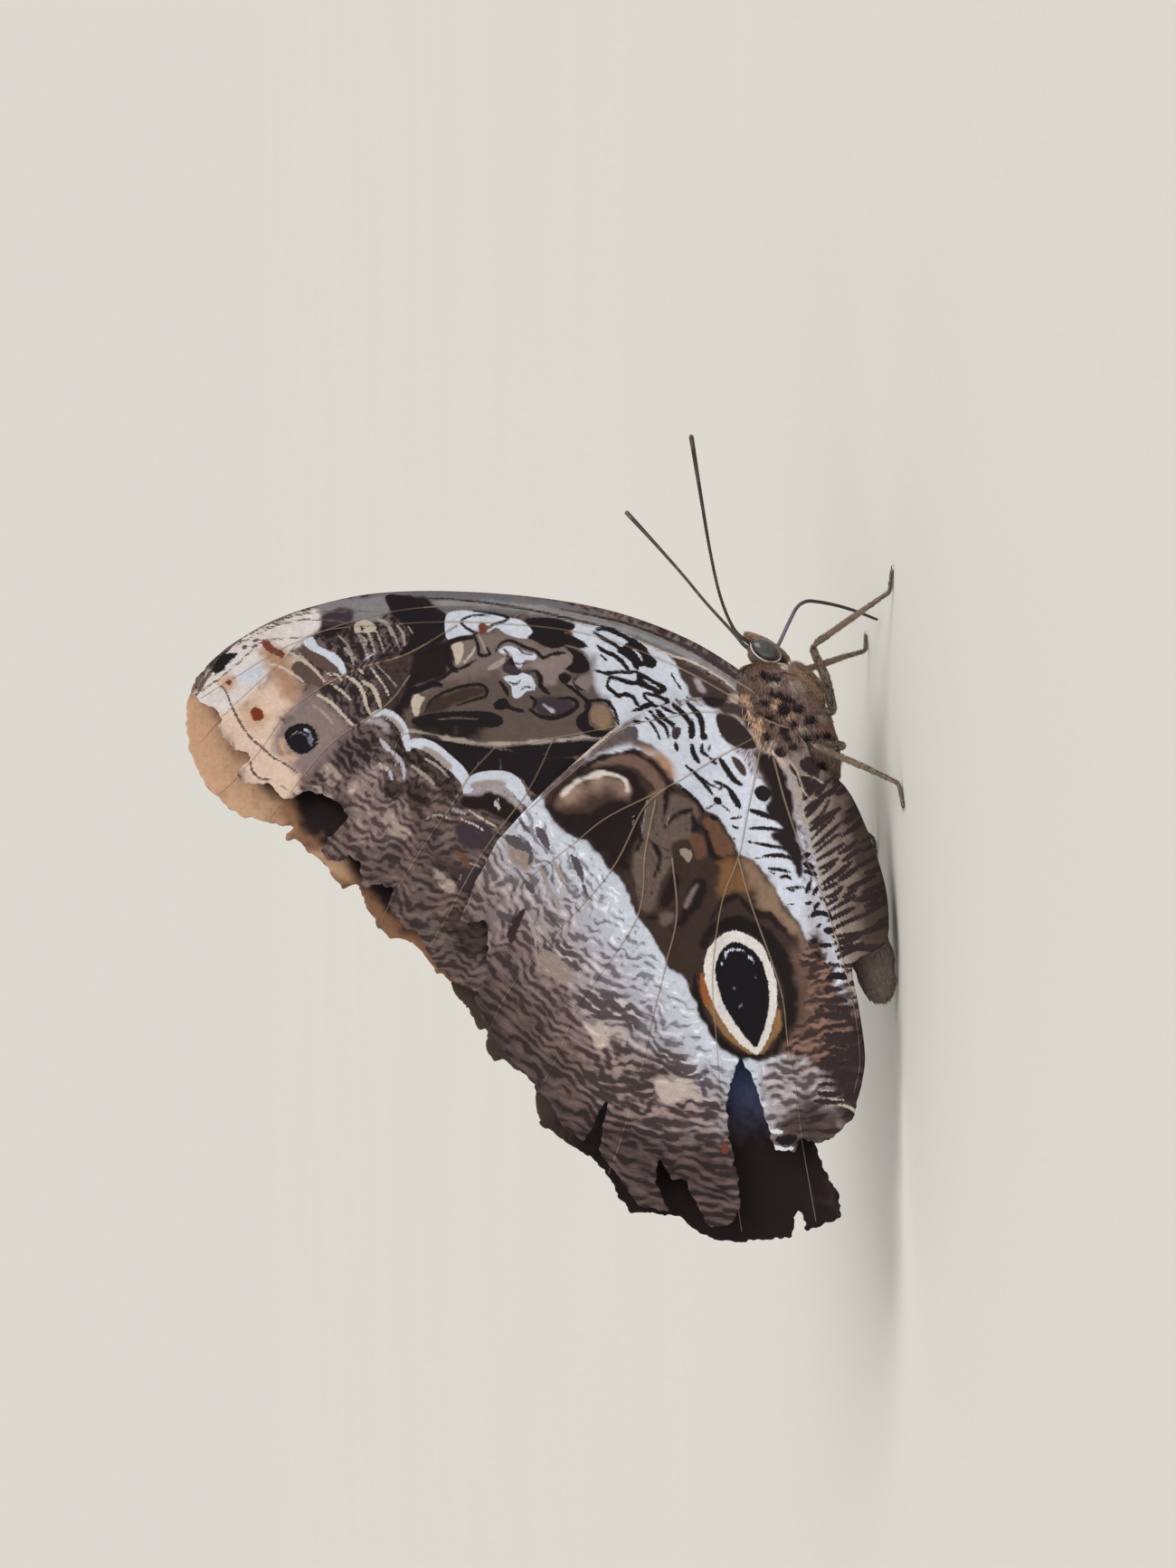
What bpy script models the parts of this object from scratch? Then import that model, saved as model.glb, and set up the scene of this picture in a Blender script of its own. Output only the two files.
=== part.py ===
"""A life-size owl butterfly at rest on the floor, wings closed over its back.

The head faces +X, the back faces +Z and the butterfly's right side faces -Y. Sizes are in
millimetres and are turned into metres where a mesh is made. Outlines and joints of the wings and
legs are written as they appear in a side picture, forward and up from a point on the floor, and
Sight turns them into the butterfly's own axes.
"""

import math

import bmesh
import bpy
import numpy as np
from mathutils import Vector
from mathutils.geometry import delaunay_2d_cdt

MM = 0.001
GAP = 0.3
FLOOR = 0.0

# The side picture is taken from a little behind the butterfly and a little above the floor.
SIGHT_BEHIND = math.radians(18.0)
SIGHT_ABOVE = math.radians(5.0)

WING_THICKNESS = 0.5
FORE_LAYER = 0.5
HIND_LAYER = 1.5
FORE_FLARE = 2.35
HIND_FLARE = 3.0
FLARE_INNER = 3.0
FLARE_OUTER = 15.0
WING_SPREAD = 1.3
WING_REACH = 85.0
WAVE_DEPTH = 0.45
WAVE_LENGTH = 46.0
RIDGE_ROOT = 0.24
RIDGE_TIP = 0.1
RIDGE_HALF_WIDTH = 0.45
VEIN_STEP = 4.0
MESH_STEP = 4.6
MESH_STEP_NEAR_BODY = 2.3
NEAR_BODY = 12.0

LEFT, RIGHT = 1, -1
SIDE_NAMES = {LEFT: "left", RIGHT: "right"}

# Stations of the trunk of the body: x, height of the centre, half width, half height.
THORAX = (
    (17.8, 16.9, 1.5, 2.0),
    (17.0, 16.6, 2.6, 3.6),
    (15.4, 15.7, 3.9, 4.6),
    (12.8, 14.5, 4.8, 5.1),
    (9.8, 13.2, 5.2, 5.4),
    (6.6, 12.1, 5.1, 5.2),
    (4.0, 11.2, 4.4, 4.7),
    (2.0, 10.6, 3.5, 4.0),
    (1.0, 10.3, 3.0, 3.6),
)
ABDOMEN = (
    (0.7, 10.2, 2.8, 3.3),
    (-1.5, 9.6, 3.2, 3.6),
    (-6.0, 8.3, 3.6, 3.8),
    (-12.0, 6.7, 3.75, 3.85),
    (-18.0, 5.2, 3.6, 3.75),
    (-24.0, 3.8, 3.1, 3.45),
    (-28.0, 2.85, 2.35, 3.0),
    (-30.6, 2.6, 1.4, 2.0),
    (-31.8, 2.6, 0.5, 0.8),
)
ABDOMEN_RINGS = 7
RING_DEPTH = 0.035
BODY_AXIS = ((-31.8, 2.7), (-18.0, 5.2), (-6.0, 8.3), (1.0, 10.3), (9.8, 13.2), (17.6, 15.9))

HEAD_CENTRE = (18.6, 0.0, 16.7)
HEAD_RADII = (1.35, 2.3, 2.7)
EYE_CENTRE = (18.95, 1.95, 16.7)
EYE_RADII = (1.4, 1.25, 2.25)
HEAD_PITCH = math.radians(35.0)


class Sight:
    """Turns picture places into places on the butterfly."""

    across = math.sin(SIGHT_BEHIND)
    along = math.cos(SIGHT_BEHIND)
    down = math.sin(SIGHT_ABOVE)
    level = math.cos(SIGHT_ABOVE)

    @classmethod
    def place(cls, forward, up, y):
        """The x and z of what shows at (forward, up) and lies at that y."""
        x = (forward + y * cls.across) / cls.along
        z = (up - x * cls.across * cls.down - y * cls.along * cls.down) / cls.level
        return x, z


def smooth_path(points, step):
    """Points about that far apart on a smooth curve through the given points."""
    given = [np.array(p, float) for p in points]
    padded = [2 * given[0] - given[1], *given, 2 * given[-1] - given[-2]]
    found = []
    for before, start, end, after in zip(padded, padded[1:], padded[2:], padded[3:]):
        count = max(1, round(float(np.linalg.norm(end - start)) / step))
        for t in np.arange(count) / count:
            cubic = (
                2 * start
                + (end - before) * t
                + (2 * before - 5 * start + 4 * end - after) * t**2
                + (3 * start - before - 3 * end + after) * t**3
            )
            found.append(cubic / 2)
    found.append(given[-1])
    return np.array(found)


def smooth_values(knots, values, wanted):
    """Values read off a smooth curve through (knots, values), for falling or rising knots."""
    order = np.argsort(knots)
    x = np.array(knots, float)[order]
    y = np.array(values, float)[order]
    slope = np.gradient(y, x)
    wanted = np.asarray(wanted, float)
    i = np.clip(np.searchsorted(x, wanted) - 1, 0, len(x) - 2)
    span = x[i + 1] - x[i]
    t = (wanted - x[i]) / span
    return (
        (2 * t**3 - 3 * t**2 + 1) * y[i]
        + (t**3 - 2 * t**2 + t) * span * slope[i]
        + (3 * t**2 - 2 * t**3) * y[i + 1]
        + (t**3 - t**2) * span * slope[i + 1]
    )


def material(name, colour, roughness):
    """A plain finish for one kind of surface."""
    made = bpy.data.materials.get(name) or bpy.data.materials.new(name)
    made.use_nodes = True
    surface = made.node_tree.nodes["Principled BSDF"]
    surface.inputs["Base Color"].default_value = (*colour, 1.0)
    surface.inputs["Roughness"].default_value = roughness
    return made


def scales():
    return material("wing_scales", (0.36, 0.31, 0.27), 0.75)


def fur():
    return material("body_fur", (0.30, 0.22, 0.16), 0.9)


def horn():
    return material("limb_cuticle", (0.10, 0.08, 0.07), 0.5)


def eye_lens():
    return material("eye_lens", (0.12, 0.11, 0.08), 0.2)


def new_object(name, points, faces, finish):
    """A node from points in millimetres, smooth where its faces meet gently."""
    mesh = bpy.data.meshes.new(name)
    mesh.from_pydata([tuple(MM * float(c) for c in p) for p in points], [], faces)
    mesh.materials.append(finish)
    body = bmesh.new()
    body.from_mesh(mesh)
    bmesh.ops.recalc_face_normals(body, faces=body.faces)
    body.to_mesh(mesh)
    body.free()
    mesh.shade_smooth()
    mesh.set_sharp_from_angle(angle=math.radians(40))
    made = bpy.data.objects.new(name, mesh)
    bpy.context.scene.collection.objects.link(made)
    return made


def ring_faces(rings, sides):
    """The faces of a closed tube of rings, with a flat face at each end."""
    faces = []
    for ring in range(rings - 1):
        first = ring * sides
        for side in range(sides):
            following = (side + 1) % sides
            faces.append(
                (first + side, first + following, first + sides + following, first + sides + side)
            )
    faces.append(tuple(range(sides)))
    faces.append(tuple(reversed(range((rings - 1) * sides, rings * sides))))
    return faces


def trunk(name, stations, step, sides, finish, rings=0):
    """A part of the body: upright oval sections along x, with shallow waists between rings."""
    x, height, width, tall = (np.array(c, float) for c in zip(*stations))
    count = int(round(abs(x[-1] - x[0]) / step)) + 1
    places = np.linspace(x[0], x[-1], count)
    centres = smooth_values(x, height, places)
    widths = smooth_values(x, width, places)
    talls = smooth_values(x, tall, places)
    waists = np.ones(count)
    if rings:
        waists = 1 - RING_DEPTH * np.cos(np.linspace(0, rings * math.tau, count))
    turn = np.arange(sides) * math.tau / sides
    points = [
        (px, waist * w * math.cos(a), max(FLOOR, pz + waist * t * math.sin(a)))
        for px, pz, w, t, waist in zip(places, centres, widths, talls, waists)
        for a in turn
    ]
    return new_object(name, points, ring_faces(count, sides), finish)


def limb(name, path, radii, sides, finish, floor=FLOOR):
    """A tapered tube along a path, flattened where it lies on the floor."""
    path = np.array(path, float)
    ahead = np.gradient(path, axis=0)
    ahead /= np.linalg.norm(ahead, axis=1)[:, None]
    across = np.cross(ahead[0], (0.0, 0.0, 1.0))
    if np.linalg.norm(across) < 1e-3:
        across = np.cross(ahead[0], (0.0, 1.0, 0.0))
    points = []
    for centre, forward, radius in zip(path, ahead, radii):
        across = across - forward * float(across @ forward)
        across /= np.linalg.norm(across)
        up = np.cross(across, forward)
        for turn in np.arange(sides) * math.tau / sides:
            point = centre + radius * (math.cos(turn) * across + math.sin(turn) * up)
            point[2] = max(point[2], floor)
            points.append(point)
    return new_object(name, points, ring_faces(len(path), sides), finish)


def oval(name, centre, radii, pitch, lean, finish, segments=20, rings=12):
    """An ellipsoid pitched forward, and leaning outwards about its own forward axis."""
    body = bmesh.new()
    bmesh.ops.create_uvsphere(body, u_segments=segments, v_segments=rings, radius=1.0)
    points = []
    for vertex in body.verts:
        forward, side, up = (r * c for r, c in zip(radii, vertex.co))
        side, up = (
            side * math.cos(lean) - up * math.sin(lean),
            side * math.sin(lean) + up * math.cos(lean),
        )
        points.append(
            (
                centre[0] + forward * math.cos(pitch) + up * math.sin(pitch),
                centre[1] + side,
                centre[2] - forward * math.sin(pitch) + up * math.cos(pitch),
            )
        )
    faces = [[v.index for v in face.verts] for face in body.faces]
    body.free()
    return new_object(name, points, faces, finish)


def grown(node, gap=GAP):
    """A hidden copy of a node with its surface moved out by the gap."""
    mesh = node.data.copy()
    normals = [v.normal.copy() for v in mesh.vertices]
    for vertex, normal in zip(mesh.vertices, normals):
        vertex.co += normal * gap * MM
    cutter = bpy.data.objects.new(f"grown_{node.name}", mesh)
    cutter.hide_render = True
    cutter.display_type = "WIRE"
    bpy.context.scene.collection.objects.link(cutter)
    return cutter


def trim(node, cutter):
    """Cuts a node back to the gap from the piece that it grows from."""
    cut = node.modifiers.new("trim", "BOOLEAN")
    cut.operation = "DIFFERENCE"
    cut.solver = "EXACT"
    cut.object = cutter


def body_distance(x, z):
    """How far a point seen from the side lies from the body's own axis, and on which side."""
    ax, az = (np.array(c) for c in zip(*BODY_AXIS))
    best = np.full(np.shape(x), np.inf)
    below = np.zeros(np.shape(x), bool)
    for x0, z0, x1, z1 in zip(ax, az, ax[1:], az[1:]):
        dx, dz = x1 - x0, z1 - z0
        t = np.clip(((x - x0) * dx + (z - z0) * dz) / (dx * dx + dz * dz), 0, 1)
        px, pz = x0 + t * dx, z0 + t * dz
        away = np.hypot(x - px, z - pz)
        nearer = away < best
        best = np.where(nearer, away, best)
        below = np.where(nearer, z < pz, below)
    return best, below


def layer_offset(x, z, layer, flare):
    """How far a wing's middle surface stands from the plane between the wings.

    The wings lie flat against each other, flare smoothly round the body, and curl under the
    abdomen below its axis.
    """
    away, below = body_distance(x, z)
    t = np.clip((away - FLARE_INNER) / (FLARE_OUTER - FLARE_INNER), 0, 1)
    offset = layer + flare * (1 - t * t * (3 - 2 * t))
    offset += WING_SPREAD * (np.clip(away, 0, WING_REACH) / WING_REACH) ** 2
    curled = np.sqrt(np.clip((layer + flare) ** 2 - 0.85 * away**2, 0.5, None))
    return np.where(below, np.minimum(offset, curled), offset)


def wave(x, z):
    """The slow bend that all four wings share, none of it at the body."""
    away, _ = body_distance(x, z)
    hold = np.clip((away - NEAR_BODY) / (WING_REACH - NEAR_BODY), 0, 1)
    return WAVE_DEPTH * hold * np.sin((x + 0.6 * z) * math.tau / WAVE_LENGTH)


def placed(picture, side, layer, flare):
    """Picture points of a wing as x and z, with the wing's own distance from the middle."""
    found = []
    for forward, up in picture:
        y = side * layer
        for _ in range(4):
            x, z = Sight.place(forward, up, y)
            y = side * float(layer_offset(np.array(x), np.array(z), layer, flare))
        found.append((x, z))
    return np.array(found)


def distance_to_lines(points, lines):
    """The distance from each point to the nearest of the lines."""
    best = np.full(len(points), np.inf)
    for line in lines:
        for a, b in zip(line[:-1], line[1:]):
            d = b - a
            t = np.clip(((points - a) @ d) / max(float(d @ d), 1e-9), 0, 1)
            best = np.minimum(best, np.linalg.norm(points - a - t[:, None] * d, axis=1))
    return best


def inside(points, outline):
    """Which points lie within a closed outline."""
    x, z = points[:, 0], points[:, 1]
    found = np.zeros(len(points), bool)
    for a, b in zip(outline, np.roll(outline, -1, axis=0)):
        crosses = (a[1] > z) != (b[1] > z)
        rise = b[1] - a[1]
        at = a[0] + (z - a[1]) * (b[0] - a[0]) / (rise if rise else 1e-12)
        found ^= crosses & (x < at)
    return found


def lattice(outline, step):
    """Evenly spread points over the box of an outline, in staggered rows."""
    low, high = outline.min(0), outline.max(0)
    rows = np.arange(low[1], high[1], step * math.sqrt(3) / 2)
    points = [
        (x + (step / 2 if row % 2 else 0.0), z)
        for row, z in enumerate(rows)
        for x in np.arange(low[0], high[0], step)
    ]
    return np.array(points)


def wing_sheet(outline, veins):
    """Points and triangles of a wing seen flat: its edge, its veins and a spread between them."""
    edge = np.vstack([outline, outline[:1]])
    points = [*outline]
    lines = [(i, (i + 1) % len(outline)) for i in range(len(outline))]
    kept = []
    for vein in veins:
        clear = inside(vein, outline) & (distance_to_lines(vein, [edge]) > 2 * RIDGE_HALF_WIDTH)
        if kept:
            clear &= distance_to_lines(vein, kept) > 3 * RIDGE_HALF_WIDTH
        vein = vein[clear]
        if len(vein) < 2:
            continue
        run = np.gradient(vein, axis=0)
        run /= np.linalg.norm(run, axis=1)[:, None]
        normal = np.stack([-run[:, 1], run[:, 0]], axis=1) * RIDGE_HALF_WIDTH
        first = len(points)
        points += [*vein, *(vein + normal), *(vein - normal)]
        lines += [(first + i, first + i + 1) for i in range(len(vein) - 1)]
        kept.append(vein)
    spread = lattice(outline, MESH_STEP)
    close = lattice(outline, MESH_STEP_NEAR_BODY)
    close = close[body_distance(close[:, 0], close[:, 1])[0] < NEAR_BODY]
    spread = spread[body_distance(spread[:, 0], spread[:, 1])[0] >= NEAR_BODY]
    for more, step in ((spread, MESH_STEP), (close, MESH_STEP_NEAR_BODY)):
        more = more[inside(more, outline)]
        more = more[distance_to_lines(more, [edge, *kept]) > 0.45 * step]
        points += [*more]
    found = delaunay_2d_cdt(
        [Vector(p) for p in points], lines, [list(range(len(outline)))], 1, 1e-4
    )
    flat = np.array([tuple(p) for p in found[0]])
    return flat, [tuple(face) for face in found[2]], kept


def wing(name, side, picture, veins, layer, flare, finish):
    """A wing: a thin closed sheet with its veins raised on the face that shows."""
    outline = placed(picture, side, layer, flare)
    runs = [placed(smooth_path(v, VEIN_STEP), side, layer, flare) for v in veins]
    flat, triangles, ridges = wing_sheet(outline, runs)
    away, _ = body_distance(flat[:, 0], flat[:, 1])
    near_vein = distance_to_lines(flat, ridges) / RIDGE_HALF_WIDTH
    tall = RIDGE_ROOT + (RIDGE_TIP - RIDGE_ROOT) * np.clip(away / WING_REACH, 0, 1)
    ridge = tall * np.clip(1 - near_vein, 0, 1)
    offset = layer_offset(flat[:, 0], flat[:, 1], layer, flare)
    bend = wave(flat[:, 0], flat[:, 1])
    outer = side * (offset + WING_THICKNESS / 2 + ridge) + bend
    inner = side * (offset - WING_THICKNESS / 2) + bend
    count = len(flat)
    points = [(x, y, z) for (x, z), y in zip(flat, outer)]
    points += [(x, y, z) for (x, z), y in zip(flat, inner)]
    faces = [*triangles, *((c + count, b + count, a + count) for a, b, c in triangles)]
    edges = {}
    for a, b, c in triangles:
        for start, end in ((a, b), (b, c), (c, a)):
            edges[(start, end)] = edges.get((start, end), 0) + 1
    rim = [pair for pair in edges if (pair[1], pair[0]) not in edges]
    for start, end in rim:
        faces.append((end, start, start + count))
        faces.append((end, start + count, end + count))
    return new_object(name, points, faces, finish)


# The forewing in the side picture. The leading edge runs from the root to the tip.
FORE_LEADING = (
    (8.5, 13.0), (12.6, 16.6), (17.4, 23.0), (21.0, 29.5), (24.3, 39.0), (26.2, 50.0),
    (26.9, 62.0), (26.4, 72.0), (24.5, 80.2), (22.5, 85.5), (20.7, 88.7), (18.7, 91.7),
    (16.4, 94.2),
)
FORE_TIP_RIGHT = ((14.4, 95.8), (12.6, 96.2), (11.2, 95.3), (10.4, 93.1))
# The worn outer edge of the right forewing, with a bite and frayed lobes between the veins.
FORE_WORN_RIGHT = (
    (9.1, 92.1), (8.1, 92.6), (6.2, 91.8), (4.8, 90.2), (4.6, 88.5), (3.8, 88.0), (1.6, 90.0),
    (0.2, 88.7), (0.0, 87.0), (0.5, 85.5), (-1.9, 83.4), (-1.0, 79.8), (-2.2, 76.0),
    (-4.8, 74.4), (-7.6, 77.2), (-9.3, 78.4), (-10.6, 77.3), (-10.9, 75.7), (-9.5, 74.6),
    (-11.2, 72.6), (-14.4, 72.6), (-13.8, 69.8), (-14.4, 68.2), (-16.5, 69.2), (-19.9, 66.3),
    (-19.8, 65.0), (-23.4, 63.5), (-25.3, 61.6), (-27.0, 59.4), (-28.4, 56.4),
)
FORE_TIP_LEFT = ((14.2, 96.1), (12.0, 96.9), (9.3, 97.3), (7.0, 97.1), (4.5, 96.5))
FORE_WORN_LEFT = (
    (2.0, 95.5), (-0.5, 94.1), (-2.7, 91.7), (-4.5, 88.8), (-5.0, 86.2), (-6.0, 83.6),
    (-5.2, 81.3), (-6.9, 83.2), (-7.7, 83.2), (-7.6, 81.8), (-10.4, 78.9), (-11.5, 77.4),
    (-14.5, 75.4), (-13.7, 73.2), (-16.1, 72.4), (-19.6, 70.5), (-20.9, 68.9), (-21.4, 66.6),
    (-22.6, 64.6), (-24.2, 63.6), (-25.6, 62.4), (-26.7, 60.6), (-28.4, 57.0),
)
FORE_TRAILING = ((-29.2, 53.5), (-25.5, 47.5), (-15.5, 38.0), (-5.0, 27.5), (4.6, 17.6), (5.6, 13.0))

# The hindwing in the side picture. The leading edge runs from the root to the outer corner.
HIND_LEADING = (
    (7.6, 13.4), (8.9, 17.0), (10.9, 20.6), (12.0, 25.8), (11.0, 31.1), (8.0, 37.6),
    (3.3, 43.2), (-2.0, 48.8), (-7.8, 54.2),
)
HIND_WORN_RIGHT = (
    (-14.1, 57.4), (-18.9, 59.2), (-18.6, 55.7), (-22.4, 55.2), (-26.8, 55.7), (-28.8, 57.1),
    (-33.0, 55.4), (-37.0, 52.5), (-40.6, 48.9), (-43.0, 46.8), (-46.2, 45.2), (-48.1, 42.2),
    (-42.2, 39.0), (-49.3, 40.2), (-56.8, 34.6), (-57.2, 31.0), (-53.6, 32.6), (-50.8, 32.1),
    (-53.1, 30.2), (-53.2, 28.3), (-55.5, 27.7), (-59.8, 25.3), (-59.3, 22.9), (-56.8, 21.3),
    (-53.0, 21.5), (-47.4, 22.9), (-43.6, 23.0), (-40.5, 22.4), (-37.4, 21.0), (-39.5, 19.8),
    (-43.0, 18.3), (-46.1, 17.5), (-49.5, 16.4), (-49.7, 13.9), (-48.1, 13.0), (-48.6, 9.2),
    (-45.2, 5.8),
)
HIND_WORN_LEFT = (
    (-14.0, 57.8), (-20.5, 60.0), (-26.0, 60.6), (-28.4, 60.1), (-30.1, 58.9), (-30.5, 57.8),
    (-32.7, 57.1), (-33.6, 56.4), (-33.3, 55.7), (-36.1, 55.6), (-37.8, 54.6), (-37.4, 53.3),
    (-38.5, 52.0), (-39.2, 50.6), (-40.8, 49.1), (-42.9, 48.7), (-46.1, 48.3), (-47.5, 46.3),
    (-48.8, 43.9), (-49.9, 42.3), (-52.1, 39.6), (-54.9, 38.0), (-57.9, 36.0), (-57.9, 32.4),
    (-58.2, 29.2), (-59.9, 27.7), (-61.4, 24.9), (-62.0, 21.8), (-61.6, 18.6), (-61.3, 14.3),
    (-57.4, 13.2), (-60.4, 12.4), (-58.9, 7.3), (-55.4, 7.9), (-51.8, 9.9), (-48.8, 11.0),
    (-46.4, 9.4), (-44.0, 6.6),
)
# The trailing edge of a hindwing, from its outer corner up the fold that clasps the abdomen.
HIND_TRAILING = (
    (-41.0, 4.6), (-37.0, 4.1), (-30.4, 4.9), (-24.6, 5.7), (-23.0, 3.0), (-21.4, 0.9),
    (-18.0, 0.5), (-13.8, 0.9), (-9.4, 2.1), (-5.2, 3.7), (-1.6, 5.4), (0.8, 7.4), (2.6, 10.4),
    (5.6, 11.6),
)

# Veins in the side picture, from the body outwards.
FORE_VEINS = (
    (
        (12.5, 18.5), (17.5, 26.5), (22.0, 36.5), (24.4, 50.0), (24.7, 62.0), (23.2, 72.0),
        (19.4, 82.5), (14.6, 90.5), (11.8, 95.0),
    ),
    (
        (11.0, 20.0), (16.5, 30.0), (20.8, 42.0), (22.4, 56.0), (22.2, 68.0), (20.8, 79.6),
        (16.4, 84.6), (9.4, 92.0), (5.8, 95.2),
    ),
    ((22.0, 60.0), (18.0, 66.9), (15.4, 74.9), (10.4, 82.6), (5.0, 86.6), (1.0, 90.0), (-2.0, 93.2)),
    ((15.0, 66.4), (11.0, 69.5), (6.0, 76.6), (2.0, 80.2), (-1.2, 82.6), (-5.4, 86.0)),
    (
        (9.8, 18.6), (9.2, 30.0), (6.4, 45.5), (5.0, 54.5), (7.0, 66.5), (2.2, 68.9), (-2.5, 72.5),
        (-10.0, 77.6),
    ),
    ((5.0, 54.5), (1.0, 58.1), (-3.1, 60.5), (-7.4, 63.5), (-14.8, 68.0), (-21.0, 71.0)),
    ((6.2, 46.5), (-1.0, 50.0), (-10.0, 56.5), (-20.0, 62.0), (-26.0, 66.0)),
    ((7.4, 17.8), (-4.0, 30.0), (-14.0, 41.0), (-24.0, 52.5), (-30.0, 58.0)),
)
HIND_VEINS = (
    ((8.4, 18.4), (9.9, 25.0), (9.0, 31.5), (7.4, 37.2), (1.8, 43.6), (-4.6, 51.2), (-8.6, 55.6)),
    ((6.6, 18.2), (3.6, 23.8), (-0.5, 30.8), (-4.6, 39.0), (-8.2, 43.7), (-15.0, 52.7), (-19.6, 58.8)),
    ((-0.5, 30.8), (-3.6, 34.2), (-12.5, 39.0), (-23.2, 48.8), (-29.0, 53.0), (-33.5, 55.2), (-37.0, 57.0)),
    ((-2.2, 32.4), (-9.5, 33.9), (-18.4, 35.1), (-30.1, 42.9), (-37.0, 45.9), (-42.0, 48.6), (-46.6, 50.2)),
    (
        (-10.2, 30.2), (-18.0, 29.6), (-24.9, 31.2), (-31.8, 33.0), (-38.8, 34.5), (-47.0, 37.0),
        (-54.0, 39.4),
    ),
    (
        (5.4, 17.8), (3.4, 18.2), (-3.0, 19.6), (-10.2, 21.1), (-16.4, 23.4), (-25.8, 24.8),
        (-33.5, 24.4), (-42.1, 23.8), (-49.9, 22.6), (-60.5, 21.0),
    ),
    (
        (-10.2, 21.1), (-16.5, 19.4), (-28.0, 15.5), (-35.2, 14.6), (-40.9, 13.6), (-47.8, 12.8),
        (-60.0, 10.8),
    ),
    ((3.6, 16.2), (-2.6, 14.6), (-9.2, 12.4), (-14.9, 9.9), (-26.8, 6.3), (-36.8, 4.8), (-42.0, 5.6)),
)

# Joints of the legs of one side: hip inside the thorax, end of the coxa, knee, ankle, toe joint, toe.
MIDDLE_LEG = {
    RIGHT: (
        (10.4, 2.0, 11.0), (9.4, 3.1, 7.7), (13.6, 5.8, 9.0), (17.4, 8.0, 11.1),
        (21.8, 11.0, 3.9), (23.8, 12.6, 0.5), (26.6, 13.8, 0.24),
    ),
    LEFT: (
        (10.4, 2.0, 11.0), (9.8, 3.1, 7.8), (14.6, 5.7, 9.1), (19.2, 8.0, 10.8),
        (22.2, 10.6, 4.6), (24.0, 12.4, 0.5), (26.8, 13.6, 0.24),
    ),
}
HIND_LEG = (
    (5.6, 1.8, 10.0), (4.6, 3.0, 6.4), (3.6, 6.0, 9.6), (2.9, 9.0, 12.0), (-1.4, 11.3, 4.6),
    (-4.0, 12.6, 0.5), (-7.8, 13.8, 0.24),
)
LEG_RADII = (0.75, 0.62, 0.5, 0.44, 0.36, 0.3, 0.27)
FORELEG = (
    (11.4, 1.8, 11.6), (10.9, 2.9, 9.3), (13.5, 3.4, 11.0), (15.6, 3.3, 13.0), (16.4, 2.9, 12.9),
    (16.1, 2.6, 11.7), (14.2, 2.4, 9.8), (12.7, 2.3, 8.7),
)
FORELEG_RADII = (0.6, 0.55, 0.52, 0.42, 0.34, 0.4, 0.42, 0.27)
BEND = 0.16

ANTENNA = {
    RIGHT: (
        (20.0, 0.8, 17.9), (20.7, 1.1, 19.3), (22.3, 1.8, 21.1), (26.3, 3.7, 23.0),
        (32.0, 6.9, 24.6), (39.5, 11.0, 26.2), (46.4, 14.0, 27.5),
    ),
    LEFT: (
        (20.0, 0.8, 17.9), (20.7, 1.1, 19.2), (22.9, 2.0, 20.6), (28.2, 4.2, 24.1),
        (33.6, 7.2, 27.0), (39.9, 10.8, 30.6), (45.7, 14.0, 34.1),
    ),
}
ANTENNA_RADII = (0.36, 0.32, 0.27, 0.26, 0.26, 0.3, 0.36)
PALP = (
    (17.7, 0.95, 13.3), (18.3, 0.95, 13.8), (19.4, 0.95, 14.9), (20.55, 0.95, 16.4),
    (21.4, 0.9, 18.1), (21.8, 0.85, 19.3),
)
PALP_RADII = (0.4, 0.48, 0.48, 0.45, 0.4, 0.26)
PROBOSCIS = (
    (19.2, 0.0, 15.4), (20.7, 0.0, 14.5), (23.7, 0.0, 13.05), (26.0, 0.0, 11.8), (26.9, 0.0, 10.5),
    (26.9, 0.0, 9.0), (26.4, 0.0, 6.4), (25.6, 0.0, 3.8), (24.4, 0.0, 0.9), (24.2, 0.0, 0.45),
)
PROBOSCIS_RADII = (0.3, 0.29, 0.27, 0.26, 0.26, 0.25, 0.25, 0.25, 0.25, 0.25)


def both_sides(points, side):
    """Points of one side, on that side."""
    return [(x, side * y, z) for x, y, z in points]


def rounded_path(joints, radii, bend, step):
    """Nearly straight runs between joints with a short bend at each, and the radius along them."""
    joints = [np.array(j, float) for j in joints]
    path, sizes = [joints[0]], [radii[0]]
    for i in range(1, len(joints) - 1):
        before, here, after = joints[i - 1], joints[i], joints[i + 1]
        entry = here + (before - here) * bend
        leave = here + (after - here) * bend
        for t in (0.0, 0.5, 1.0):
            point = (1 - t) ** 2 * entry + 2 * t * (1 - t) * here + t * t * leave
            path.append(point)
            sizes.append(radii[i])
    path.append(joints[-1])
    sizes.append(radii[-1])
    return np.array(path), sizes


def tapered(points, radii, step):
    """A smooth path through the points, with the radius read along it."""
    path = smooth_path(points, step)
    knots = []
    for point in points:
        knots.append(float(np.argmin(np.linalg.norm(path - np.array(point), axis=1))))
    sizes = np.interp(np.arange(len(path)), knots, radii)
    return path, sizes


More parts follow.
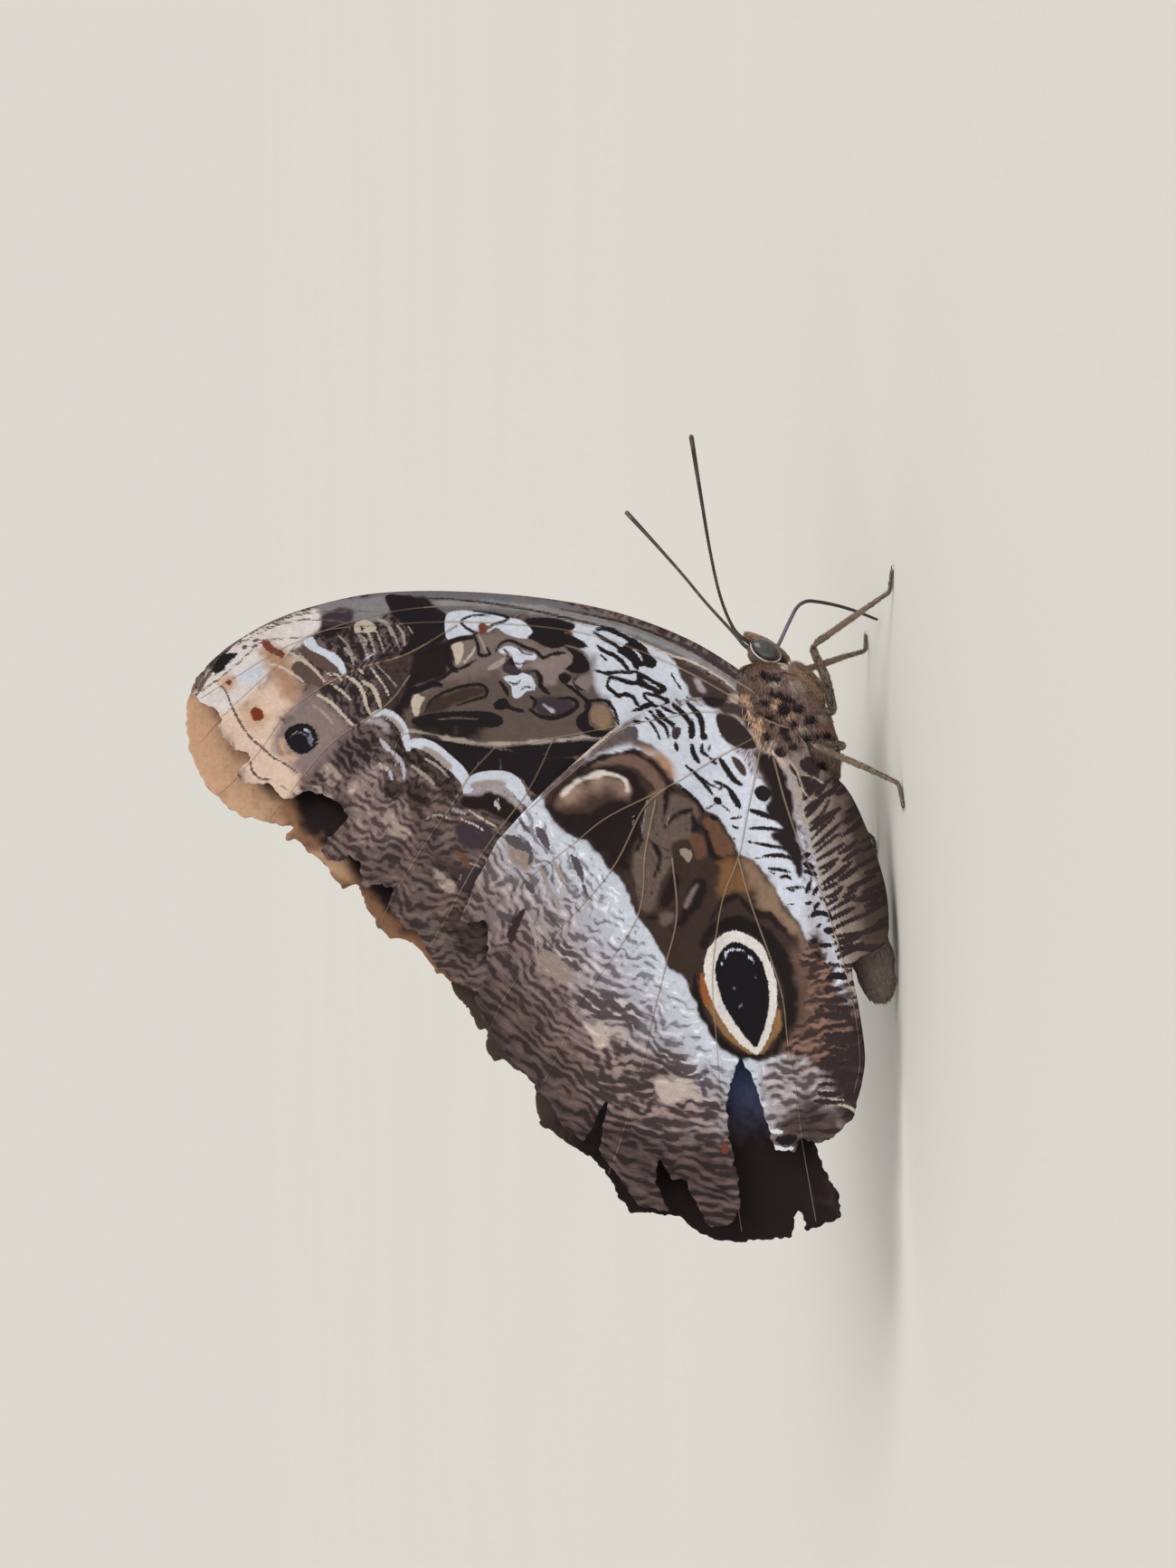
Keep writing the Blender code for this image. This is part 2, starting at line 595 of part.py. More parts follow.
def build_wings(body_cutters):
    for side in (RIGHT, LEFT):
        right = side == RIGHT
        leading = [tuple(p) for p in smooth_path(FORE_LEADING, 4.0)]
        tip = FORE_TIP_RIGHT if right else FORE_TIP_LEFT
        worn = FORE_WORN_RIGHT if right else FORE_WORN_LEFT
        trailing = [tuple(p) for p in smooth_path(FORE_TRAILING, 6.0)]
        outline = [*leading, *tip, *worn, *trailing]
        node = wing(
            f"forewing_{SIDE_NAMES[side]}", side, outline, FORE_VEINS, FORE_LAYER, FORE_FLARE, scales()
        )
        for cutter in body_cutters:
            trim(node, cutter)
        leading = [tuple(p) for p in smooth_path(HIND_LEADING, 4.0)]
        worn = HIND_WORN_RIGHT if right else HIND_WORN_LEFT
        trailing = [tuple(p) for p in smooth_path(HIND_TRAILING, 3.0)]
        outline = [*leading, *worn, *trailing]
        node = wing(
            f"hindwing_{SIDE_NAMES[side]}", side, outline, HIND_VEINS, HIND_LAYER, HIND_FLARE, scales()
        )
        for cutter in body_cutters:
            trim(node, cutter)


def build_legs(body_cutter):
    for side in (RIGHT, LEFT):
        name = SIDE_NAMES[side]
        for kind, joints, radii, bend in (
            ("midleg", MIDDLE_LEG[side], LEG_RADII, BEND),
            ("hindleg", HIND_LEG, LEG_RADII, BEND),
        ):
            path, sizes = rounded_path(both_sides(joints, side), radii, bend, 1.0)
            trim(limb(f"{kind}_{name}", path, sizes, 8, horn()), body_cutter)
        path, sizes = tapered(both_sides(FORELEG, side), FORELEG_RADII, 0.8)
        trim(limb(f"foreleg_{name}", path, sizes, 8, fur()), body_cutter)


def build_head(thorax_cutter):
    head = oval("head", HEAD_CENTRE, HEAD_RADII, HEAD_PITCH, 0.0, fur(), 22, 14)
    trim(head, thorax_cutter)
    head_cutter = grown(head)
    for side in (RIGHT, LEFT):
        name = SIDE_NAMES[side]
        centre = (EYE_CENTRE[0], side * EYE_CENTRE[1], EYE_CENTRE[2])
        eye = oval(f"eye_{name}", centre, EYE_RADII, HEAD_PITCH, 0.0, eye_lens(), 20, 12)
        eye_cutter = grown(eye)
        trim(head, eye_cutter)
        trim(eye, thorax_cutter)
        path, sizes = tapered(both_sides(ANTENNA[side], side), ANTENNA_RADII, 2.2)
        trim(limb(f"antenna_{name}", path, sizes, 8, horn()), head_cutter)
        path, sizes = tapered(both_sides(PALP, side), PALP_RADII, 1.1)
        palp = limb(f"palp_{name}", path, sizes, 8, fur())
        for cutter in (head_cutter, eye_cutter, thorax_cutter):
            trim(palp, cutter)
    path, sizes = tapered(PROBOSCIS, PROBOSCIS_RADII, 1.2)
    trim(limb("proboscis", path, sizes, 8, horn()), head_cutter)


def centre_on_floor():
    """Moves everything so that the origin is under the middle of the whole butterfly's box."""
    corners = []
    for made in bpy.data.objects:
        if not made.hide_render:
            corners += [np.array(v.co) for v in made.data.vertices]
    low, high = np.min(corners, axis=0), np.max(corners, axis=0)
    shift = Vector((-(low[0] + high[0]) / 2, -(low[1] + high[1]) / 2, -low[2]))
    for made in bpy.data.objects:
        for vertex in made.data.vertices:
            vertex.co += shift


def main():
    for old in list(bpy.data.objects):
        bpy.data.objects.remove(old)
    thorax = trunk("thorax", THORAX, 1.3, 24, fur())
    abdomen = trunk("abdomen", ABDOMEN, 1.3, 24, fur(), ABDOMEN_RINGS)
    thorax_cutter, abdomen_cutter = grown(thorax), grown(abdomen)
    build_wings((thorax_cutter, abdomen_cutter))
    build_legs(thorax_cutter)
    build_head(thorax_cutter)
    centre_on_floor()


main()
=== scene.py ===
"""The finished look of a resting owl butterfly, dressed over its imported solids.

The head faces +X, the back +Z and the right side -Y. Lengths are in millimetres until a mesh is
made. The wing pattern is written as it shows in a side picture, forward and up in millimetres,
and is laid on the wings' own surfaces as inks with soft or ragged edges.
"""

from __future__ import annotations

import logging
import math
from dataclasses import dataclass
from enum import Enum
from typing import Optional, Sequence, Union

import bpy
import numpy as np
from mathutils import Matrix, Vector

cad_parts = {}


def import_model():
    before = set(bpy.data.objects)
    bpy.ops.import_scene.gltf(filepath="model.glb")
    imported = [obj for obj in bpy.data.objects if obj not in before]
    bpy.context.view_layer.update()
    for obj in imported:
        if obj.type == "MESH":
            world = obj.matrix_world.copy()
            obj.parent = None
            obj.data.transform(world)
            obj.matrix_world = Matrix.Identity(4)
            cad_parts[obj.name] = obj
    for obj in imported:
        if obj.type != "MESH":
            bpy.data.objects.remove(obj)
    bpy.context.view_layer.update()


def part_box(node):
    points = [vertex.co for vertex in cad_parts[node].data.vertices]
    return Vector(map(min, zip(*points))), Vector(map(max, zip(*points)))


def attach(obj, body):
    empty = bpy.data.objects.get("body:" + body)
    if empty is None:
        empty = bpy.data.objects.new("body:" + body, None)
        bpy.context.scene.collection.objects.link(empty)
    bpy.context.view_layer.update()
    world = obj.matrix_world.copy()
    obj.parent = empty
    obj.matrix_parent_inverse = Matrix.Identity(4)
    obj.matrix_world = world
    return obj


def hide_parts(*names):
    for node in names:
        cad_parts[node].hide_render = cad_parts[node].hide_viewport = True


LOG = logging.getLogger("owl_butterfly")

MM = 0.001  # a millimetre in metres
LEFT, RIGHT = 1, -1  # the signs of the sides along Y
SIDE_NAMES = {LEFT: "left", RIGHT: "right"}
FAR = 9.0  # the distance to an ink's edge where no ink is near, in millimetres
FLOW_RADIUS = 34.0  # turns a wing's angle about its pole into millimetres
LATTICE = 64  # random heights along each side of a noise table
LATTICE_MIDDLE = 500  # keeps the places in a noise table above zero
QUARTER = math.pi / 2  # a quarter turn round the body, from its left flank up to its back
POLE_GAP = 0.03  # how far an oval's end rings stay from its poles, in radians
EYE_CENTRE = (18.95, 1.95, 16.7)  # of the left eye, and the right one mirrors it
EYE_RIM = (226, 216, 210)  # the pale scales round the eyes and on the cheeks

Number = Union[float, "Value"]
Rgb = tuple[int, int, int]
Path2 = tuple[tuple[float, float], ...]
Point3 = tuple[float, float, float]
Path3 = tuple[Point3, ...]


def linear(colour: Rgb) -> np.ndarray:
    """A display colour of 0 to 255 as linear light of 0 to 1, by the sRGB curve."""
    share = np.array(colour, float) / 255
    return np.where(share <= 0.04045, share / 12.92, ((share + 0.055) / 1.055) ** 2.4)


def smoothstep(low: float, high: float, value: np.ndarray) -> np.ndarray:
    """0 below low, 1 above high, and the cubic 3t^2 - 2t^3 between them."""
    t = np.clip((value - low) / (high - low), 0, 1)
    return t * t * (3 - 2 * t)


def unit(vectors: np.ndarray) -> np.ndarray:
    """Vectors along the last axis, at length one."""
    return vectors / np.maximum(np.linalg.norm(vectors, axis=-1, keepdims=True), 1e-9)


def laid(base: np.ndarray, colour: np.ndarray, share: np.ndarray) -> np.ndarray:
    """Linear colours with another one laid over them, by a share for each."""
    return base * (1 - share[:, None]) + colour * share[:, None]


def along_surface(ways: np.ndarray, normals: np.ndarray) -> np.ndarray:
    """Directions without what stands out of the surface, at length one."""
    return unit(ways - normals * (ways * normals).sum(1, keepdims=True))


def value_noise(x: np.ndarray, z: np.ndarray, size: float, seed: int) -> np.ndarray:
    """Smooth noise of -1 to 1 from random heights on a square lattice.

    Args:
        x: First places, in millimetres.
        z: Second places, in millimetres.
        size: The lattice's step, in millimetres.
        seed: Which table of heights to use.

    Returns:
        One value for each place: heights mixed by cubic weights between lattice points.
    """
    table = np.random.default_rng(seed).uniform(-1, 1, (LATTICE, LATTICE))
    u, v = x / size + LATTICE_MIDDLE, z / size + LATTICE_MIDDLE
    i, j = np.floor(u).astype(int), np.floor(v).astype(int)
    s, t = u - i, v - j
    s, t = s * s * (3 - 2 * s), t * t * (3 - 2 * t)
    i, j, i1, j1 = i % LATTICE, j % LATTICE, (i + 1) % LATTICE, (j + 1) % LATTICE
    low = table[i, j] * (1 - s) + table[i1, j] * s
    high = table[i, j1] * (1 - s) + table[i1, j1] * s
    return low * (1 - t) + high * t


def smooth_path(points: Sequence[Sequence[float]], step: float, closed: bool = False) -> np.ndarray:
    """Points about a step apart on the Catmull-Rom curve through the given points.

    Args:
        points: Two or more points of any dimension.
        step: The wanted spacing.
        closed: Whether the curve comes back to its start.

    Returns:
        The curve's points, without a repeat of the first one where it is closed.
    """
    given = np.array(points, float)
    if closed:
        padded = np.vstack([given[-1:], given, given[:2]])
    else:
        padded = np.vstack([2 * given[0] - given[1], given, 2 * given[-1] - given[-2]])
    found = []
    for before, start, end, after in zip(padded, padded[1:], padded[2:], padded[3:]):
        count = max(1, round(float(np.linalg.norm(end - start)) / step))
        t = (np.arange(count) / count)[:, None]
        square = (2 * before - 5 * start + 4 * end - after) * t**2
        cube = (3 * start - before - 3 * end + after) * t**3
        found.append((2 * start + (end - before) * t + square + cube) / 2)
    if not closed:
        found.append(given[-1:])
    return np.vstack(found)


def distance_to_path(points: np.ndarray, path: np.ndarray) -> tuple[np.ndarray, np.ndarray]:
    """How far points lie from a line of straight runs, and how far along it the nearest place is.

    Args:
        points: An array of n by 2.
        path: The line's corners, m by 2.

    Returns:
        The distances, and the shares of the line's length from 0 to 1.
    """
    best, share = np.full(len(points), np.inf), np.zeros(len(points))
    lengths = np.linalg.norm(np.diff(path, axis=0), axis=1)
    starts = np.concatenate([[0], np.cumsum(lengths)])
    for index, (a, b) in enumerate(zip(path[:-1], path[1:])):
        run = b - a
        t = np.clip(((points - a) @ run) / max(float(run @ run), 1e-9), 0, 1)
        away = np.hypot(*(points - a - t[:, None] * run).T)
        nearer = away < best
        best = np.where(nearer, away, best)
        share = np.where(nearer, (starts[index] + t * lengths[index]) / max(starts[-1], 1e-9), share)
    return best, share


def signed_distance(points: np.ndarray, outline: np.ndarray) -> np.ndarray:
    """The distance to a closed outline, below zero inside it.

    Inside is where a ray to one side crosses the outline an odd number of times.

    Args:
        points: An array of n by 2.
        outline: The outline's corners in order, m by 2.

    Returns:
        One distance for each point.
    """
    away, _ = distance_to_path(points, np.vstack([outline, outline[:1]]))
    x, z = points.T
    inside = np.zeros(len(points), bool)
    for a, b in zip(outline, np.roll(outline, -1, axis=0)):
        crosses = (a[1] > z) != (b[1] > z)
        rise = b[1] - a[1] if b[1] != a[1] else 1e-12
        inside ^= crosses & (x < a[0] + (z - a[1]) * (b[0] - a[0]) / rise)
    return np.where(inside, -away, away)


@dataclass
class Shape:
    """A mesh being made: points in millimetres and faces as arrays of corner numbers."""

    points: np.ndarray
    faces: list[np.ndarray]

    @staticmethod
    def joined(shapes: Sequence["Shape"]) -> "Shape":
        """Several shapes as one, with their corners renumbered.

        Args:
            shapes: The shapes, in order.

        Returns:
            One shape with all their points and faces.
        """
        starts = np.cumsum([0] + [len(s.points) for s in shapes])
        faces = [f + start for s, start in zip(shapes, starts) for f in s.faces]
        return Shape(np.vstack([s.points for s in shapes]), faces)


def round_surface(rings: np.ndarray) -> Shape:
    """A closed surface through rings of points, with each end drawn in to the ring's middle.

    Args:
        rings: An array of rings by sides by 3.

    Returns:
        The surface, with quads between the rings and fans at both ends.
    """
    count, sides = rings.shape[:2]
    here = np.arange(count * sides).reshape(count, sides)
    ahead = np.roll(here, -1, axis=1)
    quads = np.stack([here[:-1], ahead[:-1], ahead[1:], here[1:]], axis=-1).reshape(-1, 4)
    painted_shading = np.stack([rings[0].mean(0), rings[-1].mean(0)])
    first, last = count * sides, count * sides + 1
    start_fan = np.stack([ahead[0], here[0], np.full(sides, first)], axis=-1)
    end_fan = np.stack([here[-1], ahead[-1], np.full(sides, last)], axis=-1)
    faces = [quads, np.vstack([start_fan, end_fan])]
    return Shape(np.vstack([rings.reshape(-1, 3), painted_shading]), faces)


def tube(path: np.ndarray, radii: np.ndarray, sides: int) -> Shape:
    """A round tube: circles of the given radii carried along a path.

    Each circle lies square to the path, turned from the normal of the path's own best plane, so
    that it never twists.

    Args:
        path: The middle line, n by 3.
        radii: The radius at each of its points.
        sides: How many points each circle has.

    Returns:
        The closed tube.
    """
    ahead = unit(np.gradient(path, axis=0))
    plane = np.linalg.svd(path - path.mean(0), full_matrices=False)[2][-1]
    across = unit(plane - (ahead @ plane)[:, None] * ahead)
    up = np.cross(ahead, across)
    turn = (np.arange(sides) * math.tau / sides)[None, :, None]
    spokes = np.cos(turn) * across[:, None] + np.sin(turn) * up[:, None]
    return round_surface(path[:, None] + np.asarray(radii)[:, None, None] * spokes)


def oval_points(
    centre: Point3, radii: Point3, pitch: float, a: np.ndarray, b: np.ndarray
) -> np.ndarray:
    """Points of an ellipsoid about a level axis across the body, pitched forward.

    A point is (r1 cos a sin b, r2 cos b, r3 sin a sin b), turned by the pitch about the axis.

    Args:
        centre: The middle.
        radii: How far it reaches forward, across and up.
        pitch: How far it is tipped forward, in radians.
        a: Angles round the axis.
        b: Angles from the axis's pole.

    Returns:
        The points, along a last axis of 3.
    """
    forward = radii[0] * np.cos(a) * np.sin(b)
    side = radii[1] * np.cos(b) * np.ones_like(a)
    up = radii[2] * np.sin(a) * np.sin(b)
    x = centre[0] + forward * math.cos(pitch) + up * math.sin(pitch)
    z = centre[2] - forward * math.sin(pitch) + up * math.cos(pitch)
    return np.stack([x, centre[1] + side, z], axis=-1)


def oval(centre: Point3, radii: Point3, pitch: float, rings: int, sides: int) -> Shape:
    """The closed ellipsoid, as circles of points round its axis from pole to pole.

    Args:
        centre: The middle.
        radii: How far it reaches forward, across and up.
        pitch: How far it is tipped forward, in radians.
        rings: How many circles there are.
        sides: How many points each has.

    Returns:
        The closed surface.
    """
    b = np.linspace(POLE_GAP, math.pi - POLE_GAP, rings)[:, None]
    a = (np.arange(sides) * math.tau / sides)[None, :]
    return round_surface(oval_points(centre, radii, pitch, a, b))


class Workshop:
    """Turns shapes into finished pieces that ride on the frame."""

    def __init__(self, shift: float) -> None:
        """Makes the finishes, one for each material slot of the record.

        Args:
            shift: How far the frame's origin is from the design's, along X in millimetres.
        """
        self.shift = shift
        self.finishes = {slot: finish.material() for slot, finish in FINISHES.items()}

    def piece(
        self,
        name: str,
        shape: Shape,
        slot: str,
        colours: dict[str, np.ndarray],
        vectors: Optional[dict[str, np.ndarray]] = None,
        replaces: Sequence[str] = (),
        corners: Optional[np.ndarray] = None,
    ) -> None:
        """Makes one piece at the origin, with its place in its mesh.

        Args:
            name: The piece's name.
            shape: Points in millimetres of the design, and faces.
            slot: The record's material slot, which also gives the finish.
            colours: Linear colours for each point, by attribute name.
            vectors: Vectors for each point, by attribute name.
            replaces: The solids that it stands for.
            corners: A place on the unwrapped skin for each corner of each face, or None.
        """
        mesh = bpy.data.meshes.new(name)
        points = (shape.points + np.array([self.shift, 0.0, 0.0])) * MM
        loops = np.concatenate([f.ravel() for f in shape.faces]).astype(np.int32)
        sizes = np.concatenate([np.full(len(f), f.shape[1]) for f in shape.faces])
        mesh.vertices.add(len(points))
        mesh.vertices.foreach_set("co", points.astype(np.float32).ravel())
        mesh.loops.add(len(loops))
        mesh.loops.foreach_set("vertex_index", loops)
        mesh.polygons.add(len(sizes))
        starts = np.concatenate([[0], np.cumsum(sizes)[:-1]])
        mesh.polygons.foreach_set("loop_start", starts.astype(np.int32))
        mesh.update(calc_edges=True)
        mesh.shade_smooth()
        for key, values in colours.items():
            layer = mesh.attributes.new(key, "FLOAT_COLOR", "POINT")
            rgba = np.hstack([values, np.ones((len(values), 1))])
            layer.data.foreach_set("color", rgba.astype(np.float32).ravel())
        for key, values in (vectors or {}).items():
            layer = mesh.attributes.new(key, "FLOAT_VECTOR", "POINT")
            layer.data.foreach_set("vector", values.astype(np.float32).ravel())
        if corners is not None:
            layer = mesh.uv_layers.new(name="OFBake")
            layer.uv.foreach_set("vector", corners.astype(np.float32).ravel())
        mesh.materials.append(self.finishes[slot])
        made = bpy.data.objects.new(name, mesh)
        bpy.context.scene.collection.objects.link(made)
        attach(made, "root")
        if replaces:
            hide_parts(*replaces)
        LOG.info("%s: %d faces", name, len(sizes))


class Value:
    """A number of a material that varies over its surface, for use in ordinary sums."""

    def __init__(self, nodes: "Nodes", socket: bpy.types.NodeSocket) -> None:
        """Wraps one output of one of the material's nodes."""
        self.nodes, self.socket = nodes, socket

    def __add__(self, other: Number) -> "Value":
        """The sum."""
        return self.nodes.maths("ADD", self, other)

    __radd__ = __add__

    def __mul__(self, other: Number) -> "Value":
        """The product."""
        return self.nodes.maths("MULTIPLY", self, other)

    __rmul__ = __mul__

    def __sub__(self, other: Number) -> "Value":
        """This less the other."""
        return self.nodes.maths("SUBTRACT", self, other)

    def __rsub__(self, other: Number) -> "Value":
        """The other less this."""
        return self.nodes.maths("SUBTRACT", other, self)

    def rise(self, low: float, high: float) -> "Value":
        """A smooth step from 0 at low to 1 at high, or falling where low is the larger.

        Args:
            low: Where the step starts.
            high: Where it ends.

        Returns:
            The step's value, 0 to 1.
        """
        settings = {"interpolation_type": "SMOOTHSTEP"}
        made = self.nodes.add("ShaderNodeMapRange", settings, {0: self, 1: low, 2: high})
        return Value(self.nodes, made.outputs[0])


class Nodes:
    """The nodes of one material, made by one method."""

    def __init__(self, name: str, **constants: float) -> None:
        """Starts a material whose shader has these constant values on its own sockets.

        Args:
            name: The material's name.
            constants: Values by socket name, in small letters.
        """
        self.material = bpy.data.materials.new(name)
        self.material.use_nodes = True
        self.tree = self.material.node_tree
        self.shader = self.tree.nodes["Principled BSDF"]
        for key, value in constants.items():
            self.shader.inputs[key.replace("_", " ").title().replace("Ior", "IOR")].default_value = value

    def add(
        self, kind: str, settings: Optional[dict] = None, sockets: Optional[dict] = None
    ) -> bpy.types.Node:
        """Adds a node: its type, its settings first, and then its sockets' values or links.

        Args:
            kind: The node's type name.
            settings: Properties of the node.
            sockets: Input names or numbers, with a Value, a socket, a number or a tuple for each.

        Returns:
            The node.
        """
        made = self.tree.nodes.new(kind)
        for key, value in (settings or {}).items():
            setattr(made, key, value)
        for key, value in (sockets or {}).items():
            if isinstance(value, Value):
                value = value.socket
            if isinstance(value, bpy.types.NodeSocket):
                self.tree.links.new(value, made.inputs[key])
            else:
                made.inputs[key].default_value = value
        return made

    def maths(self, operation: str, first: Number, second: Number) -> Value:
        """One Math node."""
        made = self.add("ShaderNodeMath", {"operation": operation}, {0: first, 1: second})
        return Value(self, made.outputs[0])

    def place(self) -> bpy.types.NodeSocket:
        """Object coordinates, in metres."""
        return self.add("ShaderNodeTexCoord").outputs["Object"]

    def colour(self, name: str) -> bpy.types.NodeSocket:
        """A colour that the mesh carries."""
        return self.add("ShaderNodeAttribute", {"attribute_name": name}).outputs["Color"]

    def vector(self, name: str) -> bpy.types.NodeSocket:
        """A vector that the mesh carries."""
        return self.add("ShaderNodeAttribute", {"attribute_name": name}).outputs["Vector"]

    def parts(self, vector: bpy.types.NodeSocket) -> list[Value]:
        """The three parts of a vector."""
        made = self.add("ShaderNodeSeparateXYZ", None, {0: vector})
        return [Value(self, made.outputs[i]) for i in range(3)]

    def stretched(self, vector: bpy.types.NodeSocket, scale: Sequence[float]) -> bpy.types.NodeSocket:
        """A vector with each part multiplied."""
        return self.add("ShaderNodeVectorMath", {"operation": "MULTIPLY"}, {0: vector, 1: scale}).outputs[0]

    def noise(self, vector: bpy.types.NodeSocket, scale: float, detail: float = 2.0) -> Value:
        """Cloudy noise, about 0.5 on average."""
        made = self.add("ShaderNodeTexNoise", None, {"Vector": vector, "Scale": scale, "Detail": detail})
        return Value(self, made.outputs[0])

    def cells(self, vector: bpy.types.NodeSocket, scale: float) -> Value:
        """The distance to the middle of the nearest cell."""
        made = self.add("ShaderNodeTexVoronoi", None, {"Vector": vector, "Scale": scale})
        return Value(self, made.outputs[0])

    def mix(self, share: Number, first: object, second: object, blend: str = "MIX") -> bpy.types.NodeSocket:
        """Two colours mixed, or blended in another way."""
        settings = {"data_type": "RGBA", "blend_type": blend}
        return self.add("ShaderNodeMix", settings, {0: share, 6: first, 7: second}).outputs[2]

    def toned(self, colour: object, tone: Value) -> bpy.types.NodeSocket:
        """A colour made darker or lighter by a number."""
        grey = self.add("ShaderNodeCombineXYZ", None, {0: tone, 1: tone, 2: tone}).outputs[0]
        return self.mix(1.0, colour, grey, "MULTIPLY")

    def bump(self, height: Value, distance: float, strength: float) -> None:
        """Raises the surface's shading by a height of 0 to 1 over a distance in metres.

        Args:
            height: The height.
            distance: How far 1 stands out.
            strength: The share that shows.
        """
        sockets = {"Height": height, "Distance": distance, "Strength": strength}
        made = self.add("ShaderNodeBump", None, sockets)
        self.tree.links.new(made.outputs[0], self.shader.inputs["Normal"])

    def dress(
        self, base: bpy.types.NodeSocket, roughness: Optional[Value] = None
    ) -> bpy.types.Material:
        """Joins a colour, and a roughness if there is one, to the shader.

        Args:
            base: The colour.
            roughness: The roughness where it varies.

        Returns:
            The finished material.
        """
        self.tree.links.new(base, self.shader.inputs["Base Color"])
        if roughness is not None:
            self.tree.links.new(roughness.socket, self.shader.inputs["Roughness"])
        return self.material


@dataclass(frozen=True)
class WingScales:
    """The scaled membrane: soft ground, pale ink and dark ink with ragged edges, and ripples.

    A stretch multiplies the flow's two millimetre places, a fineness multiplies metres.
    """

    tooth_stretch: Point3 = (0.9, 3.2, 1)
    bend_stretch: Point3 = (0.14, 0.2, 1)
    curl_stretch: Point3 = (0.35, 0.6, 1)
    clump_stretch: Point3 = (0.22, 0.3, 1)
    edge_fineness: float = 7000.0
    speckle_fineness: float = 1700.0
    cloud_fineness: float = 420.0
    grain_fineness: float = 6500.0
    edge_softness: float = 0.07
    ripple_across: float = 0.8
    ripple_along: float = 2.2
    row: float = 1.5
    row_bend: float = 6.0
    row_curl: float = 3.0
    crest_gain: tuple[float, ...] = (1.55, 1.5, 1.45, 1)
    trough_gain: tuple[float, ...] = (0.25, 0.22, 0.23, 1)
    relief: float = 0.00004

    def material(self) -> bpy.types.Material:
        """Builds the finish from the inks and distances that a wing's mesh carries.

        A ripple is the sine of the bent distance from the wing's pole, mixed with noise that is
        long across the veins. Where it is high the ground darkens, where it is low it pales, and
        both follow the mesh's own density of ripples. The inks cover it inside their edges.

        Returns:
            The finished material.
        """
        nodes = Nodes("wing_scales_look", roughness=0.72, specular_ior_level=0.16)
        place = nodes.place()
        to_pale, to_dark, density = nodes.parts(nodes.vector("ink_edges"))
        flow = nodes.vector("flow")
        bend = nodes.noise(nodes.stretched(flow, self.bend_stretch), 1.0, 1.0)
        curl = nodes.noise(nodes.stretched(flow, self.curl_stretch), 1.0, 1.5)
        reach = nodes.parts(flow)[0] + bend * self.row_bend + curl * self.row_curl
        rows = nodes.maths("SINE", reach * (math.tau / self.row), 0)
        across = (1 / self.ripple_across, 1 / self.ripple_along, 1)
        breaks = nodes.noise(nodes.stretched(flow, across), 1.0, 3.0)
        clumps = nodes.noise(nodes.stretched(flow, self.clump_stretch), 1.0, 2.0)
        speckle = nodes.noise(place, self.speckle_fineness, 3.0)
        ripple = rows * 0.1 + breaks * 0.75 + clumps * 0.35 + (speckle - 0.5) * 0.14 - 0.05
        trough = (ripple + density * 0.5 - 0.78).rise(-0.07, 0.08) * (density * 0.9 + 0.45)
        crest = (density * 0.2 - ripple + 0.3).rise(-0.04, 0.09) * density.rise(-0.06, 0.3)
        base = nodes.colour("ground")
        base = nodes.mix(crest, base, nodes.mix(1.0, base, self.crest_gain, "MULTIPLY"))
        base = nodes.mix(trough, base, nodes.mix(1.0, base, self.trough_gain, "MULTIPLY"))
        teeth = nodes.noise(nodes.stretched(flow, self.tooth_stretch), 1.0)
        ragged = (teeth - 0.5) * 0.6 + (nodes.noise(place, self.edge_fineness) - 0.5) * 0.35
        for edge, ink in ((to_pale, "pale"), (to_dark, "dark")):
            inside = (edge + ragged).rise(self.edge_softness, -self.edge_softness)
            base = nodes.mix(inside, base, nodes.colour(ink))
        grain = nodes.noise(place, self.grain_fineness, 3.0)
        cloud = nodes.noise(place, self.cloud_fineness, 3.0)
        nodes.bump(nodes.cells(place, self.grain_fineness) * 0.6 + grain, self.relief, 0.6)
        tone = grain * 0.5 + cloud * 0.3 + speckle * 0.45 + 0.37
        return nodes.dress(nodes.toned(base, tone), grain * 0.2 + 0.62)


@dataclass(frozen=True)
class Fur:
    """Hair and body scales in the colours that the mesh carries."""

    streak_stretch: Point3 = (0.35, 1.0, 1.0)
    strand_fineness: float = 2600.0
    relief: float = 0.00006

    def material(self) -> bpy.types.Material:
        """Builds the finish, a little streaked and with a soft sheen.

        Returns:
            The finished material.
        """
        nodes = Nodes("body_fur_look", roughness=0.8, specular_ior_level=0.2)
        place = nodes.stretched(nodes.place(), self.streak_stretch)
        streak = nodes.noise(place, self.strand_fineness, 3.0)
        nodes.bump(streak, self.relief, 0.7)
        return nodes.dress(nodes.toned(nodes.colour("tint"), streak * 0.6 + 0.7), streak * 0.2 + 0.7)


@dataclass(frozen=True)
class Cuticle:
    """The horny skin of legs, feelers and tongue, in the colours that the mesh carries."""

    pit_fineness: float = 5200.0
    mottle_fineness: float = 1500.0
    relief: float = 0.00003

    def material(self) -> bpy.types.Material:
        """Builds the finish, finely pitted and half glossy.

        Returns:
            The finished material.
        """
        nodes = Nodes("limb_cuticle_look", roughness=0.5)
        place = nodes.place()
        pits = nodes.cells(place, self.pit_fineness)
        mottle = nodes.noise(place, self.mottle_fineness, 3.0)
        nodes.bump(pits, self.relief, 0.7)
        tone = mottle * 0.7 + pits * 0.25 + 0.55
        return nodes.dress(nodes.toned(nodes.colour("tint"), tone), mottle * 0.3 + 0.35)


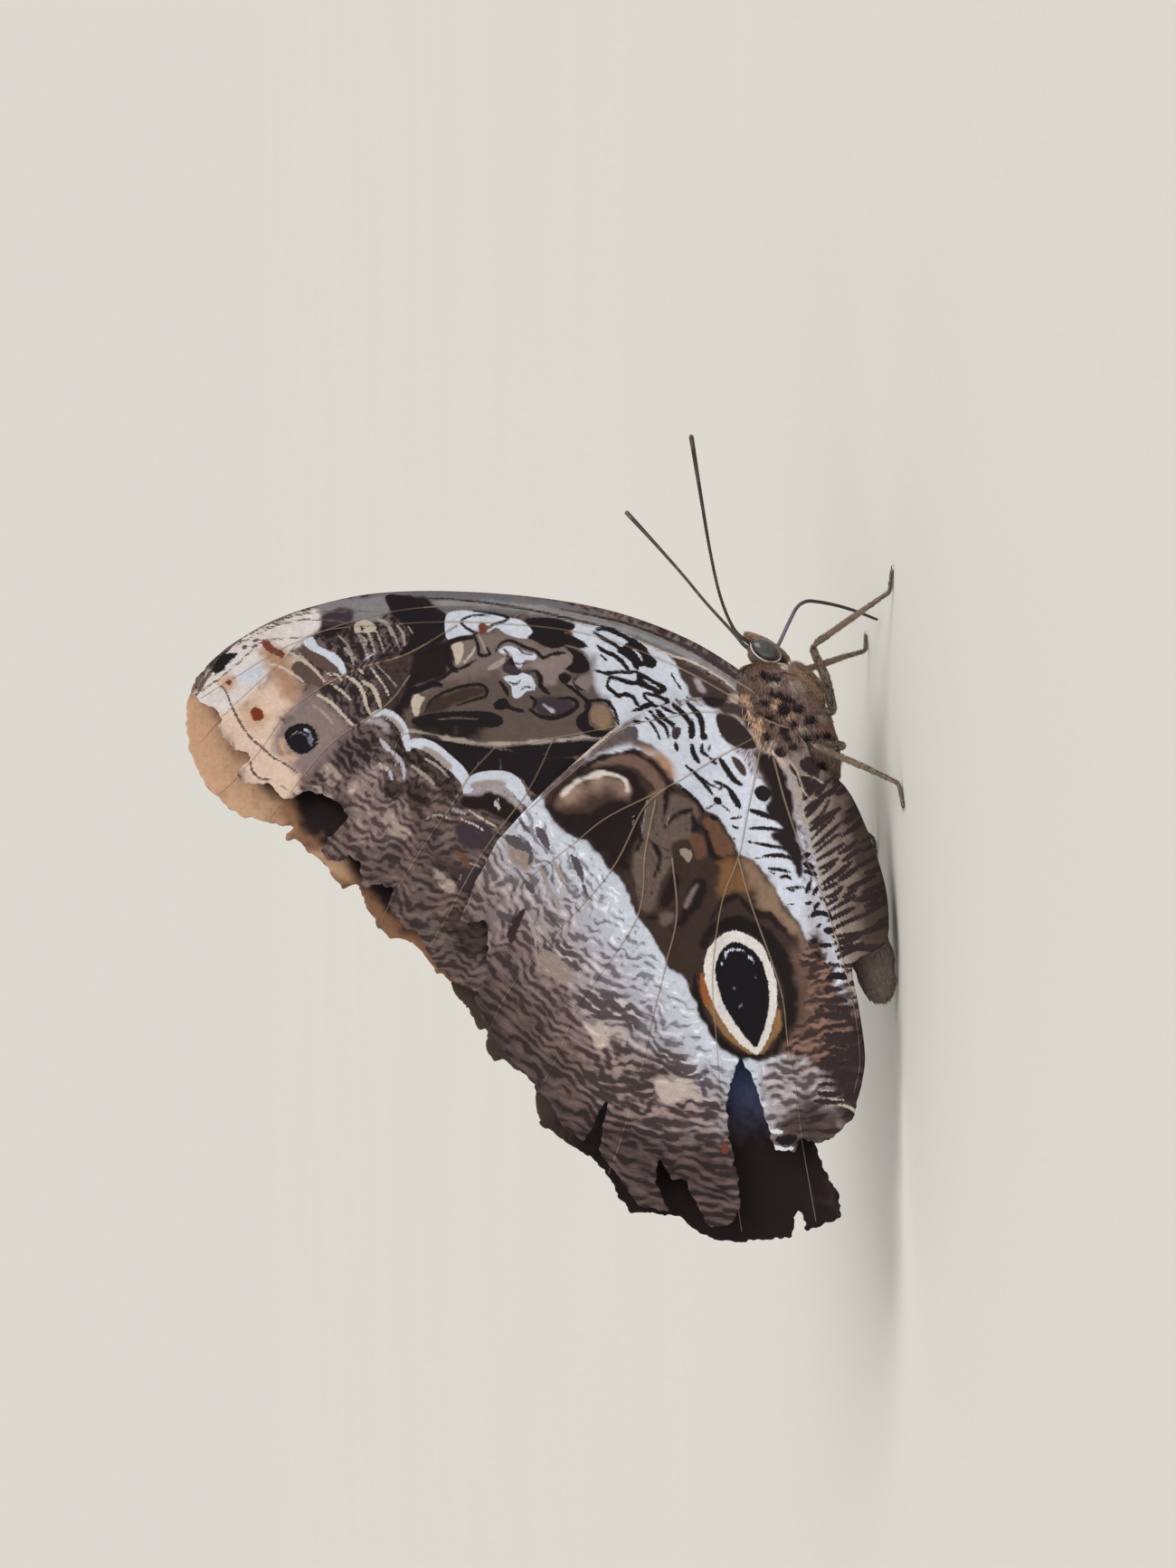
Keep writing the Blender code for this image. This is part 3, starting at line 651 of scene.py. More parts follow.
@dataclass(frozen=True)
class EyeLens:
    """The many-faced eye: olive brown under a clear gloss, with rows of tiny facets."""

    facet_fineness: float = 9000.0
    cloud_fineness: float = 900.0
    facet_edge: tuple[float, ...] = (0.02, 0.017, 0.012, 1)
    relief: float = 0.000015

    def material(self) -> bpy.types.Material:
        """Builds the finish: two browns mixed by clouds, with dark lines between the facets.

        Returns:
            The finished material.
        """
        nodes = Nodes("eye_lens_look", roughness=0.3, coat_weight=0.5, coat_roughness=0.12)
        place = nodes.place()
        facets = nodes.cells(place, self.facet_fineness)
        cloud = nodes.noise(place, self.cloud_fineness, 2.0)
        base = nodes.mix(cloud.rise(0.35, 0.65), nodes.colour("tint"), nodes.colour("tint_deep"))
        base = nodes.mix(facets.rise(0.25, 0.6) * 0.45, base, self.facet_edge)
        nodes.bump(1 - facets, self.relief, 0.8)
        return nodes.dress(base, facets * 0.25 + 0.22)


FINISHES = {
    "wing_scales": WingScales(),
    "body_fur": Fur(),
    "limb_cuticle": Cuticle(),
    "eye_lens": EyeLens(),
}


class Ink(Enum):
    """The colours of the wing pattern."""

    SNOW = (190, 196, 210)
    WHITE = (204, 207, 216)
    CREAM = (180, 168, 156)
    GREY = (148, 138, 136)
    LAVENDER = (170, 168, 184)
    PINK_SPOT = (144, 128, 120)
    RING = (208, 204, 202)
    GLINT = (190, 194, 214)
    GLINT_DIM = (104, 104, 126)
    RUST = (104, 56, 44)
    DEEP_RUST = (112, 48, 22)
    BLACK = (22, 15, 19)
    PURPLE = (54, 44, 52)
    PUPIL = (15, 12, 18)
    DARK_GREY = (80, 74, 80)
    DARK_BROWN_INK = (46, 35, 36)
    BLACK_BROWN_INK = (40, 30, 31)
    OLIVE_DARK = (60, 48, 45)
    STRIPE = (84, 68, 65)
    MARGIN = (96, 80, 76)
    WARM_GREY = (112, 96, 88)
    LILAC = (168, 168, 180)
    DUST = (152, 143, 148)
    SMOKE = (74, 60, 60)
    TAUPE = (122, 107, 107)
    DIM_TAUPE = (94, 79, 78)
    SOOT = (54, 43, 44)
    FOLD = (132, 118, 111)
    PALE_FOLD = (160, 149, 142)
    PINKISH = (190, 170, 160)
    DISC = (54, 39, 35)
    BLACK_BROWN = (27, 17, 18)
    BEAN = (62, 45, 41)
    BEAN_RIM = (204, 194, 190)
    BEAN_GLOW = (142, 120, 106)
    WARM_TAUPE = (104, 82, 74)
    ORANGE_TAN = (160, 124, 102)
    OLIVE_TAUPE = (94, 80, 74)
    RUST_BROWN = (95, 65, 52)
    LOBE = (98, 70, 54)
    GOLD_BROWN = (112, 80, 52)
    TAN = (128, 105, 88)
    HALF_BROWN = (76, 56, 46)
    HALO = (21, 13, 13)
    GOLD = (132, 98, 64)
    ORANGE = (136, 80, 44)
    PALE_SPOT = (140, 125, 119)
    CHALK = (174, 162, 157)
    BROWN = (70, 56, 50)
    DARK_BROWN = (58, 45, 43)
    OLIVE_BROWN = (86, 74, 69)
    DISC_TAUPE = (112, 98, 95)
    MAUVE = (126, 110, 110)
    OLIVE_SPOT = (134, 110, 82)
    COSTA_GREY = (120, 118, 124)
    PALE_LOBE = (150, 134, 127)
    APEX_CELL = (78, 66, 66)
    WHITE_APEX = (204, 197, 196)
    PINK_APEX = (204, 180, 165)
    PALE_ORANGE = (190, 158, 136)
    COSTA = (98, 98, 102)
    COSTA_PALE = (128, 128, 132)
    VEIN = (152, 135, 116)
    RICH_ORANGE = (134, 98, 74)
    FAR_ORANGE = (186, 150, 122)
    NAVY = (74, 88, 126)

    @property
    def light(self) -> np.ndarray:
        """The colour as linear light."""
        return linear(self.value)

    @property
    def pale(self) -> bool:
        """Whether a mark in this ink is laid over the dark ones."""
        return float(self.light.mean()) > 0.09


@dataclass(frozen=True)
class Mark:
    """A mark with an edge, its points in millimetres forward and up in the side picture.

    A width of 0 is a patch inside a smooth closed outline, any other a stroke along a smooth line.
    """

    ink: Ink
    width: float
    points: Path2


@dataclass(frozen=True)
class Wash:
    """A soft patch or stroke of the ground, and how dense the dark ripples over it are."""

    ink: Ink
    soft: float
    points: Path2
    width: float
    ripple: float


@dataclass(frozen=True)
class Fade:
    """Grounds that follow one another outwards from a closed edge: distance, ink and ripple."""

    edge: Path2
    stops: tuple[tuple[float, Ink, float], ...]


@dataclass(frozen=True)
class Dashes:
    """Rows of short strokes across a strip, each a little different.

    The rows are spread from start to end, reach so far across, and turn from the first of the
    turns to the last. Each stroke has a length and a width between the two given.
    """

    ink: Ink
    start: tuple[float, float]
    end: tuple[float, float]
    rows: int
    reach: float
    turns: tuple[float, float]
    long: tuple[float, float]
    wide: tuple[float, float]
    seed: int

    def marks(self) -> list[Mark]:
        """The strokes, row after row along the strip, with small gaps and leans drawn by the seed.

        Returns:
            One mark for each stroke.
        """
        pick = np.random.default_rng(self.seed)
        made = []
        for share in np.linspace(0, 1, self.rows):
            turn = math.radians(np.interp(share, (0, 1), self.turns))
            root = np.array(self.start) * (1 - share) + np.array(self.end) * share
            along = pick.uniform(0.0, 0.6)
            while along < self.reach:
                long = pick.uniform(*self.long)
                lean = turn + pick.normal(0, 0.1)
                way = np.array([math.cos(lean), math.sin(lean)])
                side = np.array([-way[1], way[0]])
                first = root + way * along + side * pick.normal(0, 0.18)
                middle = first + way * long / 2 + side * pick.normal(0, 0.14)
                points = tuple(map(tuple, (first, middle, first + way * long)))
                made.append(Mark(self.ink, pick.uniform(*self.wide), points))
                along += long + pick.uniform(0.2, 0.5)
        return made


def marks(*groups: tuple) -> tuple[Mark, ...]:
    """Marks from groups, each an ink and then rows of a width and points."""
    return tuple(Mark(ink, row[0], row[1:]) for ink, *rows in groups for row in rows)


def washes(*groups: tuple) -> tuple[Wash, ...]:
    """Washes from groups, each an ink and then rows of softness, width, ripple and points."""
    return tuple(Wash(ink, row[0], row[3:], *row[1:3]) for ink, *rows in groups for row in rows)


DISC_EDGE = (
    (-2.5, 47.8), (-0.5, 46.5), (1.2, 44.5), (2.6, 42.4), (3.6, 40.2), (4.4, 38), (5, 35.5), (4.2, 33.5),
    (3.4, 31.8), (2, 30.4), (0.5, 29.8), (-0.8, 28.4), (-2.2, 26.8), (-3.6, 25.5), (-4.6, 23.6),
    (-6.2, 22.6), (-8.2, 21.5), (-9.9, 20.5), (-10.6, 19), (-12.2, 17.4), (-14.5, 16), (-16.4, 14.8),
    (-18.5, 13.2), (-20.5, 12.2), (-22.4, 11.4), (-24.9, 10.5), (-27.4, 10), (-29.9, 10.5), (-32.4, 10.9),
    (-34.6, 11.5), (-35.9, 13), (-36.4, 14.9), (-37.4, 16.8), (-37.8, 18.6), (-37.2, 20.2), (-35.9, 23),
    (-33.9, 24.8), (-31.4, 26.5), (-28.9, 27.5), (-26.8, 28.4), (-25.8, 29.5), (-24.9, 30.8), (-23.2, 31.4),
    (-21.8, 32.4), (-19.9, 33.6), (-18.2, 35), (-16.5, 35.8), (-14.9, 36.5), (-13.2, 37.2), (-12, 38.5),
    (-10.8, 39.5), (-9.2, 40.5), (-8.2, 41.8), (-7.6, 43.4), (-6.5, 44.9), (-4.9, 46.5),
)
HINDWING_FADE = Fade(
    DISC_EDGE,
    (
        (0, Ink.SNOW, 0.16),
        (2, Ink.SNOW, 0.36),
        (6.5, Ink.LILAC, 0.43),
        (10.5, Ink.DUST, 0.45),
        (14.5, Ink.TAUPE, 0.5),
        (20, Ink.DIM_TAUPE, 0.52),
        (27, Ink.SOOT, 0.44),
    ),
)
HINDWING_GROUNDS = washes(
    (Ink.DIM_TAUPE, (0.7, 0, 0, (-0.2, 48), (3.8, 43), (8.2, 37.6), (9.5, 34.9), (8.2, 32.8), (4.2, 30.8),
      (4.6, 33.5), (5.2, 35.8), (4.6, 38.5), (3.5, 40.8), (2.4, 42.8), (0.8, 44.8), (-2, 47.2))),
    (Ink.LILAC, (0.24, 0.6, 0, (2.9, 41.5), (3.9, 40), (4.6, 38), (5, 35.8))),
    (Ink.SNOW, (0.21, 0, 0, (7.2, 36.8), (9.5, 34), (10.4, 31.1), (11, 26.1), (10.1, 24.2), (6.8, 23.5),
      (5.2, 22.2), (4.2, 20.8), (2.5, 19.8), (0.8, 19), (0.5, 17.2), (-2.4, 16.8), (-3.8, 17), (-6, 15.2),
      (-8, 15), (-9.5, 13.8), (-12, 12.8), (-14.9, 12), (-17.4, 11.8), (-20.2, 11.2), (-23.6, 10.6),
      (-21.8, 11.8), (-18.5, 13.2), (-16.4, 14.8), (-14.5, 16), (-12.2, 17.4), (-10.6, 19), (-9.9, 20.5),
      (-8.2, 21.5), (-6.2, 22.6), (-4.6, 23.6), (-3.6, 25.5), (-2.2, 26.8), (-0.8, 28.4), (0.5, 29.8),
      (2, 30.4), (3.9, 31.4), (5.8, 33.6))),
    (Ink.DARK_BROWN, (0.3, 0, 0, (11.1, 23.5), (11.1, 21.1), (9.8, 18.6), (7.2, 17.1), (5.2, 18),
      (7.5, 19.4), (9.1, 21), (10.1, 23.2))),
    (Ink.LILAC, (1, 0, 0, (-14.9, 12.2), (-13.6, 11.5), (-14.9, 9.9), (-18, 8.8), (-21.2, 8), (-23.5, 8.8),
      (-22.5, 10.2), (-20.5, 11.4))),
    (Ink.FOLD, (0.9, 0, 0, (4.5, 18), (3.5, 15.2), (-0.2, 13), (-4.2, 11.4), (-9.9, 9.9), (-14.9, 8.8),
      (-20.5, 7.5), (-25.5, 6.4), (-30.5, 4.9), (-37.4, 3), (-35.5, -3.2), (-14.2, -3.2), (-0.5, 2.4),
      (4.5, 6.8), (8.2, 13), (8.2, 17.4))),
    (Ink.SOOT, (1.6, 0, 0.35, (-29.9, 10.8), (-28.6, 8), (-29.2, 4.9), (-29.9, 1.1), (-36.8, -0.8),
      (-41.8, 3), (-40.5, 7.4), (-38, 9.9), (-34.2, 11.1))),
    (Ink.BROWN, (2, 0, 0.4, (-31.8, 7.4), (-31.1, 3), (-35.5, -0.1), (-43.6, 2.4), (-46.8, 6.1),
      (-39.2, 8.6)),
     (2.2, 0, 0.1, (3.2, 10), (-3, 7.8), (-10.5, 6.2), (-18, 5), (-27.4, 3.5), (-28, -3.2), (-14.2, -3.2),
      (-0.5, 2.4))),
    (Ink.PALE_FOLD, (0.7, 1.4, 0, (5.8, 17.2), (4.5, 15.8), (2.5, 14.5), (-0.2, 13.2), (-3.8, 12),
      (-7, 10.8), (-10.5, 9.9), (-14.2, 9.1), (-17.8, 8.4), (-21.8, 7.5), (-25.5, 6.6), (-29.2, 5.8),
      (-34.2, 4.5))),
    (Ink.DARK_BROWN, (0.36, 0, 0, (4.8, 18.8), (5, 17.2), (3.8, 16), (1.8, 14.8), (-0.2, 14.2),
      (-1.8, 15.2), (-1.5, 16.8), (0.5, 17.8), (2.5, 18.5))),
    (Ink.PINKISH, (0.8, 1.6, 0, (6.4, 19.2), (5.5, 17.8), (4.2, 16.2), (2.5, 15))),
    (Ink.BLACK_BROWN, (0.24, 0, 0, (12.5, 26.2), (13, 24.2), (11.8, 22.8), (10.5, 24), (11, 25.5)),
     (0.21, 0, 0, (3.8, 18.2), (4.2, 16.8), (2.5, 15.2), (-0.2, 14.2), (-3.6, 13.5), (-7.4, 12.9),
      (-10.5, 12.2), (-12.8, 12.8), (-10.8, 13.5), (-9.4, 14.4), (-8, 15.6), (-6.9, 16.4), (-6, 15.2),
      (-4.5, 16.8), (-3.2, 17.4), (-2.2, 16.5), (-0.2, 16.8), (1.2, 17.5))),
    (Ink.DISC, (0.15, 0, 0, *DISC_EDGE)),
    (Ink.BLACK_BROWN, (0.9, 0, 0, (-3.2, 47.5), (-4.9, 46.2), (-6.8, 44.5), (-8.2, 41.8), (-10.2, 39.5),
      (-11.8, 38.5), (-12, 36.5), (-9.9, 35.8), (-6.8, 34), (-3.6, 33.2), (-1.8, 34), (-2.4, 35.2),
      (-3.6, 36.8), (-4.9, 40.5), (-5.2, 44.2), (-4, 46.5)),
     (0.3, 0, 0, (-2.5, 46.8), (-0.8, 45.8), (0.8, 43.8), (1.9, 41.5), (2.4, 39), (2.2, 36.8), (1.2, 35.1),
      (-0.2, 34.2), (-1.8, 33.8), (-4.2, 35.5), (-5.5, 38), (-5.8, 43), (-4.9, 45.8))),
    (Ink.BEAN, (0.27, 0, 0, (-2.2, 46.4), (-0.8, 45.2), (0.6, 43), (1.4, 41), (1.5, 38.8), (1.1, 37),
      (-0.2, 36.2), (-2, 36.1), (-2.2, 37.4), (-2.8, 39.5), (-3.8, 41.8), (-4.1, 44.2), (-3.6, 45.9))),
    (Ink.WARM_TAUPE, (0.9, 2, 0, (-2.4, 45), (-1.2, 43), (-0.5, 40.5), (-0.4, 38), (-1, 37))),
    (Ink.BEAN_GLOW, (0.9, 1.1, 0, (-1.9, 44.8), (-0.8, 43.2), (0.1, 41.2), (0.5, 39.2), (0.2, 37.5),
      (-0.8, 36.6))),
    (Ink.BEAN_RIM, (0.18, 0.65, 0, (-1.4, 45.2), (-0.1, 43.8), (0.9, 41.8), (1.4, 39.5), (1.2, 37.8),
      (0.4, 36.6), (-0.8, 36.4))),
    (Ink.WARM_TAUPE, (0.3, 1.7, 0, (2.8, 41), (3.4, 38.8), (3.5, 36.2), (2.6, 34.2), (1, 32.8),
      (-0.8, 31.8), (-1.8, 32.8))),
    (Ink.BLACK_BROWN, (0.18, 0.75, 0, (1.6, 43), (3.1, 41), (4, 38.5), (4.4, 35.5), (3.5, 33.5),
      (2.2, 31.9), (0.8, 30.9), (-0.8, 30.1))),
    (Ink.ORANGE_TAN, (0.7, 0, 0, (5, 34), (4.2, 31.5), (2.5, 29.9), (0.5, 29.5), (1, 30.5), (2.9, 31.8),
      (4.1, 33.8))),
    (Ink.OLIVE_TAUPE, (0.3, 0, 0.24, (-2.5, 33.5), (-2, 31.5), (-1.5, 29.5), (-2.2, 27.8), (-3.8, 26.5),
      (-6.1, 26.8), (-8.6, 26.5), (-9.9, 27.8), (-10.5, 29.9), (-12, 31.1), (-14.5, 31.9), (-17, 32.5),
      (-17.4, 34), (-15.5, 34.9), (-13, 35.5), (-10.5, 35.8), (-8, 35), (-5.2, 34.2))),
    (Ink.BLACK_BROWN, (0.18, 0.7, 0, (-4.2, 35.1), (-6.1, 35), (-7.8, 34.5), (-9.2, 35.2)),
     (0.21, 0.8, 0, (-0.8, 30.9), (-2.5, 31), (-5, 31.4)),
     (0.15, 0.7, 0, (-5.9, 31.1), (-4.6, 30), (-3.9, 28.8), (-3.6, 27.4)),
     (0.18, 0.9, 0, (-4.2, 27.4), (-5.8, 27), (-7.4, 27.2)),
     (0.21, 0.7, 0, (-7.5, 33.5), (-8.5, 32.5), (-10, 31.9), (-11.8, 32.1)),
     (0.18, 0.3, 0, (-12, 32.5), (-14, 32.8), (-15.5, 33.2))),
    (Ink.DISC, (0.21, 0, 0, (-8.5, 30.2), (-7.8, 29.5), (-7.5, 28.2), (-8, 26.8), (-9.9, 26), (-11.8, 26.8),
      (-12, 28.2), (-10.5, 29.8))),
    (Ink.BLACK_BROWN, (0.21, 0, 0, (-16.2, 31.9), (-14.5, 31.4), (-12.8, 30.4), (-12.2, 29.5),
      (-13.2, 29.1), (-14.8, 29.5), (-16.2, 30.2), (-16.9, 31.2)),
     (0.21, 0, 0, (-18, 29), (-15.8, 28.5), (-14, 27.8), (-13, 26.5), (-13.8, 25.6), (-15.5, 25.6),
      (-17, 26.6), (-18.2, 27.8), (-19.5, 29.2), (-19.2, 30))),
    (Ink.TAUPE, (0.24, 0.6, 0, (-16.8, 28.4), (-14.9, 27.5), (-14, 26.8))),
    (Ink.BLACK_BROWN, (0.18, 0.5, 0, (-18.5, 34), (-18.2, 32.4), (-19, 30.8), (-20.5, 29.9))),
    (Ink.OLIVE_TAUPE, (0.36, 0, 0, (-17.8, 32), (-17.8, 30.2), (-19.2, 30.5), (-19, 31.8))),
    (Ink.BLACK_BROWN, (0.15, 0, 0, (-10.8, 37.1), (-10.4, 36.2), (-11, 35.8), (-11.9, 36.2),
      (-11.8, 36.9))),
    (Ink.RUST_BROWN, (0.3, 0, 0, (-7.2, 27.8), (-7, 26.2), (-8.2, 25.4), (-10, 25.6), (-10, 27))),
    (Ink.LOBE, (0.24, 0, 0, (-5.2, 25.9), (-4.8, 24.5), (-6, 23.4), (-7.8, 22.2), (-9, 21.6), (-10, 22.2),
      (-9.8, 23.9), (-8.6, 24.9), (-6.8, 25.5))),
    (Ink.BLACK_BROWN, (0.18, 0.85, 0, (-5.8, 26.8), (-6.4, 25.6), (-8, 25.1), (-9.5, 24.8), (-10.4, 23.5),
      (-9.9, 21.8))),
    (Ink.GOLD_BROWN, (0.9, 0, 0, (-10.8, 23.4), (-10.5, 21.1), (-12.4, 20.2), (-14.9, 19.5), (-15.8, 20),
      (-14.8, 21.5), (-15.5, 23), (-14.2, 24))),
    (Ink.TAN, (0.9, 0, 0, (-10.8, 20.5), (-11.4, 18.8), (-13, 17.2), (-15, 16), (-17, 14.8), (-19.2, 13.2),
      (-21.8, 12), (-20.5, 14), (-18, 16.5), (-16.8, 18.2), (-14, 19.2))),
    (Ink.DISC, (1, 0, 0.2, (-16.8, 23), (-15.8, 21.5), (-17.1, 19.8), (-19, 17.4), (-21, 14.8), (-24, 13),
      (-28, 12), (-33, 12.5), (-35.5, 14), (-31.8, 15.8), (-24.2, 16.8), (-20.5, 19.2), (-19.5, 22.2),
      (-20.5, 24.2))),
    (Ink.HALF_BROWN, (1.2, 0, 0, (-21.8, 14), (-23.8, 12), (-26.8, 11.1), (-30.5, 11.4), (-34.2, 12.2),
      (-35.8, 14), (-31.8, 14.2), (-28, 13.8), (-24.2, 14.5))),
    (Ink.BLACK_BROWN, (0.24, 0.85, 0, (-18.8, 25.1), (-16.9, 23.8), (-15.8, 22.5), (-15.4, 21.1),
      (-16.8, 19.9), (-17.8, 18.5), (-18.1, 16.8), (-19.8, 15.2), (-21.5, 13.8))),
    (Ink.HALO, (0.3, 2.2, 0, (-21.8, 26), (-20, 24.5), (-19.1, 22.2), (-19.5, 19.8), (-20.8, 17.6),
      (-22.8, 15.9), (-25.2, 14.8), (-28, 14.1), (-31, 14.1), (-34.2, 15), (-36.2, 16.2)),
     (0.21, 1, 0, (-26.2, 27.2), (-29, 26.9), (-31.5, 26), (-34, 24.5), (-36, 22.5), (-37.1, 19.5),
      (-36.5, 17), (-35, 15.5))),
    (Ink.GOLD, (0.15, 1.15, 0, (-27, 26), (-29.2, 25.5), (-32, 24.1), (-34.5, 22), (-36.2, 19.5),
      (-35.6, 17.8), (-33.5, 16.2), (-31, 15.6))),
    (Ink.ORANGE, (0.18, 0.9, 0, (-26, 26.2), (-27.8, 26), (-29.8, 25.4))),
    (Ink.DUST, (1, 0, 0.55, (-38.2, 18.2), (-37.5, 16), (-37.2, 13.5), (-38.5, 11), (-40.8, 9.5),
      (-43.6, 9), (-46.8, 10.5), (-49.5, 13), (-49.8, 17.2), (-46.8, 17.2), (-41.8, 18))),
    (Ink.SMOKE, (1.6, 0, 0.4, (-45, 15.8), (-43.5, 12.8), (-43.2, 10.2), (-44.9, 7.4), (-48, 7.4),
      (-51.1, 11.8), (-49.5, 16.5)),
     (3.5, 0, 0.55, (-43.6, 43), (-41.8, 39), (-42.8, 34.8), (-46.5, 30.5), (-45.8, 26.1), (-48, 23),
      (-53, 21.5), (-59.2, 23), (-58, 30.5), (-54.2, 36.8), (-48, 41.8))),
    (Ink.SOOT, (1.4, 0, 0.45, (-33, 11.1), (-36.5, 9.5), (-39.8, 8.2), (-42.4, 7.4), (-46.8, 6.1),
      (-41.8, 1.8), (-31.8, 4.2), (-29.2, 7.2))),
    (Ink.WARM_TAUPE, (1.3, 0, 0.6, (-22, 13), (-26.8, 12.5), (-30.8, 12.2), (-34, 13), (-35.8, 15.2),
      (-37.8, 13), (-38.5, 9.9), (-35.5, 6.8), (-30.5, 6.2), (-25.5, 7.8), (-21.2, 9.9))),
    (Ink.TAUPE, (2.8, 0, 0.62, (-35.5, 41.1), (-34.2, 37), (-35.5, 32.8), (-38.2, 28.5), (-42.4, 25),
      (-46.8, 23.5), (-47.4, 29.9), (-45.5, 35.5), (-42.4, 40.5))),
    (Ink.DUST, (1.2, 0, 0.9, (-29, 43), (-28.8, 41.1), (-29, 39), (-30.2, 36.8), (-32.5, 35), (-32.2, 36.8),
      (-31.2, 39.5), (-31.2, 41.8))),
    (Ink.CHALK, (0.24, 0, 0.3, (-32.2, 42.4), (-33, 41.1), (-32.2, 40), (-33, 39), (-33, 37.4),
      (-34.2, 36.1), (-35.5, 36.8), (-35, 38.5), (-36, 39.8), (-35, 41)),
     (0.21, 0, 0.2, (-40.8, 32.8), (-39.9, 31.4), (-40.2, 30.4), (-39.8, 29.2), (-40, 27.8), (-40.8, 26.6),
      (-42.1, 26), (-43.2, 26.8), (-42.5, 28.5), (-43.2, 30.2), (-42.5, 32))),
    (Ink.DUST, (1, 0, 0.95, (-37.5, 31.2), (-37, 29.2), (-38, 27.5), (-39.8, 26.2), (-41.8, 25.5),
      (-42.8, 26), (-40, 27.2), (-38.8, 29.5))),
    (Ink.PALE_SPOT, (0.24, 0, 0.25, (-23.5, 48.8), (-22.8, 47.5), (-23.2, 45.9), (-24.6, 44.5),
      (-26.2, 43.6), (-27, 44.8), (-26.5, 46.4), (-25.5, 48))),
    (Ink.DUST, (0.8, 0, 0.9, (-21.8, 47.2), (-21.8, 45.2), (-23.2, 43.6), (-25.2, 42.8), (-24.8, 43.8),
      (-23, 45.8))),
    (Ink.PALE_SPOT, (0.36, 0, 0.15, (-7.8, 52.6), (-8, 51.2), (-8.8, 50), (-10.2, 49.1), (-11.8, 50),
      (-11.2, 51.6), (-9.8, 52.8))),
)
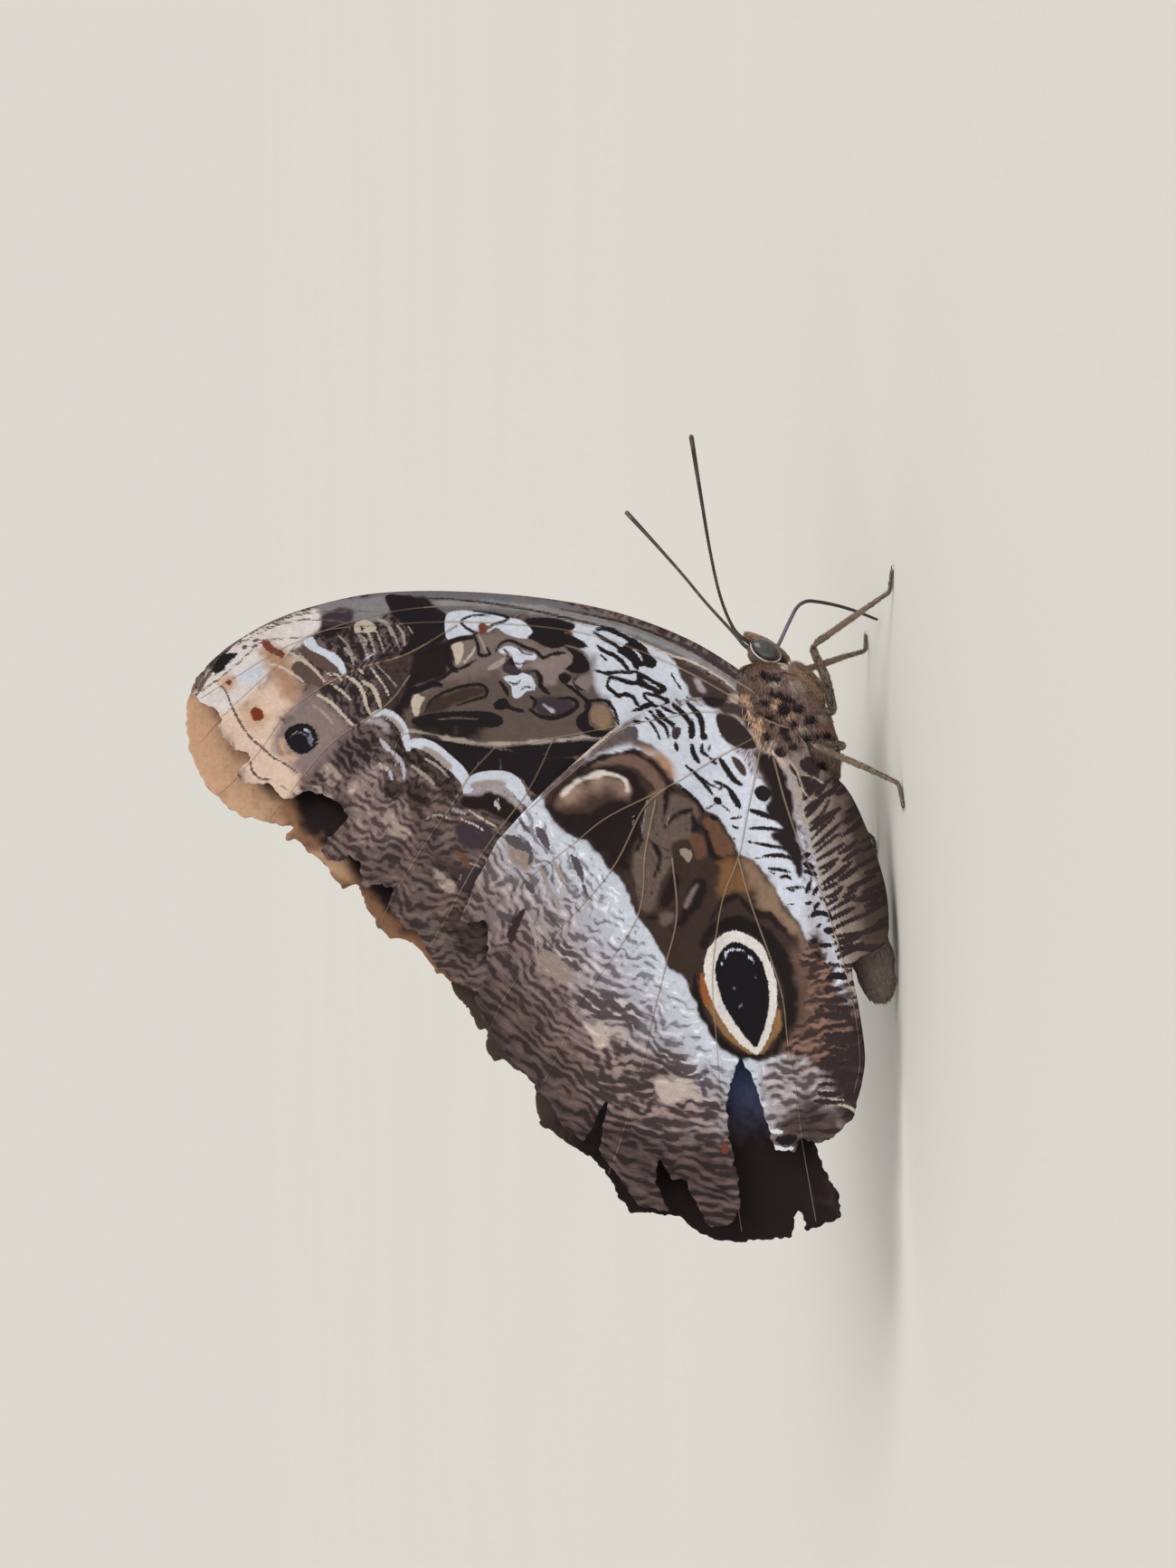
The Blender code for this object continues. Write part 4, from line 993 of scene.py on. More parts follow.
HINDWING_MARKS = marks(
    (Ink.DARK_GREY, (0, (-6.9, 53), (-7.2, 51.5), (-8.4, 50.2), (-9.2, 49.5), (-9.2, 50.8), (-8.5, 52.2),
      (-7.8, 53)),
     (0.5, (-4.8, 51.2), (-5.8, 50.5), (-6.6, 49.8)),
     (0, (-6, 48.9), (-6.1, 48), (-7.4, 47.2), (-9.2, 47), (-8.2, 48), (-7, 48.8)),
     (0.6, (-7.8, 50.2), (-9.8, 49.5), (-11, 49.8)),
     (0, (-9.6, 44.1), (-10.4, 43), (-11.8, 42.4), (-13.5, 42.4), (-12.4, 43.2), (-10.9, 43.9)),
     (0.45, (-13.5, 42.5), (-15.4, 41.8))),
    (Ink.GREY, (0.6, (-10.4, 46.5), (-12, 45.8), (-13.8, 44.9)),
     (0.6, (-11.5, 48.2), (-13.5, 47.4), (-15.5, 46.5))),
    (Ink.DARK_GREY, (0, (-13.2, 50.5), (-13.9, 49.2), (-15, 49), (-14.6, 50))),
    (Ink.GREY, (0.7, (-14.9, 46.8), (-16.1, 46), (-17.1, 45.8))),
    (Ink.DARK_GREY, (0.6, (-17.4, 47.4), (-18.6, 46.5), (-19.4, 45.8)),
     (0, (-17.1, 54.4), (-17.6, 53), (-18, 51.6), (-19, 51.5), (-18.8, 53), (-18.1, 54))),
    (Ink.DARK_BROWN_INK, (0, (-17.5, 51.1), (-16.8, 50.1), (-18.5, 50.8), (-20.5, 51.5), (-21.9, 52.1),
      (-20.5, 52.8), (-19, 52))),
    (Ink.GREY, (0.5, (-19, 49.8), (-20.5, 49), (-22, 48.8)),
     (0.5, (-19.2, 48), (-21, 47.2))),
    (Ink.CREAM, (0.45, (-0.8, 48), (1.8, 45.5), (3.5, 43), (5.5, 40.5), (7.9, 37.6)),
     (0.5, (-7, 54.9), (-4.9, 53), (-2.8, 50.8), (-0.8, 48.2))),
    (Ink.DARK_GREY, (0, (7.5, 36.8), (8.1, 35.5), (7.5, 34.8), (6, 35), (6.5, 35.8), (6.2, 36.5)),
     (0.6, (6.8, 37.6), (6, 37.1)),
     (0.6, (6.1, 39), (5.2, 38.4))),
    (Ink.BLACK, (0.3, (-5.9, 54), (-5.8, 53.6)),
     (0.3, (-4.9, 52.9), (-4.6, 52.5)),
     (0.3, (-3.8, 51.6), (-3.5, 51.4)),
     (0.3, (-2.5, 50.4), (-2.2, 50)),
     (0.5, (8.6, 35.5), (8.6, 34.4)),
     (0.42, (9.4, 33.9), (8.2, 32.8), (6.8, 32), (6.1, 31.8)),
     (0.55, (10.4, 33.5), (8.8, 32), (7.9, 31), (6.4, 30.6)),
     (0, (10.5, 32.5), (9.9, 31.4), (8.9, 30.5), (8.4, 29.5), (7.8, 29.9), (8.5, 30.9), (9.2, 31.9)),
     (0.5, (10.9, 31.8), (10.1, 30.5), (9.8, 29.5)),
     (0.9, (12.2, 25.8), (11, 24.2))),
    (Ink.PURPLE, (0, (7.5, 30.1), (8, 29.2), (7.5, 28.8), (6.4, 29.2), (6.1, 29.9))),
    (Ink.BLACK, (0.8, (11, 30), (9.6, 28.4), (8.2, 27.5)),
     (0, (9.1, 27.6), (8.5, 27), (6.8, 26.9), (6.1, 27.5), (7.2, 27.9)),
     (0.85, (11.2, 27.9), (9.2, 26.2), (6.8, 25.8)),
     (0, (7.2, 26.2), (6.8, 25.2), (6.2, 25.1), (6.1, 26.1))),
    (Ink.BLACK_BROWN_INK, (0, (9.4, 24), (9.8, 22.5), (8.6, 20.8), (7.2, 19.5), (5.2, 18.4), (4.8, 19.8),
      (5.1, 21.2), (5.8, 22.5), (7.2, 23.5))),
    (Ink.BLACK, (0.6, (5.6, 29.6), (4.6, 29.4)),
     (0.75, (5.5, 27.4), (4.1, 27.1), (3, 26.4)),
     (0.55, (5.5, 25.9), (4.5, 26), (3.8, 25.1)),
     (0.4, (5.4, 24.9), (4.5, 25)),
     (0.7, (3.5, 24.8), (2.8, 24.1)),
     (0.85, (3.5, 23.5), (2, 22.6), (0.6, 21.6), (-0.1, 20.6)),
     (0.95, (-0.8, 22.2), (-2, 21.5), (-3.2, 20.8))),
    (Ink.OLIVE_DARK, (0, (3.8, 22), (3.5, 21), (2.2, 20), (1, 20), (1.8, 21))),
    (Ink.BLACK, (0.55, (2.5, 28.2), (1.5, 27), (0.2, 25.8), (-1.5, 24.5)),
     (0.4, (1.2, 26.5), (0, 25), (-0.5, 23.8)),
     (0.5, (0.4, 24.4), (-0.2, 23), (-1, 21.8)),
     (0.35, (0, 23), (-0.9, 23.6)),
     (1, (-2, 24.2), (-2.6, 23.5)),
     (0.25, (-2.8, 23.4), (-3.8, 22.2)),
     (0.3, (-3.4, 25.4), (-2.8, 24.2)),
     (0.5, (0.1, 29.4), (-1.2, 28), (-2.5, 26.6), (-3.9, 25.8)),
     (0.7, (-4.4, 24.8), (-4.9, 24.1)),
     (0.38, (-4.8, 22.1), (-4.5, 20.5)),
     (0.4, (-5.8, 21.9), (-6.1, 21)),
     (0.25, (-7.5, 22.2), (-7.5, 21.4)),
     (0, (-1, 18.9), (-0.2, 18), (-0.4, 17), (-1.4, 16.5), (-2.4, 17.2), (-2.2, 18.2)),
     (0.8, (-3.6, 19.4), (-4.1, 17.8), (-4.8, 16)),
     (0.55, (-6.1, 19.5), (-6.1, 17.2), (-6.5, 14.5)),
     (0.5, (-8.1, 18.8), (-8.5, 16.8), (-8.9, 14)),
     (0.28, (-7.8, 19.9), (-8.1, 19.1)),
     (0.6, (-9.9, 17.6), (-9.8, 15.2), (-10.5, 13)),
     (0.5, (-11.6, 17), (-11.8, 15.2), (-12.1, 14)),
     (0.5, (-12.9, 15.4), (-12.6, 14.6), (-13, 13.9)),
     (0.4, (-14.4, 15), (-14.2, 13.5), (-14.1, 12)),
     (0.5, (-14.6, 14), (-14.5, 13.4)),
     (0.18, (-10.2, 18.8), (-10.2, 17.8)),
     (0.2, (-12.1, 16.8), (-12.4, 16)),
     (0.18, (-16.5, 14.4), (-16.5, 13.5))),
    (Ink.DARK_BROWN_INK, (0, (7.8, 17.9), (7.9, 16.8), (7.1, 16), (6.2, 16.5), (6.5, 17.5)),
     (0, (5.2, 16.2), (5.5, 15.2), (4.5, 14.2), (3.6, 14.8), (4, 15.9)),
     (0, (3.2, 12.5), (3.8, 11), (2.6, 9.6), (1.4, 10), (1.5, 11.5), (2.1, 12.4)),
     (0, (0.8, 13), (1.1, 12), (0.2, 11), (-0.6, 11.5), (-0.4, 12.5)),
     (0.6, (0.5, 10.5), (-0.8, 9.5)),
     (0.5, (2.5, 13.9), (1.2, 13))),
    (Ink.CREAM, (0.25, (3.5, 14.2), (1.8, 13), (-1, 12), (-2.2, 11)),
     (0.22, (1.2, 12), (1, 10.8), (0, 9.2))),
    (Ink.BLACK, (0.8, (-9.9, 12.2), (-9.6, 11.4)),
     (0.9, (-10.9, 12.1), (-11.4, 10.9)),
     (0.7, (-11.9, 12.1), (-12.4, 10.5)),
     (0.6, (-13.2, 11.2), (-14.9, 11.8)),
     (0.5, (-14, 10.2), (-15.2, 10.9)),
     (0.4, (-15.5, 10.1), (-15.9, 9.2)),
     (0.5, (-16.4, 12), (-16.2, 11.1)),
     (0.6, (-16.2, 10.1), (-17.1, 10.8)),
     (0.75, (-18.2, 11.5), (-17.6, 10.2), (-18, 8.6)),
     (0.5, (-19.6, 10.5), (-19.1, 9.9)),
     (1, (-20, 9.4), (-20, 8.2)),
     (0.55, (-21.4, 11.4), (-21.5, 10.4)),
     (0.7, (-22, 10), (-22, 8.4)),
     (0.45, (-23, 10.8), (-23.6, 10)),
     (0.4, (-22.9, 8), (-22.6, 7.4))),
    (Ink.DARK_BROWN_INK, (0.5, (-24.5, 9.5), (-24.8, 7))),
    (Ink.BLACK, (0.95, (-26.4, 9.1), (-26.1, 7.8), (-26.4, 6.5))),
    (Ink.DARK_BROWN_INK, (0.8, (-28.5, 9.5), (-27.9, 8.5), (-28, 7.4)),
     (0.6, (-30.2, 10.2), (-30.1, 8.5)),
     (0.9, (-31.5, 7.8), (-31.9, 5.8)),
     (1, (-34.9, 7), (-34.6, 4.8)),
     (1.2, (-36.8, 7.8), (-36.5, 4.2)),
     (1, (-37.8, 9.9), (-38.2, 7.8)),
     (1.4, (-39.5, 8.2), (-39.8, 5.5)),
     (0.9, (-41.8, 7), (-42.1, 4.5))),
    (Ink.CREAM, (0.5, (-43.5, 7.8), (-43.9, 6.2), (-44.8, 4.9)),
     (0.35, (-42.8, 8.8), (-42.8, 7))),
    (Ink.BLACK, (0, (-47.9, 16.5), (-47.5, 15.2), (-47.4, 13.8), (-48.1, 13.5), (-48.9, 14.8),
      (-48.6, 16))),
    (Ink.WHITE, (0.7, (-49, 16.6), (-49.5, 15.2), (-49.2, 14)),
     (0.5, (-47, 17), (-47.1, 15.5))),
    (Ink.PINK_SPOT, (0, (-9, 29.2), (-8.8, 28.5), (-9.2, 27.6), (-10, 27.4), (-10.8, 28), (-10.2, 28.5),
      (-9.8, 28.9))),
    (Ink.GREY, (0.16, (-4.2, 35.5), (-5.8, 35.5)),
     (0.16, (-1.8, 33.5), (-4.2, 33.9), (-6.8, 34.4)),
     (0.15, (-4.2, 30.5), (-5.8, 31))),
    (Ink.RING, (0, (-20.1, 22.2), (-20.2, 21), (-20.9, 19.4), (-22, 18), (-23.8, 17.1), (-25.5, 16.4),
      (-27.6, 16), (-30, 16), (-32.1, 16.4), (-34, 17), (-35.6, 17.8), (-36.8, 18.8), (-36.2, 19.8),
      (-35.4, 21), (-34, 22.2), (-32.1, 23.5), (-30.2, 24.6), (-28.5, 25.2), (-26.6, 25.8), (-24.8, 25.9),
      (-22.9, 25.5), (-21.5, 24.5), (-20.6, 23.4))),
    (Ink.PUPIL, (0, (-21.6, 21.8), (-21.9, 20.5), (-22.9, 19), (-24.2, 18), (-26.1, 17.4), (-28.2, 17),
      (-30.5, 17.1), (-32.9, 17.6), (-34.5, 18.2), (-35.8, 18.9), (-35.1, 19.8), (-33.9, 20.8), (-32.1, 22),
      (-30.5, 23), (-29.1, 23.6), (-27.2, 24.1), (-25.4, 24.4), (-23.6, 24), (-22.2, 23))),
    (Ink.GLINT, (0.3, (-23.9, 23.1), (-23, 22.8), (-22.6, 21.8), (-22.8, 20.4)),
     (0.35, (-23.5, 19.8), (-23.9, 19.4)),
     (0.3, (-24.1, 19.2), (-24.5, 19.1)),
     (0.25, (-24.4, 23.4), (-24.8, 23.4))),
    (Ink.GLINT_DIM, (0.3, (-27.8, 21.9), (-27.9, 21.6)),
     (0.4, (-30.4, 21.2), (-30.1, 20.8)),
     (0.2, (-26.2, 19), (-26.5, 18.8)),
     (0.2, (-24.2, 21.5), (-24.4, 21.4)),
     (0.18, (-24.8, 20.2), (-24.6, 20.1))),
    (Ink.RUST, (0, (-48.8, 23.8), (-48.6, 22.9), (-49.8, 22.8), (-49.8, 23.6))),
)
FOREWING_GROUNDS = washes(
    (Ink.COSTA, (0.36, 0, 0, (26.5, 70.5), (27, 60.5), (25.5, 48), (23.2, 38), (20.4, 30.5), (16.5, 23),
      (13.6, 19), (11.8, 19.8), (14.2, 23), (16.5, 26.8), (18.5, 31.8), (20.4, 36.8), (22, 43),
      (23.5, 50.5), (24.2, 60.5), (23.8, 70.5))),
    (Ink.COSTA_PALE, (0.21, 1, 0, (25.1, 64.2), (25.2, 58), (24.2, 48), (22, 38), (19.2, 30.5),
      (15.8, 24.2), (12.8, 20.2))),
    (Ink.DARK_BROWN, (0.3, 0, 0, (17.8, 29.9), (16.6, 27.5), (15.2, 25.2), (13.8, 23), (12, 21.2),
      (11.2, 22.5), (11.6, 24.9), (11.9, 27), (13, 28.2), (14.8, 29))),
    (Ink.DUST, (0.24, 0, 0, (14.5, 27), (14.2, 26), (13, 25.2), (12.8, 26.2))),
    (Ink.PINKISH, (0.36, 0, 0, (12.2, 22), (11.8, 18.5), (8.2, 17.8), (6, 17.8), (6, 19.2), (8.8, 20.8))),
    (Ink.SNOW, (0.18, 0, 0, (22, 43.8), (22, 40.5), (20.8, 36.8), (19.5, 33.6), (18.5, 31.5), (17.2, 29.8),
      (15.8, 29.1), (14.2, 28.5), (12.6, 27.6), (11.4, 26.6), (10.2, 24.8), (8.5, 23.4), (5.8, 23),
      (5.5, 31.1), (7.5, 37.2), (9.2, 38), (11, 39), (12.2, 40.5), (13.8, 41.2), (15.8, 41.5), (18, 42),
      (19.2, 43))),
    (Ink.OLIVE_BROWN, (1, 0, 0, (15.1, 60.5), (16.4, 53), (17.6, 48), (18, 42), (15.1, 41.1), (11, 39),
      (7.6, 37.5), (6.8, 40.5), (6, 48), (5.2, 55.5), (6, 60.5), (7, 66.1), (9.5, 66.8), (13.2, 64.2))),
    (Ink.DISC_TAUPE, (1, 0, 0, (18, 66.8), (19.2, 64.2), (20.8, 59.9), (20.8, 53), (19.2, 48), (18.8, 43),
      (17, 43), (15.8, 48), (16, 53), (15.1, 58), (13.6, 63), (12.6, 66.1))),
    (Ink.MAUVE, (0.36, 0, 0, (16.4, 50.1), (17.2, 48), (18, 45.5), (17.5, 44), (16, 44), (15.4, 45.8),
      (13.8, 46.2), (13.8, 48), (15.1, 48.4), (16, 49.2))),
    (Ink.DISC_TAUPE, (0.36, 0, 0, (16.4, 53.5), (16.6, 51.8), (15.1, 50.5), (14.5, 52.2), (14.8, 54))),
    (Ink.TAUPE, (0.3, 0, 0, (13.9, 45), (14.8, 43), (15, 41.2), (12.8, 41.5), (13, 43))),
    (Ink.PURPLE, (0.24, 0, 0, (11.8, 49.2), (12.2, 47.2), (11.8, 45.2), (11, 43.5), (10, 43.8), (9.4, 46.5),
      (9.8, 48.8))),
    (Ink.LILAC, (0.15, 0.25, 0, (11.2, 48), (10.6, 47.5), (10.1, 46.6))),
    (Ink.BLACK_BROWN, (1.2, 0, 0, (8.6, 65.2), (9.5, 63.2), (9.2, 59.9), (8.5, 56.5), (6.5, 56.8),
      (6, 59.9), (6, 63.2), (7, 65))),
    (Ink.DISC, (0.18, 0, 0, (10.1, 64), (11.2, 63.5), (12.4, 61.8), (13.1, 59.2), (13.4, 56.5), (12.5, 56),
      (11.8, 58), (11.1, 59.9), (10.2, 62))),
    (Ink.OLIVE_SPOT, (0.3, 0, 0, (8.8, 40.5), (9.5, 39.5), (9.5, 38.6), (8.5, 38.2), (7.9, 39), (8, 40.2))),
    (Ink.TAN, (0.24, 0, 0, (10.5, 41.1), (10.9, 39.9), (10.1, 38.8), (9, 38.4), (8.6, 39.5), (8.6, 40.9))),
    (Ink.PALE_FOLD, (0.15, 0.35, 0, (7.4, 66.8), (6.9, 63.6), (6.2, 60.5), (5.5, 55.5), (5.9, 48),
      (6.5, 40.5), (5.8, 35.5), (5.9, 28), (5.9, 23.6))),
    (Ink.APEX_CELL, (0.3, 0, 0.62, (22, 79.5), (23.2, 78), (22.8, 74.2), (23.8, 69.5), (26.2, 67.6),
      (25.8, 64.2), (22.8, 61.5), (19.8, 61.6), (19, 64.5), (17.8, 67.4), (16.1, 73), (15.2, 74.8),
      (17, 75.8), (18.5, 77.4), (19.2, 79), (20.8, 79.8))),
    (Ink.BLACK_BROWN, (0.3, 0, 0, (23.8, 79), (24.2, 76.5), (23.2, 74.5), (21, 75.5), (20, 77.2),
      (20.8, 79)),
     (0.3, 0, 0, (24.8, 70), (26.2, 67.6), (25.8, 64.2), (22.8, 61.5), (19.8, 61.6), (19, 64.5),
      (18.5, 66.5), (21, 66.5), (22.8, 68)),
     (0.36, 0, 0, (18, 70.8), (18.2, 67), (19.2, 64.2), (20.5, 60.5), (19.2, 59.8), (15.1, 61.5),
      (13.5, 65.2), (10.8, 66.5), (8.9, 68), (10.2, 70), (13.2, 70.5))),
    (Ink.COSTA_GREY, (0.3, 0, 0, (24.9, 79), (25.8, 74.2), (26.1, 69.5), (24.8, 69.2), (23, 70.5),
      (22.5, 73), (22.8, 76.5), (22.5, 79.2))),
    (Ink.PURPLE, (0.24, 0, 0, (24, 78), (24.4, 75), (23.2, 74.2), (22, 75), (21.8, 77.8), (22.5, 79))),
    (Ink.APEX_CELL, (0.36, 0, 0.6, (12.5, 79.2), (15.2, 74.9), (17.2, 70.5), (18, 66.5), (15.1, 66.8),
      (11.4, 68.5), (9.2, 71.5), (7.2, 74.5), (9, 76.8))),
    (Ink.DARK_BROWN, (0.8, 0, 0.3, (16.4, 70), (18, 66.5), (15.1, 66.8), (11.4, 68.2), (9.5, 70.5),
      (12, 71.2))),
    (Ink.DUST, (0.3, 1.2, 0.3, (8.6, 72.5), (8.6, 70.8), (7.5, 69.2), (6, 68.2), (4.2, 67.9)),
     (0.3, 1.4, 0.3, (4, 67.2), (4.1, 65.5), (3.1, 63.8), (1.6, 62), (0.1, 60.5), (-1.4, 59.5)),
     (0.3, 1.5, 0.3, (-2.4, 59), (-1.2, 57.5), (-0.9, 55.5), (-1, 53.5), (-2.4, 52), (-3.8, 51.2))),
    (Ink.APEX_CELL, (0.8, 0, 0.62, (6.2, 75), (8.2, 73), (6.8, 71), (3.5, 70.5), (1.2, 72), (1.8, 74.5),
      (3.5, 76.2))),
    (Ink.MAUVE, (1.4, 0, 0.5, (2, 72.8), (2.5, 69.2), (-0.2, 66.8), (-4.2, 66.5), (-8, 69.2), (-8, 73),
      (-4.2, 74.2))),
    (Ink.OLIVE_DARK, (0.36, 0, 0.5, (-0.2, 69.6), (0.6, 68.2), (0, 66.9), (-1.6, 67), (-2.2, 68.4),
      (-1.5, 69.5)),
     (0.3, 0, 0.5, (0.6, 66.8), (0.1, 65.1), (-1.2, 64), (-2.9, 64.1), (-3.4, 65.5), (-2.2, 66.6)),
     (0.7, 0, 0.55, (8.5, 68.5), (7.5, 67.2), (5.5, 66.5), (4.8, 64.2), (3, 61.8), (1, 59.9), (-1.8, 59),
      (-2.2, 60.5), (-0.2, 62.2), (1.8, 65.2), (3, 68), (5.8, 69.2))),
    (Ink.PURPLE, (0.36, 0, 0.2, (-5.5, 60.1), (-4.8, 58), (-5.6, 55.4), (-7.8, 54.8), (-9.1, 56.1),
      (-8.8, 58.2), (-7.5, 59.6)),
     (0.3, 0, 0.2, (-12, 60.5), (-11.2, 58.5), (-11.6, 56.4), (-13.8, 56.9), (-15.1, 58), (-14.1, 59.5))),
    (Ink.BLACK_BROWN, (0.24, 0, 0, (-2, 59.5), (-1.5, 56.8), (-1.2, 54.5), (-2.2, 52.8), (-4.2, 50.9),
      (-5.8, 52), (-4.6, 54), (-3.6, 56.4), (-3.4, 59))),
    (Ink.DARK_BROWN, (0.8, 0, 0.3, (-9, 63.2), (-9.8, 61.2), (-11.8, 59.2), (-13.5, 59.8), (-12, 61.2),
      (-11, 63)),
     (0.9, 0, 0.5, (-18, 60.5), (-19, 58), (-18.2, 54.2), (-20.5, 51.1), (-23.2, 53), (-23, 58),
      (-20.5, 61))),
    (Ink.RUST_BROWN, (0.3, 0.8, 0.3, (-9, 59.8), (-10.4, 58.8), (-11.5, 58))),
    (Ink.PALE_LOBE, (0.15, 0, 0.4, (2, 78.4), (2.8, 77.5), (2.2, 76.4), (1.1, 75.6), (0.2, 76.2),
      (-0.2, 77), (0.5, 77.8)),
     (0.15, 0, 0.4, (0.2, 75), (0.9, 74.2), (0.4, 73.2), (-0.5, 72.9), (-1.2, 73.8), (-0.9, 74.5)),
     (0.15, 0, 0.4, (-0.9, 79.8), (-0.1, 78.9), (-0.9, 77.8), (-1.8, 76.8), (-2, 78), (-1.5, 79)),
     (0.15, 0, 0.4, (-4.1, 70.1), (-3.5, 69.2), (-4.5, 68.2), (-5.6, 67.5), (-6.8, 66.1), (-7.6, 66.8),
      (-7.1, 68.2), (-6.5, 69.2), (-5.4, 69.8)),
     (0.18, 0, 0.4, (-11.5, 63), (-11.9, 61.8), (-12.9, 60.6), (-14, 60), (-14.8, 60.8), (-14.1, 61.8),
      (-13, 62.5)),
     (0.24, 0, 0.5, (-15.1, 57.5), (-13.8, 56.5), (-14, 55), (-15.5, 53.9), (-17.1, 54.6), (-17.6, 56),
      (-16.8, 57)),
     (0.24, 0, 0.45, (-24.6, 48), (-24.1, 46.5), (-25.2, 44.8), (-26.8, 43.5), (-27.8, 44), (-27.1, 45.8),
      (-26.1, 47.2))),
    (Ink.WHITE_APEX, (0.3, 0, 0, (11.8, 96), (14.8, 94.5), (17.2, 92.5), (20, 90.2), (22.4, 85.5),
      (24.4, 79.8), (22.5, 78.9), (20.8, 79.6), (19.2, 81.5), (18, 83.2), (15.2, 85.5), (11.2, 89),
      (9.2, 91.8), (10.2, 94))),
    (Ink.PINK_APEX, (1.5, 0, 0, (8.8, 93.5), (10.5, 90.2), (15.5, 85.5), (17.8, 82.8), (16, 81), (13, 82.2),
      (11.2, 81.6), (9.2, 83.2), (5.5, 84.1), (2.5, 82.2), (-0.2, 81.2), (-2.2, 83.2), (-0.8, 85.8),
      (0, 88.5), (3.8, 90.8), (6.8, 92.2))),
    (Ink.SNOW, (1.2, 0, 0, (15.1, 90.2), (16.4, 88), (15.5, 86.5), (14.2, 87.5), (13.8, 89.5))),
    (Ink.ORANGE_TAN, (1, 0, 0, (19.2, 87), (19.2, 85), (16.5, 82.8), (14.2, 81.6), (11.8, 82.2),
      (12.8, 84.1), (14.9, 85.6), (17, 86.2))),
    (Ink.MAUVE, (1, 0, 0, (11.2, 81.6), (12.8, 79.8), (8, 74.8), (6.6, 75.4), (2.5, 79.2), (1, 81.8),
      (3.5, 83.8), (4.8, 85), (8.2, 84))),
    (Ink.PINK_APEX, (0.8, 0, 0, (4.2, 85.5), (2.5, 82.8), (1.2, 81.2), (-1.2, 81.8), (-2.2, 83.5),
      (-0.2, 85.8))),
    (Ink.PALE_ORANGE, (0.36, 0, 0, (14.5, 92.5), (15.1, 91.2), (14.2, 90.2), (13, 90.8), (13, 92.2)),
     (0.8, 0, 0, (10.5, 89), (11.1, 87.5), (9.8, 85.9), (8, 86.2), (7.5, 88), (8.8, 89.2)),
     (0.7, 0, 0, (5.8, 84), (4.2, 82.8), (3.5, 81.8), (3, 82.8), (4.2, 84))),
)
